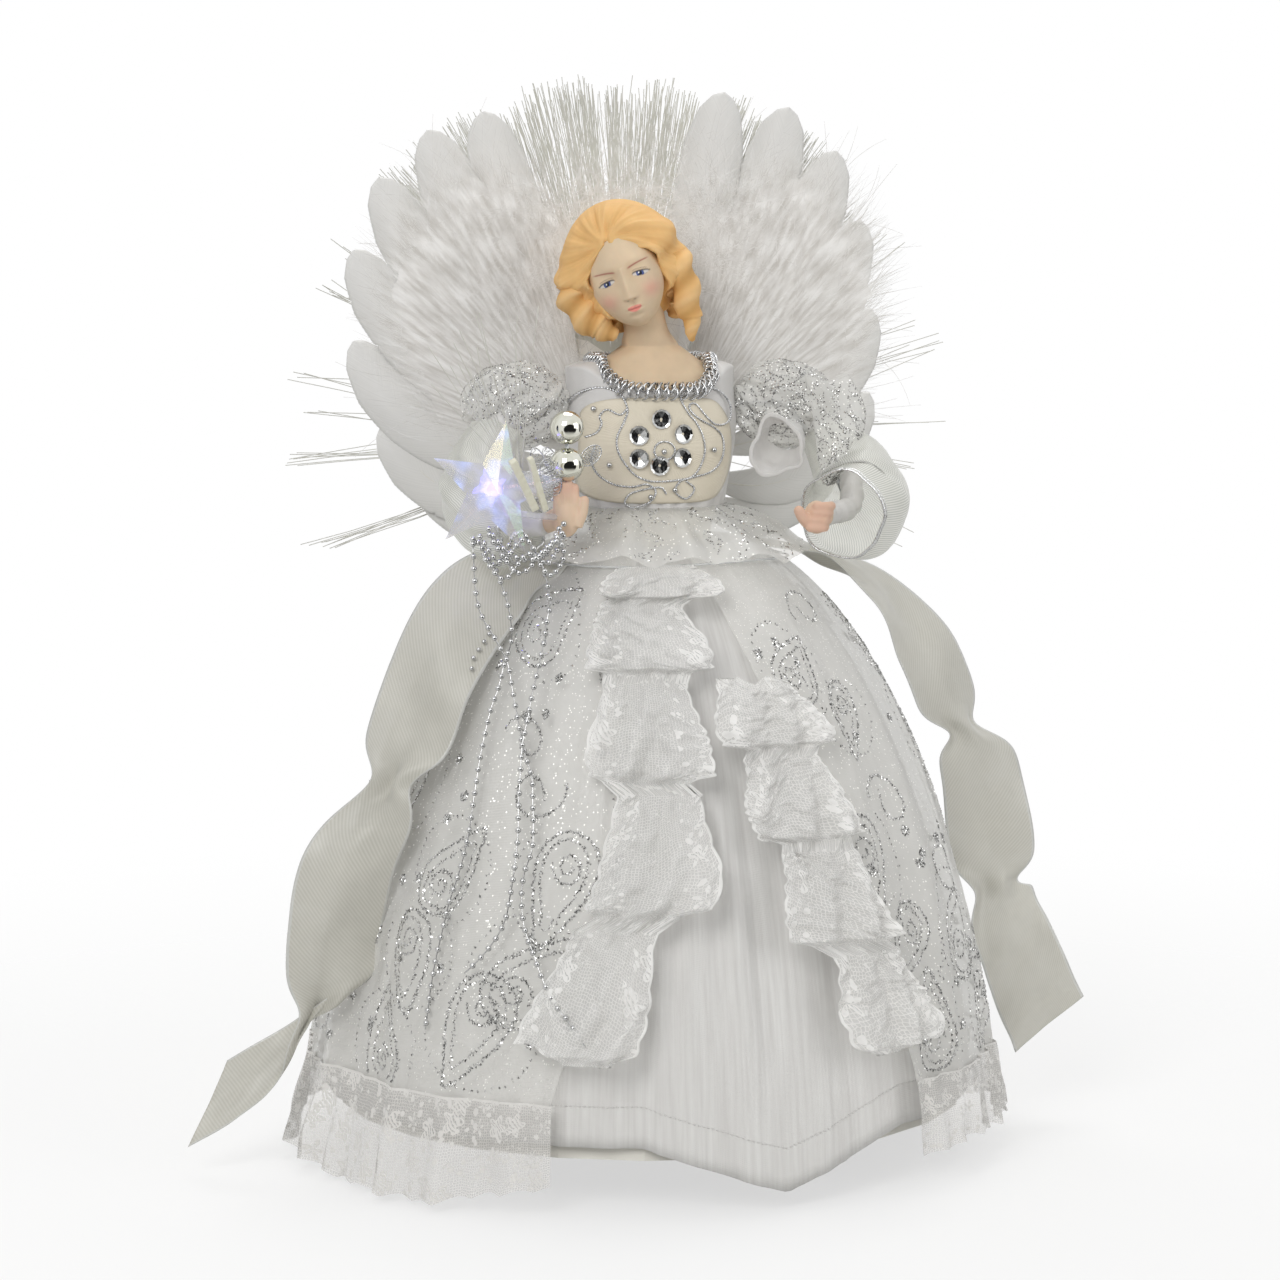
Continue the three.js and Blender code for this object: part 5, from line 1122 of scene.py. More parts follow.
def laid_grain(here, normal, tilt, lift, draw):
    """A place for a grain that lies on the cloth, tipped at random."""
    tip = (normal + Vector((draw.gauss(0, tilt), draw.gauss(0, tilt), draw.gauss(0, tilt)))).normalized()
    grain = tip.to_track_quat("Z", "Y").to_matrix().to_4x4()
    grain.translation = here + normal * lift
    return grain


def printed(motifs, on_cloth, seed):
    """Places of glitter grains for motifs laid on a cloth; on_cloth turns (x, y) mm into a point and normal."""
    draw = random.Random(seed)
    found = []
    for lines, x, y, turn in motifs:
        spin = Matrix.Rotation(turn, 3, "Z")
        for line, step in lines:
            for p in spaced([spin @ q for q in line], step)[0]:
                for _ in range(2):
                    here, normal = on_cloth(x + p.x + draw.gauss(0, glue_spread), y + p.y + draw.gauss(0, glue_spread))
                    if here is None:
                        continue
                    grain = laid_grain(here, normal, 0.35, 0.12, draw)
                    found.append(grain @ Matrix.Rotation(draw.random() * 3, 4, "Z"))
    return found


print_radius = 118


def skirt_cloth(x, y):
    """x is mm from the front round a circle of the print's radius, y is height on the bell."""
    turn = x / print_radius
    if not 42 < y < 222:
        return None, None
    drop = over_drop(y)
    around = math.degrees(turn) % 360
    if not listed(left_edge, drop) + 1 < around < 360 + listed(right_edge, drop) - 1:
        return None, None
    here = overskirt_at(turn, y)
    side = overskirt_at(turn + 0.004, y) - here
    fall = overskirt_at(turn, y - 0.5) - here
    normal = fall.cross(side).normalized()
    return here, normal if normal.dot(Vector((here.x, here.y, 0))) > 0 else -normal


# seven rows of motifs, by height and by how many go round
draw = random.Random(11)
motifs = []
for row, (height, count) in enumerate([(60, 17), (88, 16), (116, 14), (144, 12), (170, 10), (193, 8), (212, 7)]):
    for k in range(count):
        x = print_radius * 2 * math.pi * (k + 0.5 * (row % 2) + draw.uniform(-0.15, 0.15)) / count
        kind = (k + row) % 3
        size = (28, 21, 24)[kind] * (1.0 if row < 4 else 0.74)
        # higher up, where the bell is narrower, each shape is drawn wider to keep its size
        widen = max(1.0, print_radius / bell_radius(height, -2)) if row > 2 else 1.0
        shape = [([Vector((q.x * widen, q.y, 0)) for q in line], step * (1 + 0.5 * (widen - 1)))
                 for line, step in (paisley, tendril, paisley)[kind](size)]
        motifs.append((shape, x, height + draw.uniform(-5, 5), draw.uniform(-0.7, 0.7) + math.pi * (k % 2)))
for k in range(170):
    motifs.append((rosette(1.7), draw.uniform(0, 741), draw.uniform(48, 205), 0.0))
skirt_glitter = mesh_piece("overskirt_glitter", *copies(grain_shape, printed(motifs, skirt_cloth, 5)), glitter,
                           smooth=False)
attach(skirt_glitter, "figure")

# ---------------------------------------------------------------------------------------------
# Lace: raschel-knit polyester, a fine net with flowers knitted in and a corded, scalloped edge.
# One strip is gathered to the overskirt's hem, and one runs down each side of the front opening.


def lace_material(name, width, both_edges=False):
    """Knitted lace on a UV map in millimetres; V runs across the strip, whose edge lies at V = width."""
    # the hem strip is coloured greyer than the front strips of the same lace: painted shade
    made, tree, shader = new_material(name, "#ECEBE8" if both_edges else "#E0DEDA", 0.62, Sheen_Weight=0.3)
    cloth = add_node(tree, "ShaderNodeUVMap", uv_map="UVMap")
    wander = add_node(tree, "ShaderNodeTexNoise", {"Vector": cloth, "Scale": 0.16, "Detail": 2.0})
    sway = add_node(tree, "ShaderNodeVectorMath", {0: wander.outputs["Color"], 1: (0.5, 0.5, 0.5)},
                    operation="SUBTRACT")
    sway = add_node(tree, "ShaderNodeVectorMath", {0: sway, 3: 3.0}, operation="SCALE")
    swayed = add_node(tree, "ShaderNodeVectorMath", {0: cloth, 1: sway}, operation="ADD")
    # the net's holes are 1 mm across, its threads 0.15 mm
    net = add_node(tree, "ShaderNodeTexVoronoi", {"Vector": cloth, "Scale": 0.95, "Randomness": 0.45},
                   feature="DISTANCE_TO_EDGE")
    thread = add_node(tree, "ShaderNodeMath", {0: net, 1: 0.1}, operation="LESS_THAN")
    # flowers with five petals, 9 mm across, set 11 mm apart
    grown = add_node(tree, "ShaderNodeTexVoronoi", {"Vector": swayed, "Scale": 0.09, "Randomness": 0.55})
    from_middle = add_node(tree, "ShaderNodeVectorMath", {0: swayed, 1: grown.outputs["Position"]},
                           operation="SUBTRACT")
    split = add_node(tree, "ShaderNodeSeparateXYZ", {0: from_middle})
    angle = add_node(tree, "ShaderNodeMath", {0: split.outputs[1], 1: split}, operation="ARCTAN2")
    five = add_node(tree, "ShaderNodeMath", {0: angle, 1: 5.0}, operation="MULTIPLY")
    lobes = add_node(tree, "ShaderNodeMath", {0: five}, operation="COSINE")
    edge = add_node(tree, "ShaderNodeMath", {0: lobes, 1: 0.1, 2: 0.36}, operation="MULTIPLY_ADD")
    inside = add_node(tree, "ShaderNodeMath", {0: edge, 1: grown}, operation="SUBTRACT")
    petal = add_node(tree, "ShaderNodeMath", {0: inside, 1: 0.0}, operation="GREATER_THAN")
    # each petal is filled with stitches that leave slits, inside a solid outline
    rim = add_node(tree, "ShaderNodeMath", {0: inside, 1: 0.07}, operation="LESS_THAN")
    ribs = add_node(tree, "ShaderNodeTexWave", {"Vector": swayed, "Scale": 0.33, "Distortion": 3.0,
                                                "Detail": 1.0}, bands_direction="DIAGONAL")
    rib = add_node(tree, "ShaderNodeMath", {0: ribs.outputs["Fac"], 1: 0.34}, operation="GREATER_THAN")
    solid = add_node(tree, "ShaderNodeMath", {0: rim, 1: rib}, operation="MAXIMUM")
    flower = add_node(tree, "ShaderNodeMath", {0: solid, 1: petal}, operation="MULTIPLY")
    # small leaves between the flowers
    leafy = add_node(tree, "ShaderNodeTexVoronoi", {"Vector": swayed, "Scale": 0.23, "Randomness": 0.9})
    leaf = add_node(tree, "ShaderNodeMath", {0: leafy, 1: 0.3}, operation="LESS_THAN")
    filled = add_node(tree, "ShaderNodeMath", {0: flower, 1: leaf}, operation="MAXIMUM")
    across = add_node(tree, "ShaderNodeSeparateXYZ", {0: cloth})
    if both_edges:
        middle = add_node(tree, "ShaderNodeMath", {0: across.outputs[1], 1: width / 2}, operation="SUBTRACT")
        middle = add_node(tree, "ShaderNodeMath", {0: middle}, operation="ABSOLUTE")
        corded = add_node(tree, "ShaderNodeMath", {0: middle, 1: width / 2 - 0.9}, operation="GREATER_THAN")
        # the flowers run along both edges; the middle is plain tulle
        border = add_node(tree, "ShaderNodeMath", {0: middle, 1: width / 2 - 11.0}, operation="GREATER_THAN")
        filled = add_node(tree, "ShaderNodeMath", {0: filled, 1: border}, operation="MULTIPLY")
    else:
        corded = add_node(tree, "ShaderNodeMath", {0: across.outputs[1], 1: width - 0.9}, operation="GREATER_THAN")
    filled = add_node(tree, "ShaderNodeMath", {0: filled, 1: corded}, operation="MAXIMUM")
    whole = add_node(tree, "ShaderNodeMath", {0: filled, 1: thread}, operation="MAXIMUM")
    see = add_node(tree, "ShaderNodeMapRange", {0: whole, 3: 0.42 if not both_edges else 0.55, 4: 0.8})
    dense = add_node(tree, "ShaderNodeMapRange", {0: filled, 3: 0.0, 4: 0.2})
    see = add_node(tree, "ShaderNodeMath", {0: see, 1: dense}, operation="ADD")
    high = add_node(tree, "ShaderNodeMath", {0: filled, 1: thread}, operation="ADD")
    bump = add_node(tree, "ShaderNodeBump", {"Height": high, "Strength": 0.5, "Distance": 0.0003})
    feed(shader, {"Alpha": see, "Normal": bump})
    return made


hem_lace = lace_material("knitted lace, hem strip", 36)
hem_low = [0.3, 0.34, 0.28, 0.2, 0.16, 0.2, 0.24, 0.2, 0.16, 0.2, 0.24, 0.2, 0.12, 0.04, 0.06, 0.26]
hem_flare = [0.2, 0.3, 0.3, 0.2, 0.1, 0.1, 0.1, 0.1, 0.1, 0.1, 0.2, 0.4, 0.8, 1, 0.9, 0.3]


def lace_hem_point(i, j):
    turn = math.radians(33.5 + 297 * i)
    scallop = (1.5 * abs(math.cos(60 * math.pi * i)) + 0.9 * abs(math.cos(13 * math.pi * i + 1))) * j ** 3
    low = listed(hem_low, i) * over_foot + 0.4
    height = over_foot + 1 + (low - over_foot - 1) * j + scallop
    gather = (2.1 * math.sin(38 * turn + 2 * math.sin(5 * turn)) + 1.2 * math.sin(67 * turn)) * (0.25 + 0.75 * j)
    gather += 1.5 * noise.noise(Vector((14 * turn, 2 * j, 7)))
    flare = 6 * listed(hem_flare, i) * j
    return on_dress(turn, height, -2, 4 * over_fold(turn) + gathers(turn, 1.0) + 0.8 + flare + gather)


lace_hem = shaped_grid("lace_hem_strip", 560, 22, lace_hem_point, hem_lace, size=(920, 36))
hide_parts("lace_hem")
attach(lace_hem, "figure")

front_lace = lace_material("knitted lace, front strips", 40, both_edges=True)
front_edges = {"right": right_edge, "left": left_edge}


def lace_front(side, lean, start):
    """A strip of lace down one side of the opening, folded over itself in ragged tiers as it was gathered."""
    edge, tiers = front_edges[side], 5 if side == "right" else 4
    other = 4 if side == "right" else 9

    def point_at(i, j):
        j = 0.003 + 0.994 * j
        off = 2 * i - 1
        # the folds run aslant and don't line up, and each swells as it falls, then tucks back under the next
        at = min(tiers - 0.001, max(0.0, tiers * j + 0.22 * off * math.sin(2.1 * tiers * j + other)
                                    + 0.12 * noise.noise(Vector((3 * i, 9 * j, other)))))
        step, tier = at % 1.0, math.floor(at)
        swell = soft(0.0, 0.7, step) * soft(1.0, 0.86, step)
        drop = start + (0.96 - start) * (tier + step - 0.08 * soft(0.75, 1.0, step)) / tiers
        height = drop_height(226, over_foot, min(1.0, max(0.0, drop)))
        scallop = 1 + 0.05 * abs(math.cos(30 * math.pi * j))
        reach = (off * scallop + lean + 0.22 * math.sin(2.3 * tier + 1)) * (14.0 + 6.0 * swell) * soft(-0.5, 0.12, j)
        turn = math.radians(listed(edge, drop)) + reach / bell_radius(height, 0)
        frill = 1.7 * math.sin(2 * math.pi * (2.6 * i + 0.37 * tier) + 6 * step) * (0.35 + swell) \
            + 1.3 * math.sin(23 * i + 31 * j + tier) * swell + 2.4 * noise.noise(Vector((6 * i, 30 * j, other))) \
            + 1.2 * noise.noise(Vector((15 * i, 70 * j, other)))
        loose = soft(-0.02, 0.12, j) if side == "right" else 1
        lift = (4 * over_fold(turn) + 2.0) * math.sin(drop * math.pi / 2) + 1.5 + (1.5 + frill + 4.4 * swell) * loose
        return on_dress(turn, height, -1, max(0.8, lift))

    return point_at


for side, lean, start, length in [("right", 0.3, 0.07, 290), ("left", -0.5, 0.42, 150)]:
    spread = lace_front(side, lean, start)
    strip = shaped_grid(f"lace_front_{side}_strip", 60, 340, spread, front_lace, size=(40, length))
    for loop in strip.data.uv_layers["UVMap"].data:
        loop.uv = (loop.uv[1], loop.uv[0])
    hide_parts(f"lace_front_{side}")
    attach(strip, "figure")

# ---------------------------------------------------------------------------------------------
# Waist frill: a short circle of glitter organza under the bodice, and a clear elastic round the
# waist that gathers the skirts under it.

frill_top, frill_fall, frill_reach, frill_length = 243.6, 17.0, 60.5, 310


def frill_point(i, j):
    """A point of the frill: in from the bodice, over a rise and out to a wavy edge."""
    turn = (i - 0.5) * 2 * math.pi
    folds = math.cos(11 * turn + 1.4 * math.sin(3 * turn))
    height = frill_top - frill_fall * j ** 1.1
    inner = on_bust(turn, min(height, 243.0), 1.0)
    outer = Vector((frill_reach * math.sin(turn), -frill_reach * math.cos(turn), 0))
    p = inner.lerp(outer, j ** 0.9)
    p.z = height + j * (1.5 * folds + 0.8 * math.sin(23 * turn + 2 * math.sin(4 * turn)))
    p.z += 3.0 * math.sin(math.pi * min(1.0, j * 1.05)) * (0.6 + 0.4 * folds)
    return p + Vector((0, 0, 1.6 * noise.noise(Vector((8 * turn, 4 * j, 1))) * j))


frill = shaped_grid("waist_frill_organza", 260, 30, frill_point, sheer_glitter, wrapped=True, size=(340, 36))
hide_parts("waist_frill")
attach(frill, "figure")
frill.visible_shadow = False


def frill_cloth(x, y):
    """A point and normal of the frill, by millimetres round it and the share down it."""
    i, j = x / frill_length % 1.0, y
    here = frill_point(i, j)
    side, fall = frill_point(i + 0.003, j) - here, frill_point(i, j + 0.02) - here
    normal = side.cross(fall).normalized()
    return here, normal if normal.z > 0 else -normal


frill_grains = []
draw = random.Random(21)
for k in range(5200):
    x, y = draw.uniform(0, frill_length), 0.05 + 0.93 * draw.random()
    if math.sin(x * 0.55 + 3 * math.sin(y * 7)) + 0.6 * math.sin(x * 0.23) < 0.55:
        continue
    here, normal = frill_cloth(x, y)
    frill_grains.append(laid_grain(here, normal, 0.3, 0.12, draw))
frill_glitter = mesh_piece("waist_frill_glitter", *copies(grain_shape, frill_grains), glitter, smooth=False)
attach(frill_glitter, "figure")

elastic_line = [on_dress(k / 96 * 2 * math.pi, 224.5 + 0.6 * math.sin(3 * k / 96 * 2 * math.pi), -2, 3.4)
                for k in range(97)]
clear_plastic = mottled("clear elastic thread", "#F2F4F4", 0.2, 260, gloss=(0, 1, 0.08, 0.3),
                        Transmission_Weight=0.7, IOR=1.45)
elastic = mesh_piece("waist_elastic", *tube_along(elastic_line, 0.45, 8), clear_plastic)
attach(elastic, "figure")

# ---------------------------------------------------------------------------------------------
# Sash: champagne-grey twill organza ribbon, 35 mm wide, with a fine wire in each silver-bound
# edge. The wire holds the sharp folds in which each tail was bent.

ribbon_width, ribbon_length = 35, 250
ribbon, tree, shader = woven_cloth("wired organza ribbon, champagne grey", "#D0CEC4", "#C0BEB3", 0.55, 0.42, sheen=0.4,
                                   alpha=0.85, strength=0.1)
cloth = add_node(tree, "ShaderNodeUVMap", uv_map="UVMap")
across = add_node(tree, "ShaderNodeSeparateXYZ", {0: cloth})
off_middle = add_node(tree, "ShaderNodeMath", {0: across, 1: ribbon_width / 2}, operation="SUBTRACT")
off_middle = add_node(tree, "ShaderNodeMath", {0: off_middle}, operation="ABSOLUTE")
bound = add_node(tree, "ShaderNodeMath", {0: off_middle, 1: ribbon_width / 2 - 1.1}, operation="GREATER_THAN")
# a diagonal twill line every 0.9 mm, and silver yarn glints
leaning = add_node(tree, "ShaderNodeVectorMath", {0: cloth, 1: (-1, 1, 1)}, operation="MULTIPLY")
twill = add_node(tree, "ShaderNodeTexWave", {"Vector": leaning, "Scale": 0.42, "Distortion": 0.3},
                 bands_direction="DIAGONAL")
haze = add_node(tree, "ShaderNodeTexNoise", {"Vector": cloth, "Scale": 0.05, "Detail": 2.0})
see = add_node(tree, "ShaderNodeMapRange", {0: haze, 1: 0.3, 2: 0.7, 3: 0.68, 4: 0.92})
glint = add_node(tree, "ShaderNodeTexVoronoi", {"Vector": cloth, "Scale": 1.4, "Randomness": 1.0})
spark = add_node(tree, "ShaderNodeMath", {0: glint, 1: 0.24}, operation="LESS_THAN")
spark = add_node(tree, "ShaderNodeMath", {0: spark, 1: bound}, operation="MULTIPLY")
tint = add_node(tree, "ShaderNodeMix", {0: twill.outputs["Fac"], 6: "#C6C4B9", 7: "#D4D2C9"}, data_type="RGBA")
edged = add_node(tree, "ShaderNodeMix", {0: bound, 6: tint, 7: "#D5D5D0"}, data_type="RGBA")
feed(shader, {"Alpha": see, "Base Color": edged, "Metallic": spark})

# rows down each tail: its middle, in hem radii, hem radii and waist heights, and the way that its width points
sash_rows = {
    "right": [[-0.28, -0.1, 0.968, 0, 1, 0], [-0.44, -0.2, 0.945, -0.4, 0.7, 0.5],
              [-0.6, -0.28, 0.88, -0.65, 0.55, 0.5], [-0.72, -0.34, 0.78, -0.75, 0.6, 0.35],
              [-0.79, -0.36, 0.68, -0.7, 0.7, 0.15], [-0.86, -0.36, 0.595, -0.6, 0.8, 0],
              [-0.95, -0.33, 0.5, -0.95, 0.3, 0.05], [-0.985, -0.3, 0.39, -1, 0, 0],
              [-1.0, -0.28, 0.29, -0.95, 0.2, -0.3], [-1.08, -0.24, 0.215, -0.5, 0.1, -0.85],
              [-1.2, -0.2, 0.16, -0.42, 0, -0.9], [-1.33, -0.16, 0.115, -0.42, 0, -0.9]],
    "left": [[0.3, 0.02, 0.9685, 0, 1, 0], [0.52, 0.02, 0.945, 0.1, 1, 0.1], [0.69, -0.05, 0.89, 0.4, 0.85, 0.3],
             [0.81, -0.08, 0.8, 0.65, 0.6, 0.3], [0.91, -0.06, 0.69, 0.85, 0.4, 0.2], [1.0, -0.02, 0.61, 0.9, 0.2, 0.1],
             [1.04, -0.02, 0.5, 1, 0, 0.1], [1.06, -0.02, 0.41, 1, 0, 0.1], [1.09, -0.03, 0.34, 0.7, 0.3, 0.5],
             [1.13, -0.05, 0.28, 0.7, 0, 0.7], [1.18, -0.07, 0.21, 0.75, 0, 0.65], [1.22, -0.08, 0.16, 0.8, 0, 0.6]],
}
# where the wire is kinked and the ribbon creased together, as a share of each tail's length
kinks = {"right": [(0.09, 0.75), (0.42, 0.5), (0.745, 0.6)], "left": [(0.09, 0.7), (0.4, 0.45), (0.66, 0.6)]}
for side, rows in sash_rows.items():
    middle = curve_through([(r[0] * hem_radius, r[1] * hem_radius, r[2] * waist_height) for r in rows], 16)
    widths = curve_through([Vector(r[3:]).normalized() for r in rows], 16)

    def sash_point(i, j, middle=middle, widths=widths, side=side):
        k, p, w = part_way(j, middle, widths)
        w.normalize()
        ahead = (middle[k + 1] - middle[k]).normalized()
        face = ahead.cross(w).normalized()
        pinch, crease = 1.0, 0.0
        for where, deep in kinks[side]:
            near = math.exp(-((j - where) / 0.035) ** 2)
            pinch -= (1 - deep) * near
            crease += near
        off = (2 * i - 1) * ribbon_width / 2
        buckle = 1.2 * math.sin(17 * j + 2 * i) * (1 - abs(2 * i - 1)) + 0.9 * math.sin(41 * j + 3 * i)
        buckle += 2.4 * crease * math.sin(9.4 * i + 2) + 1.1 * noise.noise(Vector((3 * i, 12 * j, 2)))
        return p + w * off * pinch + face * buckle

    tail = shaped_grid(f"sash_{side}_ribbon", 26, 190, sash_point, ribbon, size=(ribbon_width, ribbon_length))
    with_thickness(tail, 0.3)
    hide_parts(f"sash_{side}")
    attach(tail, "figure")
    if side == "right":
        sewn_on = []
        for x, z in ((-71.0, 200.8), (-73.3, 197.8), (-75.5, 194.8), (-77.6, 191.7), (-79.1, 188.2)):
            share = min(((a / 24, b / 160) for a in range(25) for b in range(20, 80)),
                        key=lambda q: math.hypot(sash_point(*q).x - x, sash_point(*q).z - z))
            sewn_on.append(Matrix.Translation(sash_point(*share) + Vector((-0.3, -1.9, 0.3))))

# Sewn in a short row where the right tail folds: silvered beads of 1.7 mm, as on the strings
bpy.ops.mesh.primitive_uv_sphere_add(segments=18, ring_count=12, radius=0.85 * mm)
row = mesh_piece("sash_beads", *copies(shape_of(bpy.context.object), sewn_on), silvered)
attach(row, "figure")

# ---------------------------------------------------------------------------------------------
# Wings: goose feathers trimmed to shape and glued in a fan to a white card, seven tips to a side.
# Each has a shaft of pale horn, and silky barbs that lie close together and part in a few places.

feather_outline = [[0, 0.07], [0.16, 0.1], [0.32, 0.5], [0.52, 0.88], [0.7, 1], [0.84, 0.97], [0.94, 0.68],
                   [0.985, 0.34], [1.0, 0.05]]
# tip across and up from the wings' root, bow and half-width, all in wing reaches, and the order of laying
wing_reach, fan_height = 142, 268
feather_plan = [
    (-1, [[-0.41, 0.865, 0.03, 0.084], [-0.56, 0.815, 0.05, 0.086], [-0.69, 0.69, 0.08, 0.084],
          [-0.756, 0.5, 0.12, 0.082], [-0.757, 0.26, 0.16, 0.08], [-0.685, 0.03, 0.18, 0.076]], [1, 0, 2, 3, 4, 5]),
    (1, [[0.25, 0.922, 0, 0.086], [0.434, 0.884, 0.03, 0.086], [0.57, 0.768, 0.07, 0.084],
         [0.645, 0.58, 0.11, 0.082], [0.676, 0.34, 0.15, 0.08], [0.676, 0.11, 0.18, 0.076]], [0, 1, 2, 3, 4, 5]),
]
vane, tree, shader = new_material("goose feather, bleached white", "#DFDEDA", 0.6, Sheen_Weight=0.5)
strand = add_node(tree, "ShaderNodeUVMap", uv_map="UVMap")
lanes = add_node(tree, "ShaderNodeSeparateXYZ", {0: strand})
# barbs leave the shaft at a slant; real ones are 0.3 mm apart, drawn at 0.9 mm
lean = add_node(tree, "ShaderNodeMath", {0: lanes}, operation="ABSOLUTE")
lean = add_node(tree, "ShaderNodeMath", {0: lean, 1: 1.5, 2: 0.0}, operation="MULTIPLY_ADD")
barbs = add_node(tree, "ShaderNodeMath", {0: lanes.outputs[1], 1: lean}, operation="SUBTRACT")
row = add_node(tree, "ShaderNodeCombineXYZ", {0: barbs})
fine = add_node(tree, "ShaderNodeTexNoise", {"Vector": row, "Scale": 1.1, "Detail": 3.0})
silky = add_node(tree, "ShaderNodeMapRange", {0: fine, 1: 0.3, 2: 0.7, 3: 0.35, 4: 0.65})
# painted shade: each vane is darker towards its outer edges and lighter by the shaft
outer_edge = add_node(tree, "ShaderNodeMath", {0: lanes}, operation="ABSOLUTE")
shaded = add_node(tree, "ShaderNodeMapRange", {0: outer_edge, 1: 3.0, 2: 12.0, 3: 0.25, 4: -0.3})
silky = add_node(tree, "ShaderNodeMath", {0: silky, 1: shaded}, operation="ADD")
tint = add_node(tree, "ShaderNodeMix", {0: silky, 6: "#CBCAC6", 7: "#EAE9E6"}, data_type="RGBA")
bump = add_node(tree, "ShaderNodeBump", {"Height": fine, "Strength": 0.16, "Distance": 0.0003})
feed(shader, {"Base Color": tint, "Normal": bump})
quill = mottled("feather shaft, horn", "#DAD8D0", 0.4, 500, tints=("#D3D0C4", "#EEEDE8"))


def feather_frame(side, tip_x, tip_z, bow):
    """A feather's bowed spine, as a function of the share along it, and its length."""
    root, tip = Vector((side * 9, 0, 264)), Vector((tip_x * wing_reach, 0, fan_height + tip_z * wing_reach))
    along = tip - root
    outward = Vector((side * along.z, 0, -side * along.x)).normalized()
    knee = (root + tip) / 2 + outward * bow * wing_reach * 2

    def spine(t):
        return root * (1 - t) ** 2 + knee * 2 * t * (1 - t) + tip * t * t

    return spine, (tip - root).length


def outward_faces(piece):
    on_whole_mesh(piece, bpy.ops.mesh.normals_make_consistent, inside=False)


def feather(name, side, tip_x, tip_z, bow, half_width, depth, seed):
    """A trimmed feather of two faces and an edge, with barbs parted at a few random places."""
    spine, length = feather_frame(side, tip_x, tip_z, bow)
    draw = random.Random(seed)
    notches = [(draw.uniform(0.4, 0.9), draw.choice((-1, 1)), draw.uniform(0.03, 0.1)) for _ in range(3)]
    points, faces, flat = [], [], []
    rows, half = 190, 9
    for back in (0, 1):
        for r in range(rows + 1):
            t = r / rows
            here = spine(t)
            ahead = (spine(min(1.0, t + 0.004)) - spine(max(0.0, t - 0.004))).normalized()
            aside = Vector((ahead.z, 0, -ahead.x))
            width = float(np.interp(t, *zip(*feather_outline))) * half_width * wing_reach
            for c in range(-half, half + 1):
                share = c / half
                cut = 0.0
                for where, which, deep in notches:
                    if which * share > 0:
                        slant = t - 0.05 * (abs(share) - 0.6)
                        cut += deep * math.exp(-((slant - where) / 0.0042) ** 2) * abs(share) ** 2
                fringe = 0.008 * math.sin(r * 2.4 + seed) * abs(share) ** 4
                off = width * share * (1 - cut + fringe)
                up_tip = 0.012 * length * abs(share) ** 1.4 * (0.2 + 0.8 * t)
                cup = 1.1 * (1 - share * share) * min(1, t * 5) + 0.3 * noise.noise(Vector((share * 2, t * 7, seed)))
                p = here + aside * off + ahead * (up_tip if t < 0.9 else up_tip * (1 - t) * 10)
                points.append((p.x, depth - cup + (0.42 if back else 0.0), p.z))
                flat.append((off, t * length))
    across = half * 2 + 1
    for r in range(rows):
        for c in range(across - 1):
            a = r * across + c
            front = (a, a + 1, a + 1 + across, a + across)
            faces.append(front)
            behind = tuple(k + (rows + 1) * across for k in front)
            faces.append(behind[::-1])
    edge = [r * across for r in range(rows + 1)] + [rows * across + c for c in range(1, across)] \
        + [r * across + across - 1 for r in range(rows - 1, -1, -1)] + [c for c in range(across - 2, 0, -1)]
    for a, b in zip(edge, edge[1:] + edge[:1]):
        faces.append((b, a, a + (rows + 1) * across, b + (rows + 1) * across))
    piece = mesh_piece(name, points, faces, vane, uv=flat)
    outward_faces(piece)
    return piece


shafts = []
for side, plan, order in feather_plan:
    name = "right" if side < 0 else "left"
    for k, (tip_x, tip_z, bow, half_width) in enumerate(plan):
        depth = 25 + order[k] * 1.2 + 0.45
        piece = feather(f"{name}_wing_feather_{k + 1}", side, tip_x, tip_z, bow, half_width, depth, 7 * k + side)
        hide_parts(f"{name}_feather_{k + 1}")
        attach(piece, "figure")
        spine, length = feather_frame(side, tip_x, tip_z, bow)
        line = [Vector((spine(t).x, depth - 0.85 * min(1, t * 5), spine(t).z)) for t in np.linspace(0.02, 0.9, 40)]
        shafts.append(tube_along(line, list(np.linspace(0.5, 0.1, 40)), 6))
    # a seventh, small feather below the others
    tip_x, tip_z = (-0.60, -0.06) if side < 0 else (0.60, -0.02)
    piece = feather(f"{name}_wing_feather_7", side, tip_x, tip_z, 0.2, 0.07, 32.9, 50 + side)
    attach(piece, "figure")
shaft_piece = mesh_piece("feather_shafts", *merged(*shafts), quill)
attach(shaft_piece, "figure")

# Backing card: greyboard faced white, cut with a knife
board = mottled("white-faced card", "#E9E8E4", 0.8, 900, 5.0, tints=("#DEDCD5", "#F1F0EC"), relief=(0.25, 0.0002))
finish_nodes(board, "wing_card")

# ---------------------------------------------------------------------------------------------
# Down: marabou glued over the inner part of each wing, with long silky barbs that lie along the
# feathers, soft at every edge, and a few loose ones that stray over the halo.

down, tree, shader = new_material("marabou down", "#E9E7E3", 0.9, Sheen_Weight=0.6, Alpha=0.85)
place = add_node(tree, "ShaderNodeTexCoord")
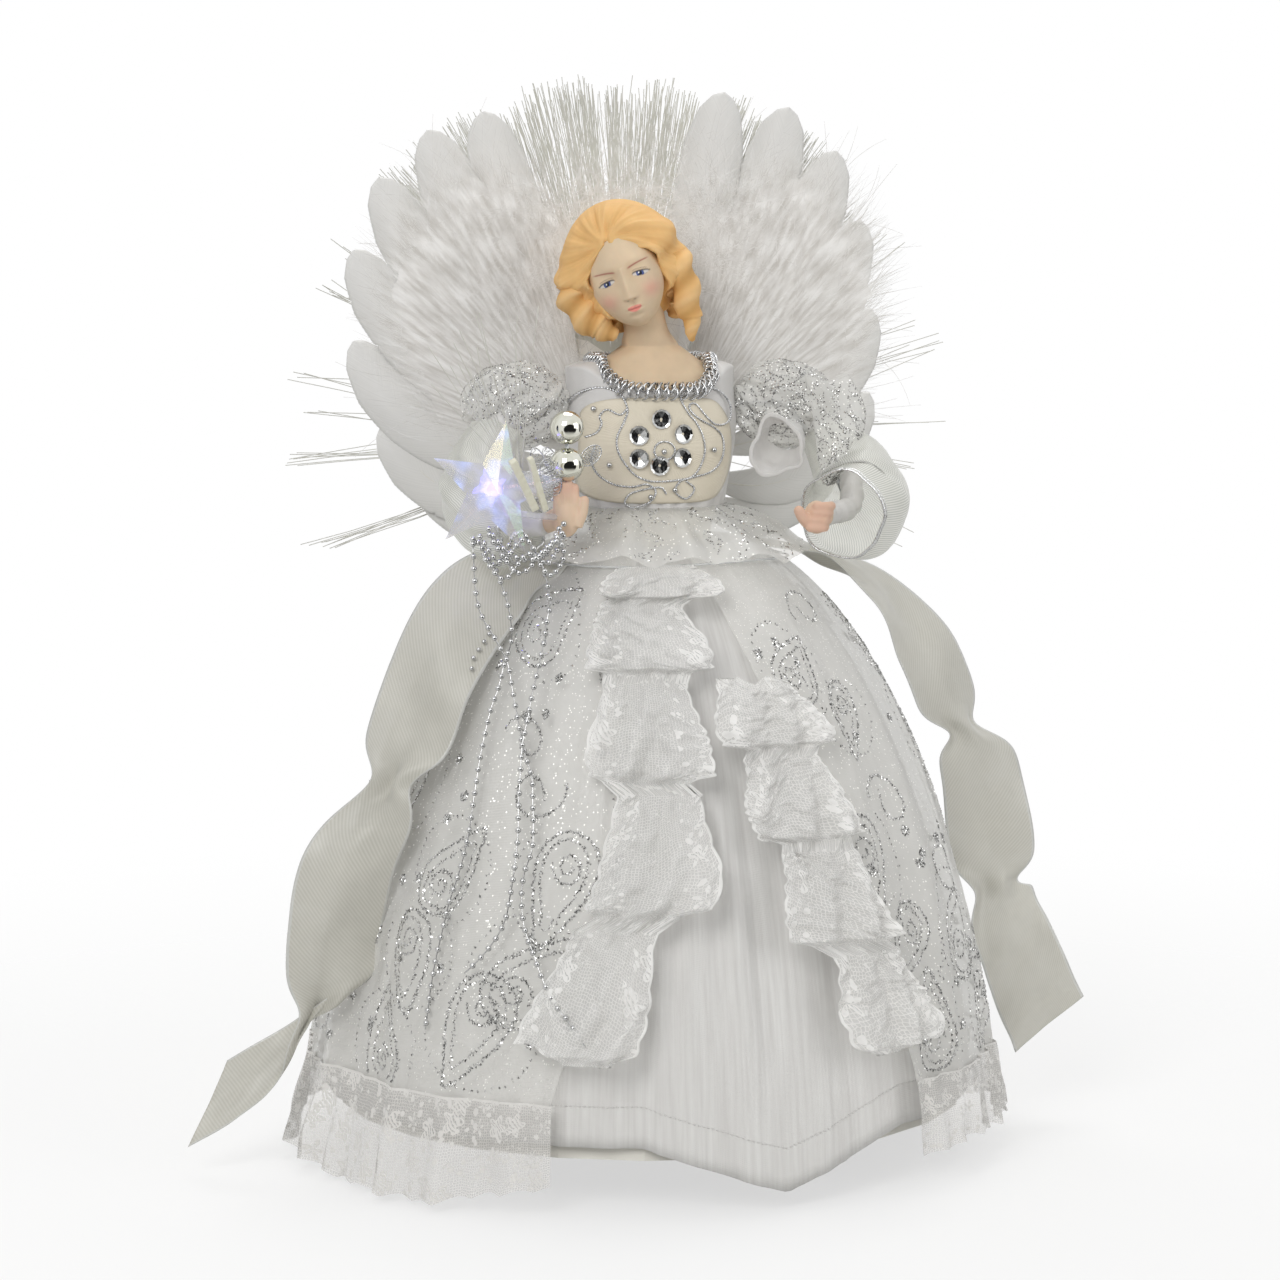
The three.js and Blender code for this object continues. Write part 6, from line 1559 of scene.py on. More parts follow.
# streaks that spread from each wing's root, 0.8 mm wide at the middle of the wing
at = add_node(tree, "ShaderNodeSeparateXYZ", {0: place.outputs["Object"]})
aside = add_node(tree, "ShaderNodeMath", {0: at}, operation="ABSOLUTE")
aside = add_node(tree, "ShaderNodeMath", {0: aside, 1: 0.012}, operation="SUBTRACT")
above = add_node(tree, "ShaderNodeMath", {0: at.outputs[2], 1: 0.255}, operation="SUBTRACT")
angle = add_node(tree, "ShaderNodeMath", {0: above, 1: aside}, operation="ARCTAN2")
angle = add_node(tree, "ShaderNodeMath", {0: angle, 1: 34.0}, operation="MULTIPLY")
far = add_node(tree, "ShaderNodeMath", {0: above, 1: 70.0}, operation="MULTIPLY")
polar = add_node(tree, "ShaderNodeCombineXYZ", {0: angle, 1: far, 2: at.outputs[1]})
tuft = add_node(tree, "ShaderNodeTexNoise", {"Vector": polar, "Scale": 1.6, "Detail": 5.0})
tuft = add_node(tree, "ShaderNodeMapRange", {0: tuft, 1: 0.34, 2: 0.66, 3: 0.0, 4: 1.0})
tint = add_node(tree, "ShaderNodeMix", {0: tuft, 6: "#D3D0CB", 7: "#F4F3F1"}, data_type="RGBA")
feed(shader, {"Base Color": tint})


def barb(start, direction, length, curl, width, draw, shiver=0.05):
    """A thin silky ribbon, tapered to its tip, of one face a step."""
    points = []
    side = direction.cross(Vector((0.3 * draw.gauss(0, 1), 1, 0.3 * draw.gauss(0, 1)))).normalized()
    here, ahead = start.copy(), direction.copy()
    steps = 6
    for k in range(steps + 1):
        wide = width * (1 - 0.85 * k / steps)
        points += [here - side * wide, here + side * wide]
        sway = Vector((draw.gauss(0, shiver), draw.gauss(0, shiver * 0.5), draw.gauss(0, shiver)))
        ahead = (ahead + curl + sway).normalized()
        here = here + ahead * length / steps
    return points, [(2 * k, 2 * k + 1, 2 * k + 3, 2 * k + 2) for k in range(steps)]


def shade_as_fibres(piece, own=0.22):
    """Fine pale fibres pass light on, so each face shades nearly as if it faced the front or the back squarely."""
    turned = []
    for face in piece.data.polygons:
        slope = face.normal * own + Vector((0, math.copysign(1, face.normal.y), 0.12))
        turned += [slope.normalized()] * face.loop_total
    piece.data.normals_split_custom_set(turned)


pad_wide, pad_high = 34, 46
for side, name in ((-1, "right"), (1, "left")):
    draw = random.Random(31 + side)
    centre, root = Vector((side * 57, 24.7, 318)), Vector((side * 12, 24.7, 262))
    core_rows, core_cols = 26, 60
    points, faces = [], []
    for r in range(core_rows + 1):
        for c in range(core_cols):
            tilt, round_ = r / core_rows * math.pi / 2, c / core_cols * 2 * math.pi
            ragged = 1 + 0.05 * math.sin(5 * round_ + side) + 0.04 * math.sin(11 * round_) \
                + 0.03 * math.sin(23 * round_)
            wide = math.sin(tilt) ** 0.9 * ragged
            lumps = 0.9 + 0.22 * noise.noise(Vector((math.cos(round_) * wide * 2, math.sin(round_) * wide * 2, side)))
            points.append(centre + Vector((pad_wide * wide * math.cos(round_), -6.2 * math.cos(tilt) ** 1.5 * lumps,
                                           pad_high * wide * math.sin(round_))))
    for r in range(core_rows):
        for c in range(core_cols):
            a, b = r * core_cols + c, r * core_cols + (c + 1) % core_cols
            faces.append((a, a + core_cols, b + core_cols, b))
    faces.append(tuple(core_rows * core_cols + c for c in range(core_cols)))
    pad = [(points, faces)]
    for k in range(5600):
        across, up = draw.uniform(-1.1, 1.1), draw.uniform(-1.1, 1.15)
        far = across * across + up * up
        if far > 1.15 or (far > 0.7 and draw.random() > 0.6):
            continue
        high = 6.4 * max(0.0, 1 - far) ** 0.75
        start = centre + Vector((pad_wide * across, -high + 0.4, pad_high * up))
        away = Vector((start.x - root.x, 0, start.z - root.z)).normalized()
        way = (away + Vector((draw.gauss(0, 0.2), -0.06 - 0.1 * draw.random(), draw.gauss(0, 0.2)))).normalized()
        curl = Vector((draw.gauss(0, 0.035), 0.015, draw.gauss(0, 0.035)))
        pad.append(barb(start, way, draw.uniform(10, 24), curl, 0.14, draw))
    fluff = mesh_piece(f"{name}_wing_down", *merged(*pad), down)
    shade_as_fibres(fluff)
    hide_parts(f"{name}_down_pad")
    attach(fluff, "figure")
    fluff.visible_shadow = False

    strays = []
    for k in range(420):
        angle = math.radians(draw.uniform(-62, 68))
        start = root + Vector((side * draw.uniform(10, 70) * math.cos(angle * 0.6), -draw.uniform(4, 9),
                               draw.uniform(5, 95)))
        outward = Vector((start.x - root.x, 0, start.z - root.z)).normalized()
        if k % 3 == 0:
            outward = Vector((-side * 0.9, -0.25, draw.uniform(-0.2, 0.9))).normalized()
        if k > 190:
            # the fluff that fills the gap between the wings, behind the top of her head
            start = Vector((side * draw.uniform(2, 36), draw.uniform(16, 23), draw.uniform(322, 362)))
            outward = Vector((side * draw.uniform(-0.9, 0.9), -0.1, draw.uniform(-0.1, 1))).normalized()
        way = (outward + Vector((draw.gauss(0, 0.4), -0.1, draw.gauss(0, 0.4)))).normalized()
        curl = Vector((draw.gauss(0, 0.09), 0.0, draw.gauss(0, 0.09)))
        line, ahead = [start], way
        for step in range(10):
            ahead = (ahead + curl).normalized()
            line.append(line[-1] + ahead * draw.uniform(2.2, 5.0))
        strays.append(tube_along(line, list(np.linspace(0.16, 0.06, 11)), 3))
    loose = mesh_piece(f"{name}_stray_barbs", *merged(*strays), down)
    shade_as_fibres(loose)
    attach(loose, "figure")
    loose.visible_shadow = False

# ---------------------------------------------------------------------------------------------
# Halo: drawn acrylic fibres fanned out of the card's hub, thick bunches above her head and thin tufts
# to both sides, each cut to its own length. Real ones of 0.25 mm are modelled at 0.34 mm so that they show.

halo_fibre = mottled("drawn acrylic fibre", "#D0CFC6", 0.55, 90, tints=("#BDBCB3", "#DAD9D1"), IOR=1.49)
halo_reach, hub_radius, halo_half_turn = 133, 14, 112.0
draw = random.Random(77)
# bunches: middle angle, spread at the hub, fibres, and length as a share of the full reach
bunches = [(-45 + 90 * k / 43 + draw.uniform(-0.7, 0.7), 1.25, 22, 1 + draw.uniform(-0.07, 0.02)) for k in range(44)]
bunches += [(a + draw.uniform(-2, 2), 1.7, n, long) for a, n, long in
            [(-50, 6, 0.92), (-57, 4, 0.98), (-66, 9, 0.97), (-78, 4, 0.99), (-84, 3, 0.9), (-95, 8, 0.97),
             (-108, 9, 0.93),
             (50, 6, 0.92), (58, 7, 0.98), (68, 3, 0.95), (76, 6, 0.99), (88, 3, 0.97), (97, 4, 0.9), (108, 3, 0.92)]]
fibres = []
for middle_angle, spread, count, long in bunches:
    for _ in range(count):
        slip = draw.gauss(0, spread)
        depth = draw.uniform(38.6, 50.4)
        reach = halo_reach * long + draw.gauss(0, 3.2)
        reach = min(halo_reach + 6.0, reach * (1.0 if draw.random() > 0.12 else draw.uniform(0.6, 0.9)))
        tilt, hook = draw.gauss(0, 0.012), draw.gauss(0, 1.1)
        line = []
        for k in range(7):
            share = k / 6
            r = hub_radius + (reach - hub_radius) * share
            turn = middle_angle + slip * (1 - 0.7 * soft(0.55, 1.0, share)) + hook * share ** 3
            turn = math.radians(max(-halo_half_turn, min(halo_half_turn, turn)))
            line.append(Vector((r * math.sin(turn), depth + tilt * r * share, fan_height + r * math.cos(turn))))
        fibres.append(tube_along(line, 0.17, 3))
# the hub where they are cast in clear glue
hub = []
for k in range(25):
    turn = math.radians(halo_half_turn * (k / 12 - 1))
    hub.append([Vector((r * math.sin(turn), y, fan_height + r * math.cos(turn))) for r, y in
                ((12.2, 38.3), (26.6, 38.6), (27, 44), (26.4, 50.6), (12.4, 50.7), (11.9, 44))])
points = [p for ring_ in hub for p in ring_]
faces = [(a * 6 + b, a * 6 + (b + 1) % 6, a * 6 + 6 + (b + 1) % 6, a * 6 + 6 + b) for a in range(24) for b in range(6)]
faces += [tuple(range(6))[::-1], tuple(range(144, 150))]
halo = mesh_piece("halo_fibres", *merged((points, faces), *fibres), halo_fibre)
outward_faces(halo)
shade_as_fibres(halo, 0.35)
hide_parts("fibre_halo")
halo.visible_shadow = False
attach(halo, "figure")

# ---------------------------------------------------------------------------------------------
# Sleeves: a gathered puff of glitter organza on each shoulder, a satin undersleeve on her left
# arm, and wide bell cuffs of ribbed organza with a silver wire in the hem.

arm_of = {-1: "right_arm", 1: "left_arm"}
puff_middle, puff_radii = Vector((52, 0, 281)), Vector((21, 15, 17))


def puff_point(side):
    """A gathered ball round the shoulder, its ends drawn in towards the bodice and the cuff."""
    axis = Vector((side * 0.82, -0.11, -0.56)).normalized()
    aside = axis.cross(Vector((0, 1, 0))).normalized()
    front = axis.cross(aside).normalized()

    def point_at(i, j):
        turn, polar = i * 2 * math.pi, math.pi * (0.1 + 0.75 * j)
        gather = math.sin(polar) ** 0.7
        swell = 1 - 0.05 * (1 - math.cos(9 * turn)) * gather - 0.03 * (1 - math.cos(17 * turn + 2 * polar)) * gather
        swell += 0.045 * noise.noise(Vector((3 * math.sin(turn), 3 * math.cos(turn), 3 * polar + side)))
        way = (aside * math.cos(turn) + front * math.sin(turn)) * math.sin(polar) - axis * math.cos(polar)
        return Vector((side * puff_middle.x, 0, puff_middle.z)) + puff_radii * way * swell

    return point_at


elbow_out, hand_forward, hand_height, arm_rise = 52, 47, 241, 40


def sleeve_point(side, shares, full_radius, ripples, depth, seed=0):
    """Rings along a bent sleeve: reach, forward and up as shares, and width as a share of the radius."""
    line = curve_through([(side * elbow_out * a, -hand_forward * b, hand_height + arm_rise * c)
                          for a, b, c, w in shares], 12)
    widths = curve_through([(w, 0, 0) for a, b, c, w in shares], 12)

    def point_at(i, j):
        k, here, wide = part_way(j, line, widths)
        ahead = (line[min(k + 2, len(line) - 1)] - line[max(k - 1, 0)]).normalized()
        aside = ahead.cross(Vector((0, 0, 1))).normalized()
        top = aside.cross(ahead).normalized()
        wide = wide.x * full_radius
        turn = i * 2 * math.pi
        wide *= 1 - depth * (1 - math.cos(ripples * turn + seed)) * (0.4 + 0.6 * j)
        wide *= 1 + 0.06 * noise.noise(Vector((2 * math.cos(turn), 2 * math.sin(turn), 3 * j + seed)))
        return here + aside * math.sin(turn) * wide + top * math.cos(turn) * wide

    return point_at


# Ribbed organza: fine cords woven in every 0.8 mm, stiff enough to stand open as a bell
ribbed, tree, shader = woven_cloth("ribbed organza", "#D6D7CE", "#C8C9C0", 0.8, 0.4, sheen=0.45, alpha=0.8,
                                   strength=0.3)
cloth = add_node(tree, "ShaderNodeUVMap", uv_map="UVMap")
rib = add_node(tree, "ShaderNodeTexWave", {"Vector": cloth, "Scale": 0.39, "Distortion": 0.15}, bands_direction="X")
# painted sheen: broad lighter and darker patches over the cloth's colour
glow = add_node(tree, "ShaderNodeTexNoise", {"Vector": cloth, "Scale": 0.09, "Detail": 3.0})
mix = add_node(tree, "ShaderNodeMath", {0: rib.outputs["Fac"], 1: 0.45}, operation="MULTIPLY")
mix = add_node(tree, "ShaderNodeMath", {0: mix, 1: glow}, operation="ADD")
tint = add_node(tree, "ShaderNodeMix", {0: mix, 6: "#C0C1B7", 7: "#DEDED7"}, data_type="RGBA")
see = add_node(tree, "ShaderNodeMapRange", {0: rib.outputs["Fac"], 3: 0.62, 4: 0.9})
feed(shader, {"Base Color": tint, "Alpha": see})

small_grain = (0.42, 0.8)
for side, name in ((-1, "right"), (1, "left")):
    swollen = puff_point(side)
    puff = shaped_grid(f"{name}_puff_organza", 150, 60, swollen, sheer_glitter, wrapped=True, size=(120, 60))
    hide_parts(f"{name}_sleeve_puff")
    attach(puff, arm_of[side])
    puff.visible_shadow = False
    grains, draw = [], random.Random(60 + side)
    for k in range(13000):
        i, j = draw.random(), math.acos(1 - 2 * draw.random()) / math.pi
        print_line = math.sin(14 * i * math.pi + 4 * math.sin(9 * j)) + math.sin(21 * j + 5 * math.cos(8 * i * math.pi))
        if abs(print_line) > 0.3 and draw.random() > 0.14:
            continue
        here = swollen(i, j)
        normal = Vector(((here.x - side * puff_middle.x) / puff_radii.x ** 2, here.y / puff_radii.y ** 2,
                         (here.z - puff_middle.z) / puff_radii.z ** 2)).normalized()
        grains.append(laid_grain(here, normal, 0.3, 0.2, draw) @ Matrix.Scale(draw.uniform(*small_grain), 4))
    dusting = mesh_piece(f"{name}_puff_glitter", *copies(grain_shape, grains), glitter, smooth=False)
    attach(dusting, arm_of[side])

# On her left arm the puff's cloth hangs on in a pointed tail beside the undersleeve
line = curve_through([(66, -14.5, 290), (70, -16.5, 276), (69, -20, 262), (63.5, -24, 251)], 12)
widths = curve_through([(half, 0, 0) for half in (8.5, 10.5, 8.0, 2.2)], 12)


def tail_point(i, j, line=line, widths=widths):
    _, here, wide = part_way(j, line, widths)
    off = 2 * i - 1
    wave = 1.3 * math.sin(3.4 * off + 7 * j) * (0.3 + j) + 0.6 * noise.noise(Vector((3 * off, 5 * j, 3)))
    return here + Vector((off * wide.x, wave + 3.4 * off * off, 0.25 * wide.x * off * off))


panel = shaped_grid("left_puff_tail_outer", 26, 48, tail_point, sheer_glitter, size=(20, 44))
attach(panel, "left_arm")
panel.visible_shadow = False
grains, draw = [], random.Random(5)
for k in range(2400):
    i, j = draw.random(), draw.random() ** 0.7
    if abs(math.sin(19 * i + 5 * math.sin(7 * j)) + math.sin(15 * j + 4 * i)) > 0.6 and draw.random() > 0.3 * j:
        continue
    tip = Vector((draw.gauss(0, 0.35), -1, draw.gauss(0, 0.35))).normalized()
    grain = tip.to_track_quat("Z", "Y").to_matrix().to_4x4()
    grain.translation = tail_point(i, j) + Vector((0, -0.2, 0))
    grains.append(grain @ Matrix.Scale(draw.uniform(*small_grain), 4))
dusting = mesh_piece("left_puff_tail_outer_glitter", *copies(grain_shape, grains), glitter, smooth=False)
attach(dusting, "left_arm")
hem_line = [tail_point(0.0, k / 40) for k in range(41)] + [tail_point(1.0, 1 - k / 40) for k in range(41)]
selvedge = mesh_piece("left_puff_tail_outer_edge", *tube_along(hem_line, 0.22, 5), sheer_glitter,
                      uv=[(0, 0)] * (len(hem_line) * 5))
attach(selvedge, "left_arm")

# Bell cuffs: reach, forward, up and width of each ring down them, as shares
left_cuff_shares = [[1.27, 0.04, 0.76, 0.43], [1.47, 0.2, 0.36, 0.8], [1.44, 0.47, 0.04, 0.98], [1.24, 0.77, 0, 0.85]]
right_cuff_shares = [[1.14, 0.08, 0.74, 0.55], [1.32, 0.28, 0.28, 0.75], [1.22, 0.56, -0.04, 0.8],
                     [1.1, 0.76, -0.08, 0.65]]
for side, name, shares, folds, deep in ((-1, "right", right_cuff_shares, 9, 0.075),
                                        (1, "left", left_cuff_shares, 5, 0.035)):
    bell = sleeve_point(side, shares, 20, folds, deep, seed=side)
    cuff = shaped_grid(f"{name}_cuff_organza", 130, 60, bell, ribbed, wrapped=True, size=(100, 62))
    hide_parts(f"{name}_cuff")
    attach(cuff, arm_of[side])
    cuff.visible_shadow = False
    rim, inner_rim = ([bell(k / 120, down) for k in range(121)] for down in (1.0, 0.965))
    edging = mesh_piece(f"{name}_cuff_edge", *merged(tube_along(rim, 0.42, 6), tube_along(inner_rim, 0.22, 5)), bullion)
    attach(edging, arm_of[side])

left_satin_shares = [[0.99, 0.16, 0.72, 0.68], [0.9, 0.36, 0.64, 0.9], [0.82, 0.52, 0.6, 1.04]]
satin_tube = sleeve_point(1, left_satin_shares, 9.5, 3, 0.04)


def undersleeve_point(i, j):
    """A funnel whose mouth dips in front and is turned over by a hair."""
    here = satin_tube(i, min(1.0, j / 0.93))
    middle = sum((satin_tube(k / 8, 1.0) for k in range(8)), Vector()) / 8
    out = (here - middle).normalized()
    turn = i * 2 * math.pi
    edge = soft(0.5, 1.0, j)
    here += out * edge * (0.9 * math.cos(2 * turn + 0.6) + 0.5 * math.sin(5 * turn) + 1.5 * soft(0.93, 1.0, j))
    here.z += edge * (1.6 * math.sin(2 * turn + 1.0))
    return here


undersleeve = shaped_grid("left_undersleeve_satin", 90, 50, undersleeve_point, satin, wrapped=True, size=(56, 24))
with_thickness(undersleeve, 0.35)
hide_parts("left_undersleeve")
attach(undersleeve, "left_arm")
undersleeve.visible_shadow = False

# Each arm wire is wrapped in white cloth from the puff to the hand, inside the cuff
for name, path in (
    ("right", [(-58, -8, 277), (-66, -11, 263), (-68, -20, 247), (-60, -33, 239), (-50, -44, 240)]),
    ("left", [(62, -6, 277), (70, -7, 266), (75, -12, 253), (72, -23, 243.5), (63, -33, 241.5), (56.5, -37.5, 241)]),
):
    line = curve_through(path, 8)
    radii = [4.6 + 0.35 * math.sin(k * 1.9) + 0.25 * math.sin(k * 0.7) - 0.8 * k / len(line) for k in range(len(line))]
    wrapped = tube_along(line, radii, 20)
    sleeve = mesh_piece(f"{name}_arm_wrapping", *wrapped, satin,
                        uv=[(k % 20, k // 20 * 1.5) for k in range(len(wrapped[0]))])
    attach(sleeve, f"{name}_arm")
    sleeve.visible_shadow = False

# ---------------------------------------------------------------------------------------------
# Hands: bisque, cast with the fingers together and the thumb apart, tinted pink at their tips.
# Each is glued over the end of its arm's wire, and the posy is tied to her right one.

# where the knuckles and the wrist are, and whether the hand is open upwards
hand_plans = {
    "right": dict(at=Vector((-44.2, -50, 244)), wrist=Vector((-52, -39, 238)), up=True),
    "left": dict(at=Vector((50.4, -43.7, 240.7)), wrist=Vector((60.8, -33.8, 241)), up=False),
}
for name, plan in hand_plans.items():
    here, wrist = plan["at"], plan["wrist"]
    wrist_end = wrist + (wrist - here) * (0.35 if name == "left" else -0.25)
    rounds = [tube_along(curve_through([wrist_end, (wrist_end + here) / 2, here - Vector((0, 0, 1))], 8),
                         list(np.linspace(3.4, 4.6, 17)), 16)]
    bpy.ops.mesh.primitive_uv_sphere_add(segments=24, ring_count=16, radius=1 * mm)
    ball_points, ball_faces = shape_of(bpy.context.object)
    if plan["up"]:
        # a flat open hand: fingers side by side, parted only by shallow lines, and the thumb beside them
        rounds.append((ball_points * np.array([5.3, 3.3, 7.5]) + np.array(here + Vector((0.3, 0, -1))), ball_faces))
        for i, long in enumerate((8.6, 10.4, 11.0, 9.6)):
            across = (i - 1.5) * 2.15
            root = here + Vector((across, 0, 0))
            line = curve_through([root, root + Vector((0, -1.0, long * 0.5)),
                                  root + Vector((across * 0.04, -0.5, long))], 6)
            rounds.append(tube_along(line, [1.75 - 0.02 * k for k in range(len(line))], 12))
            rounds.append((ball_points * 1.45 + np.array(line[-1]), ball_faces))
        root = here + Vector((3.8, -1.2, -4.5))
        line = curve_through([root, root + Vector((2.0, -0.9, 5)), root + Vector((2.7, -1.0, 9.5))], 6)
        rounds.append(tube_along(line, [2.2 - 0.04 * k for k in range(len(line))], 12))
        rounds.append((ball_points * 1.7 + np.array(line[-1]), ball_faces))
    else:
        # a loose fist seen from its thumb: one rounded mass of curled fingers, and the thumb laid before it
        rounds.append((ball_points * np.array([4.9, 4.8, 6.2]) + np.array(here + Vector((2.0, 0, 0))), ball_faces))
        for i in range(4):
            at = here + Vector((3.4 - 0.9 * i, -3.6 - 0.2 * i, 4.2 - 2.6 * i))
            line = curve_through([at + Vector((4.2, 2.4, 0)), at + Vector((1.6, -0.3, 0)),
                                  at + Vector((-2.2, 0.6, 0))], 6)
            rounds.append(tube_along(line, 1.75, 12))
            rounds.append((ball_points * 1.7 + np.array(line[-1]), ball_faces))
        root = here + Vector((-1.5, -1.4, -2))
        line = curve_through([root, root + Vector((-2.6, -1.6, 2.2)), root + Vector((-4.4, -2.2, 4.8))], 6)
        rounds.append(tube_along(line, [2.6 - 0.05 * k for k in range(len(line))], 12))
        rounds.append((ball_points * 1.9 + np.array(line[-1]), ball_faces))
    rough = mesh_piece(f"{name}_hand_bisque", *merged(*rounds), bisque)
    active_only(rough)
    fuse = rough.modifiers.new("fuse", "REMESH")
    fuse.mode, fuse.voxel_size = "VOXEL", 0.42 * mm
    bpy.ops.object.modifier_apply(modifier=fuse.name)
    soften = rough.modifiers.new("soften", "SMOOTH")
    soften.factor, soften.iterations = 0.5, 5
    bpy.ops.object.modifier_apply(modifier=soften.name)
    rough.data.polygons.foreach_set("use_smooth", [True] * len(rough.data.polygons))
    tone = rough.data.color_attributes.new("paint", "FLOAT_COLOR", "POINT")
    pale, pink = hex_colour("#DEC4AA"), hex_colour("#DDB39D")
    for vertex, shade in zip(rough.data.vertices, tone.data):
        p = vertex.co / mm
        tipward = soft(here.z + 3, here.z + 10, p.z) if plan["up"] else soft(-here.y - 1, -here.y + 5, -p.y)
        shade.color = mixed(pale, pink, 0.75 * tipward)
    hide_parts(f"{name}_hand")
    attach(rough, f"{name}_arm")

# ---------------------------------------------------------------------------------------------
# Posy: two mirror balls on a wire pick, wire leaves, two ribbed ivory sticks and a clear star with
# a lamp behind it, all held in her right hand.

# Vacuum-metallised glass: a full mirror with a warm, slightly golden silvering
mirror = mottled("silvered glass ball", "#D9D8CC", 0.04, 240, tints=("#C9C8B6", "#E8E8E2"),
                 gloss=(0.35, 0.75, 0.02, 0.14), Metallic=1.0)
ball_x, ball_y, ball_radius = -43.6, -50, 6.2
for name, height in (("lower", 261.9), ("upper", 275.2)):
    bpy.ops.object.select_all(action="DESELECT")
    middle = Vector((ball_x, ball_y, height))
    bpy.ops.mesh.primitive_uv_sphere_add(segments=56, ring_count=36, radius=ball_radius * mm,
                                         location=(ball_x * mm, ball_y * mm, height * mm))
    ball = bpy.context.object
    ball.name = f"mirror_ball_{name}"
    bpy.ops.object.transform_apply(location=True)
    # the neck is drawn in where the wire enters, below and above
    for vertex in ball.data.vertices:
        off = vertex.co / mm - middle
        flat = math.hypot(off.x, off.y)
        if flat < 1.6:
            vertex.co.z -= math.copysign(0.5 * (1 - flat / 1.6), off.z) * mm
    ball.data.polygons.foreach_set("use_smooth", [True] * len(ball.data.polygons))
    ball.data.materials.append(mirror)
    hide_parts(f"silver_ball_{name}")
    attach(ball, "right_arm")

# Wire leaves: crimped silver wire wound to and fro round a leaf outline
leaf_lines = []
for middle, tip, wide in [(Vector((-48, -52, 251)), Vector((-52.5, -53, 264)), 3.6),
                          (Vector((-49.5, -50, 249)), Vector((-56, -50, 268)), 3.2),
                          (Vector((-38.5, -50.5, 262)), Vector((-31.5, -50.5, 268)), 3.0),
                          (Vector((-45, -48, 255)), Vector((-51, -46, 268)), 2.6)]:
    along = tip - middle
    aside = along.cross(Vector((0, 1, 0))).normalized()
    outline = [middle + along * (0.5 - 0.5 * math.cos(turn)) + aside * wide * math.sin(turn)
               for turn in (k / 24 * 2 * math.pi for k in range(25))]
    leaf_lines.append(tube_along(outline, 0.24, 5))
    wound = []
    for k in range(121):
        share = k / 120
        reach = wide * math.sin(math.pi * share) * 0.96
        wound.append(middle + along * share + aside * reach * math.cos(share * 22 * math.pi)
                     + Vector((0, 0.5 * math.sin(share * 22 * math.pi), 0)))
    leaf_lines.append(tube_along(wound, 0.16, 4))
    stalk = [middle, middle.lerp(Vector((-44.5, -50, 249)), 0.6), Vector((-44.2, -50, 246))]
    leaf_lines.append(tube_along(stalk, 0.3, 5))
leaves = mesh_piece("wire_leaves", *merged(*leaf_lines), bullion)
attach(leaves, "right_arm")

# Ivory sticks: ribbed, pressed-paper pistils with a cream lacquer
ivory = mottled("cream lacquered pistil", "#DEDBC6", 0.45, 420, 3.0, tints=("#CFCBB2", "#ECEADB"), relief=(0.3, 0.0002))
for k, (foot, way, radius) in enumerate([(Vector((-57.7, -60.1, 246.6)), Vector((-0.5, -0.54, 0.85)), 2.0),
                                         (Vector((-53.8, -59.1, 246.2)), Vector((-0.35, -0.5, 0.85)), 1.5)]):
    way = way.normalized()
    line = [foot + way * 24 * step / 72 for step in range(73)]
    ribs = [radius * (0.93 + 0.07 * abs(math.sin(step / 72 * 9 * math.pi))) for step in range(73)]
    ribs[0] *= 0.8
    ribs[-1] *= 0.8
    stick = mesh_piece(f"ivory_pistil_{k + 1}", *tube_along(line, ribs, 4), ivory, smooth=False)
    outward_faces(stick)
    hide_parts(f"ivory_stem_{k + 1}")
    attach(stick, "right_arm")

# Star: clear acrylic with an iridescent film. The violet-blue light of the lamp behind its middle is painted on the
# film as a glow, strongest at the middle and in streaks over it.
film, tree, shader = new_material("clear acrylic with iridescent film and painted glow", "#E9E6F6", 0.08, Transmission_Weight=0.9,
                                  IOR=1.49, Thin_Film_Thickness=420.0, Thin_Film_IOR=1.7, Alpha=0.6)
place = add_node(tree, "ShaderNodeTexCoord")
centred = add_node(tree, "ShaderNodeVectorMath", {0: place.outputs["Object"], 1: tuple(star_centre * mm)},
                   operation="DISTANCE")
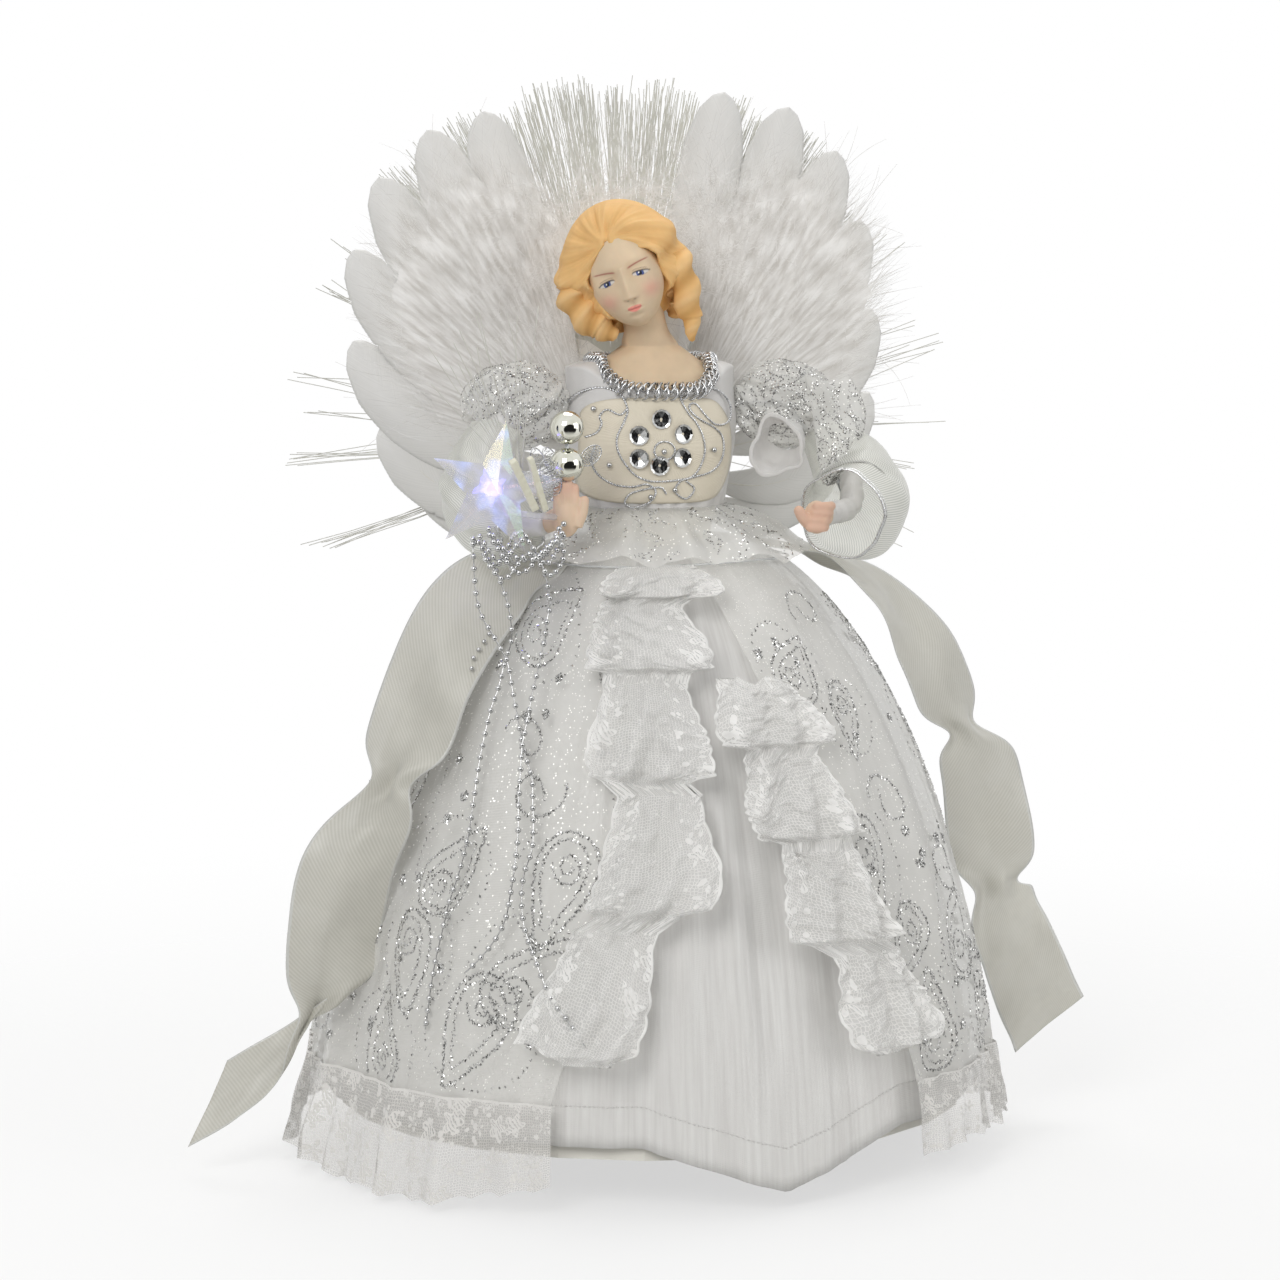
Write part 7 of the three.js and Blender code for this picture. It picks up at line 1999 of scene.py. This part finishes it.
# painted glow: strongest at the middle, fading 10 mm out, and in streaks
near = add_node(tree, "ShaderNodeMapRange", {0: centred, 1: 0.001, 2: 0.010, 3: 0.32, 4: 0.0},
                interpolation_type="SMOOTHSTEP")
facets = add_node(tree, "ShaderNodeTexNoise", {"Vector": place.outputs["Object"], "Scale": 130.0, "Detail": 1.0})
painted_glint_streak = add_node(tree, "ShaderNodeMapRange", {0: facets, 1: 0.5, 2: 0.68, 3: 0.0, 4: 0.4})
glow = add_node(tree, "ShaderNodeMath", {0: near, 1: painted_glint_streak}, operation="ADD")
hue = add_node(tree, "ShaderNodeMix", {0: facets, 6: "#6A55FF", 7: "#77B4FF"}, data_type="RGBA")
feed(shader, {"Emission Color": hue, "Emission Strength": glow})

# two middles, before and behind, and ten corners round them
star_tip, star_notch, star_half_depth = 25, 10.5, 4.0
points, faces = [star_centre + Vector((0, star_half_depth * half, 0)) for half in (-1, 1)], []
for k in range(10):
    turn = math.radians(10) + k * math.pi / 5
    r = star_tip if k % 2 == 0 else star_notch
    points.append(star_centre + Vector((r * math.sin(turn), 0, r * math.cos(turn))))
    a, b = 2 + k, 2 + (k + 1) % 10
    faces += [(0, a, b), (1, b, a)]
star = mesh_piece("star_film", points, faces, film, smooth=False)
outward_faces(star)
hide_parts("star_lens")
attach(star, "right_arm")

# A spray of the halo's fibres stands up out of the posy behind the star
draw = random.Random(91)
spray, foot = [], Vector((-59.5, -46, 256))
for k in range(15):
    lean, long, bow = math.radians(-40 + 44 * k / 14 + draw.uniform(-3, 3)), draw.uniform(44, 64), draw.gauss(0, 2.5)
    forward = draw.uniform(-2, 6)
    line = []
    for step in range(8):
        share = step / 7
        line.append(foot + Vector((math.sin(lean) * long * share + bow * share * (1 - share) * 2, forward * share,
                                   math.cos(lean) * long * share)))
    spray.append(tube_along(line, 0.15, 4))
fibres = mesh_piece("posy_fibres", *merged(*spray), halo_fibre)
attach(fibres, "right_arm")

# ---------------------------------------------------------------------------------------------
# Bead loops: one more length of the same bead string, looped to and fro under the hand where the
# garlands start. It hangs free, with its beads closer together.

looped = [(-78, -60, 237), (-71, -62, 228), (-62, -62, 236), (-54, -62, 227), (-46.5, -58, 238), (-55, -63, 232),
          (-64, -63.5, 224), (-72, -62, 233), (-75, -60, 240), (-68, -62.5, 231), (-59, -64, 229), (-50, -61.5, 235),
          (-47, -59, 229), (-53, -62.5, 223), (-61, -64, 231), (-70, -63.5, 222), (-77.5, -60.5, 231)]
line = curve_through(looped, 8)
places, length = spaced(line, 2.9)
loops = mesh_piece("posy_bead_loops", *merged(copies(bead_shape, [Matrix.Translation(p) for p in places]),
                                             tube_along(line, thread_radius, 5)), silvered)
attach(loops, "right_arm")
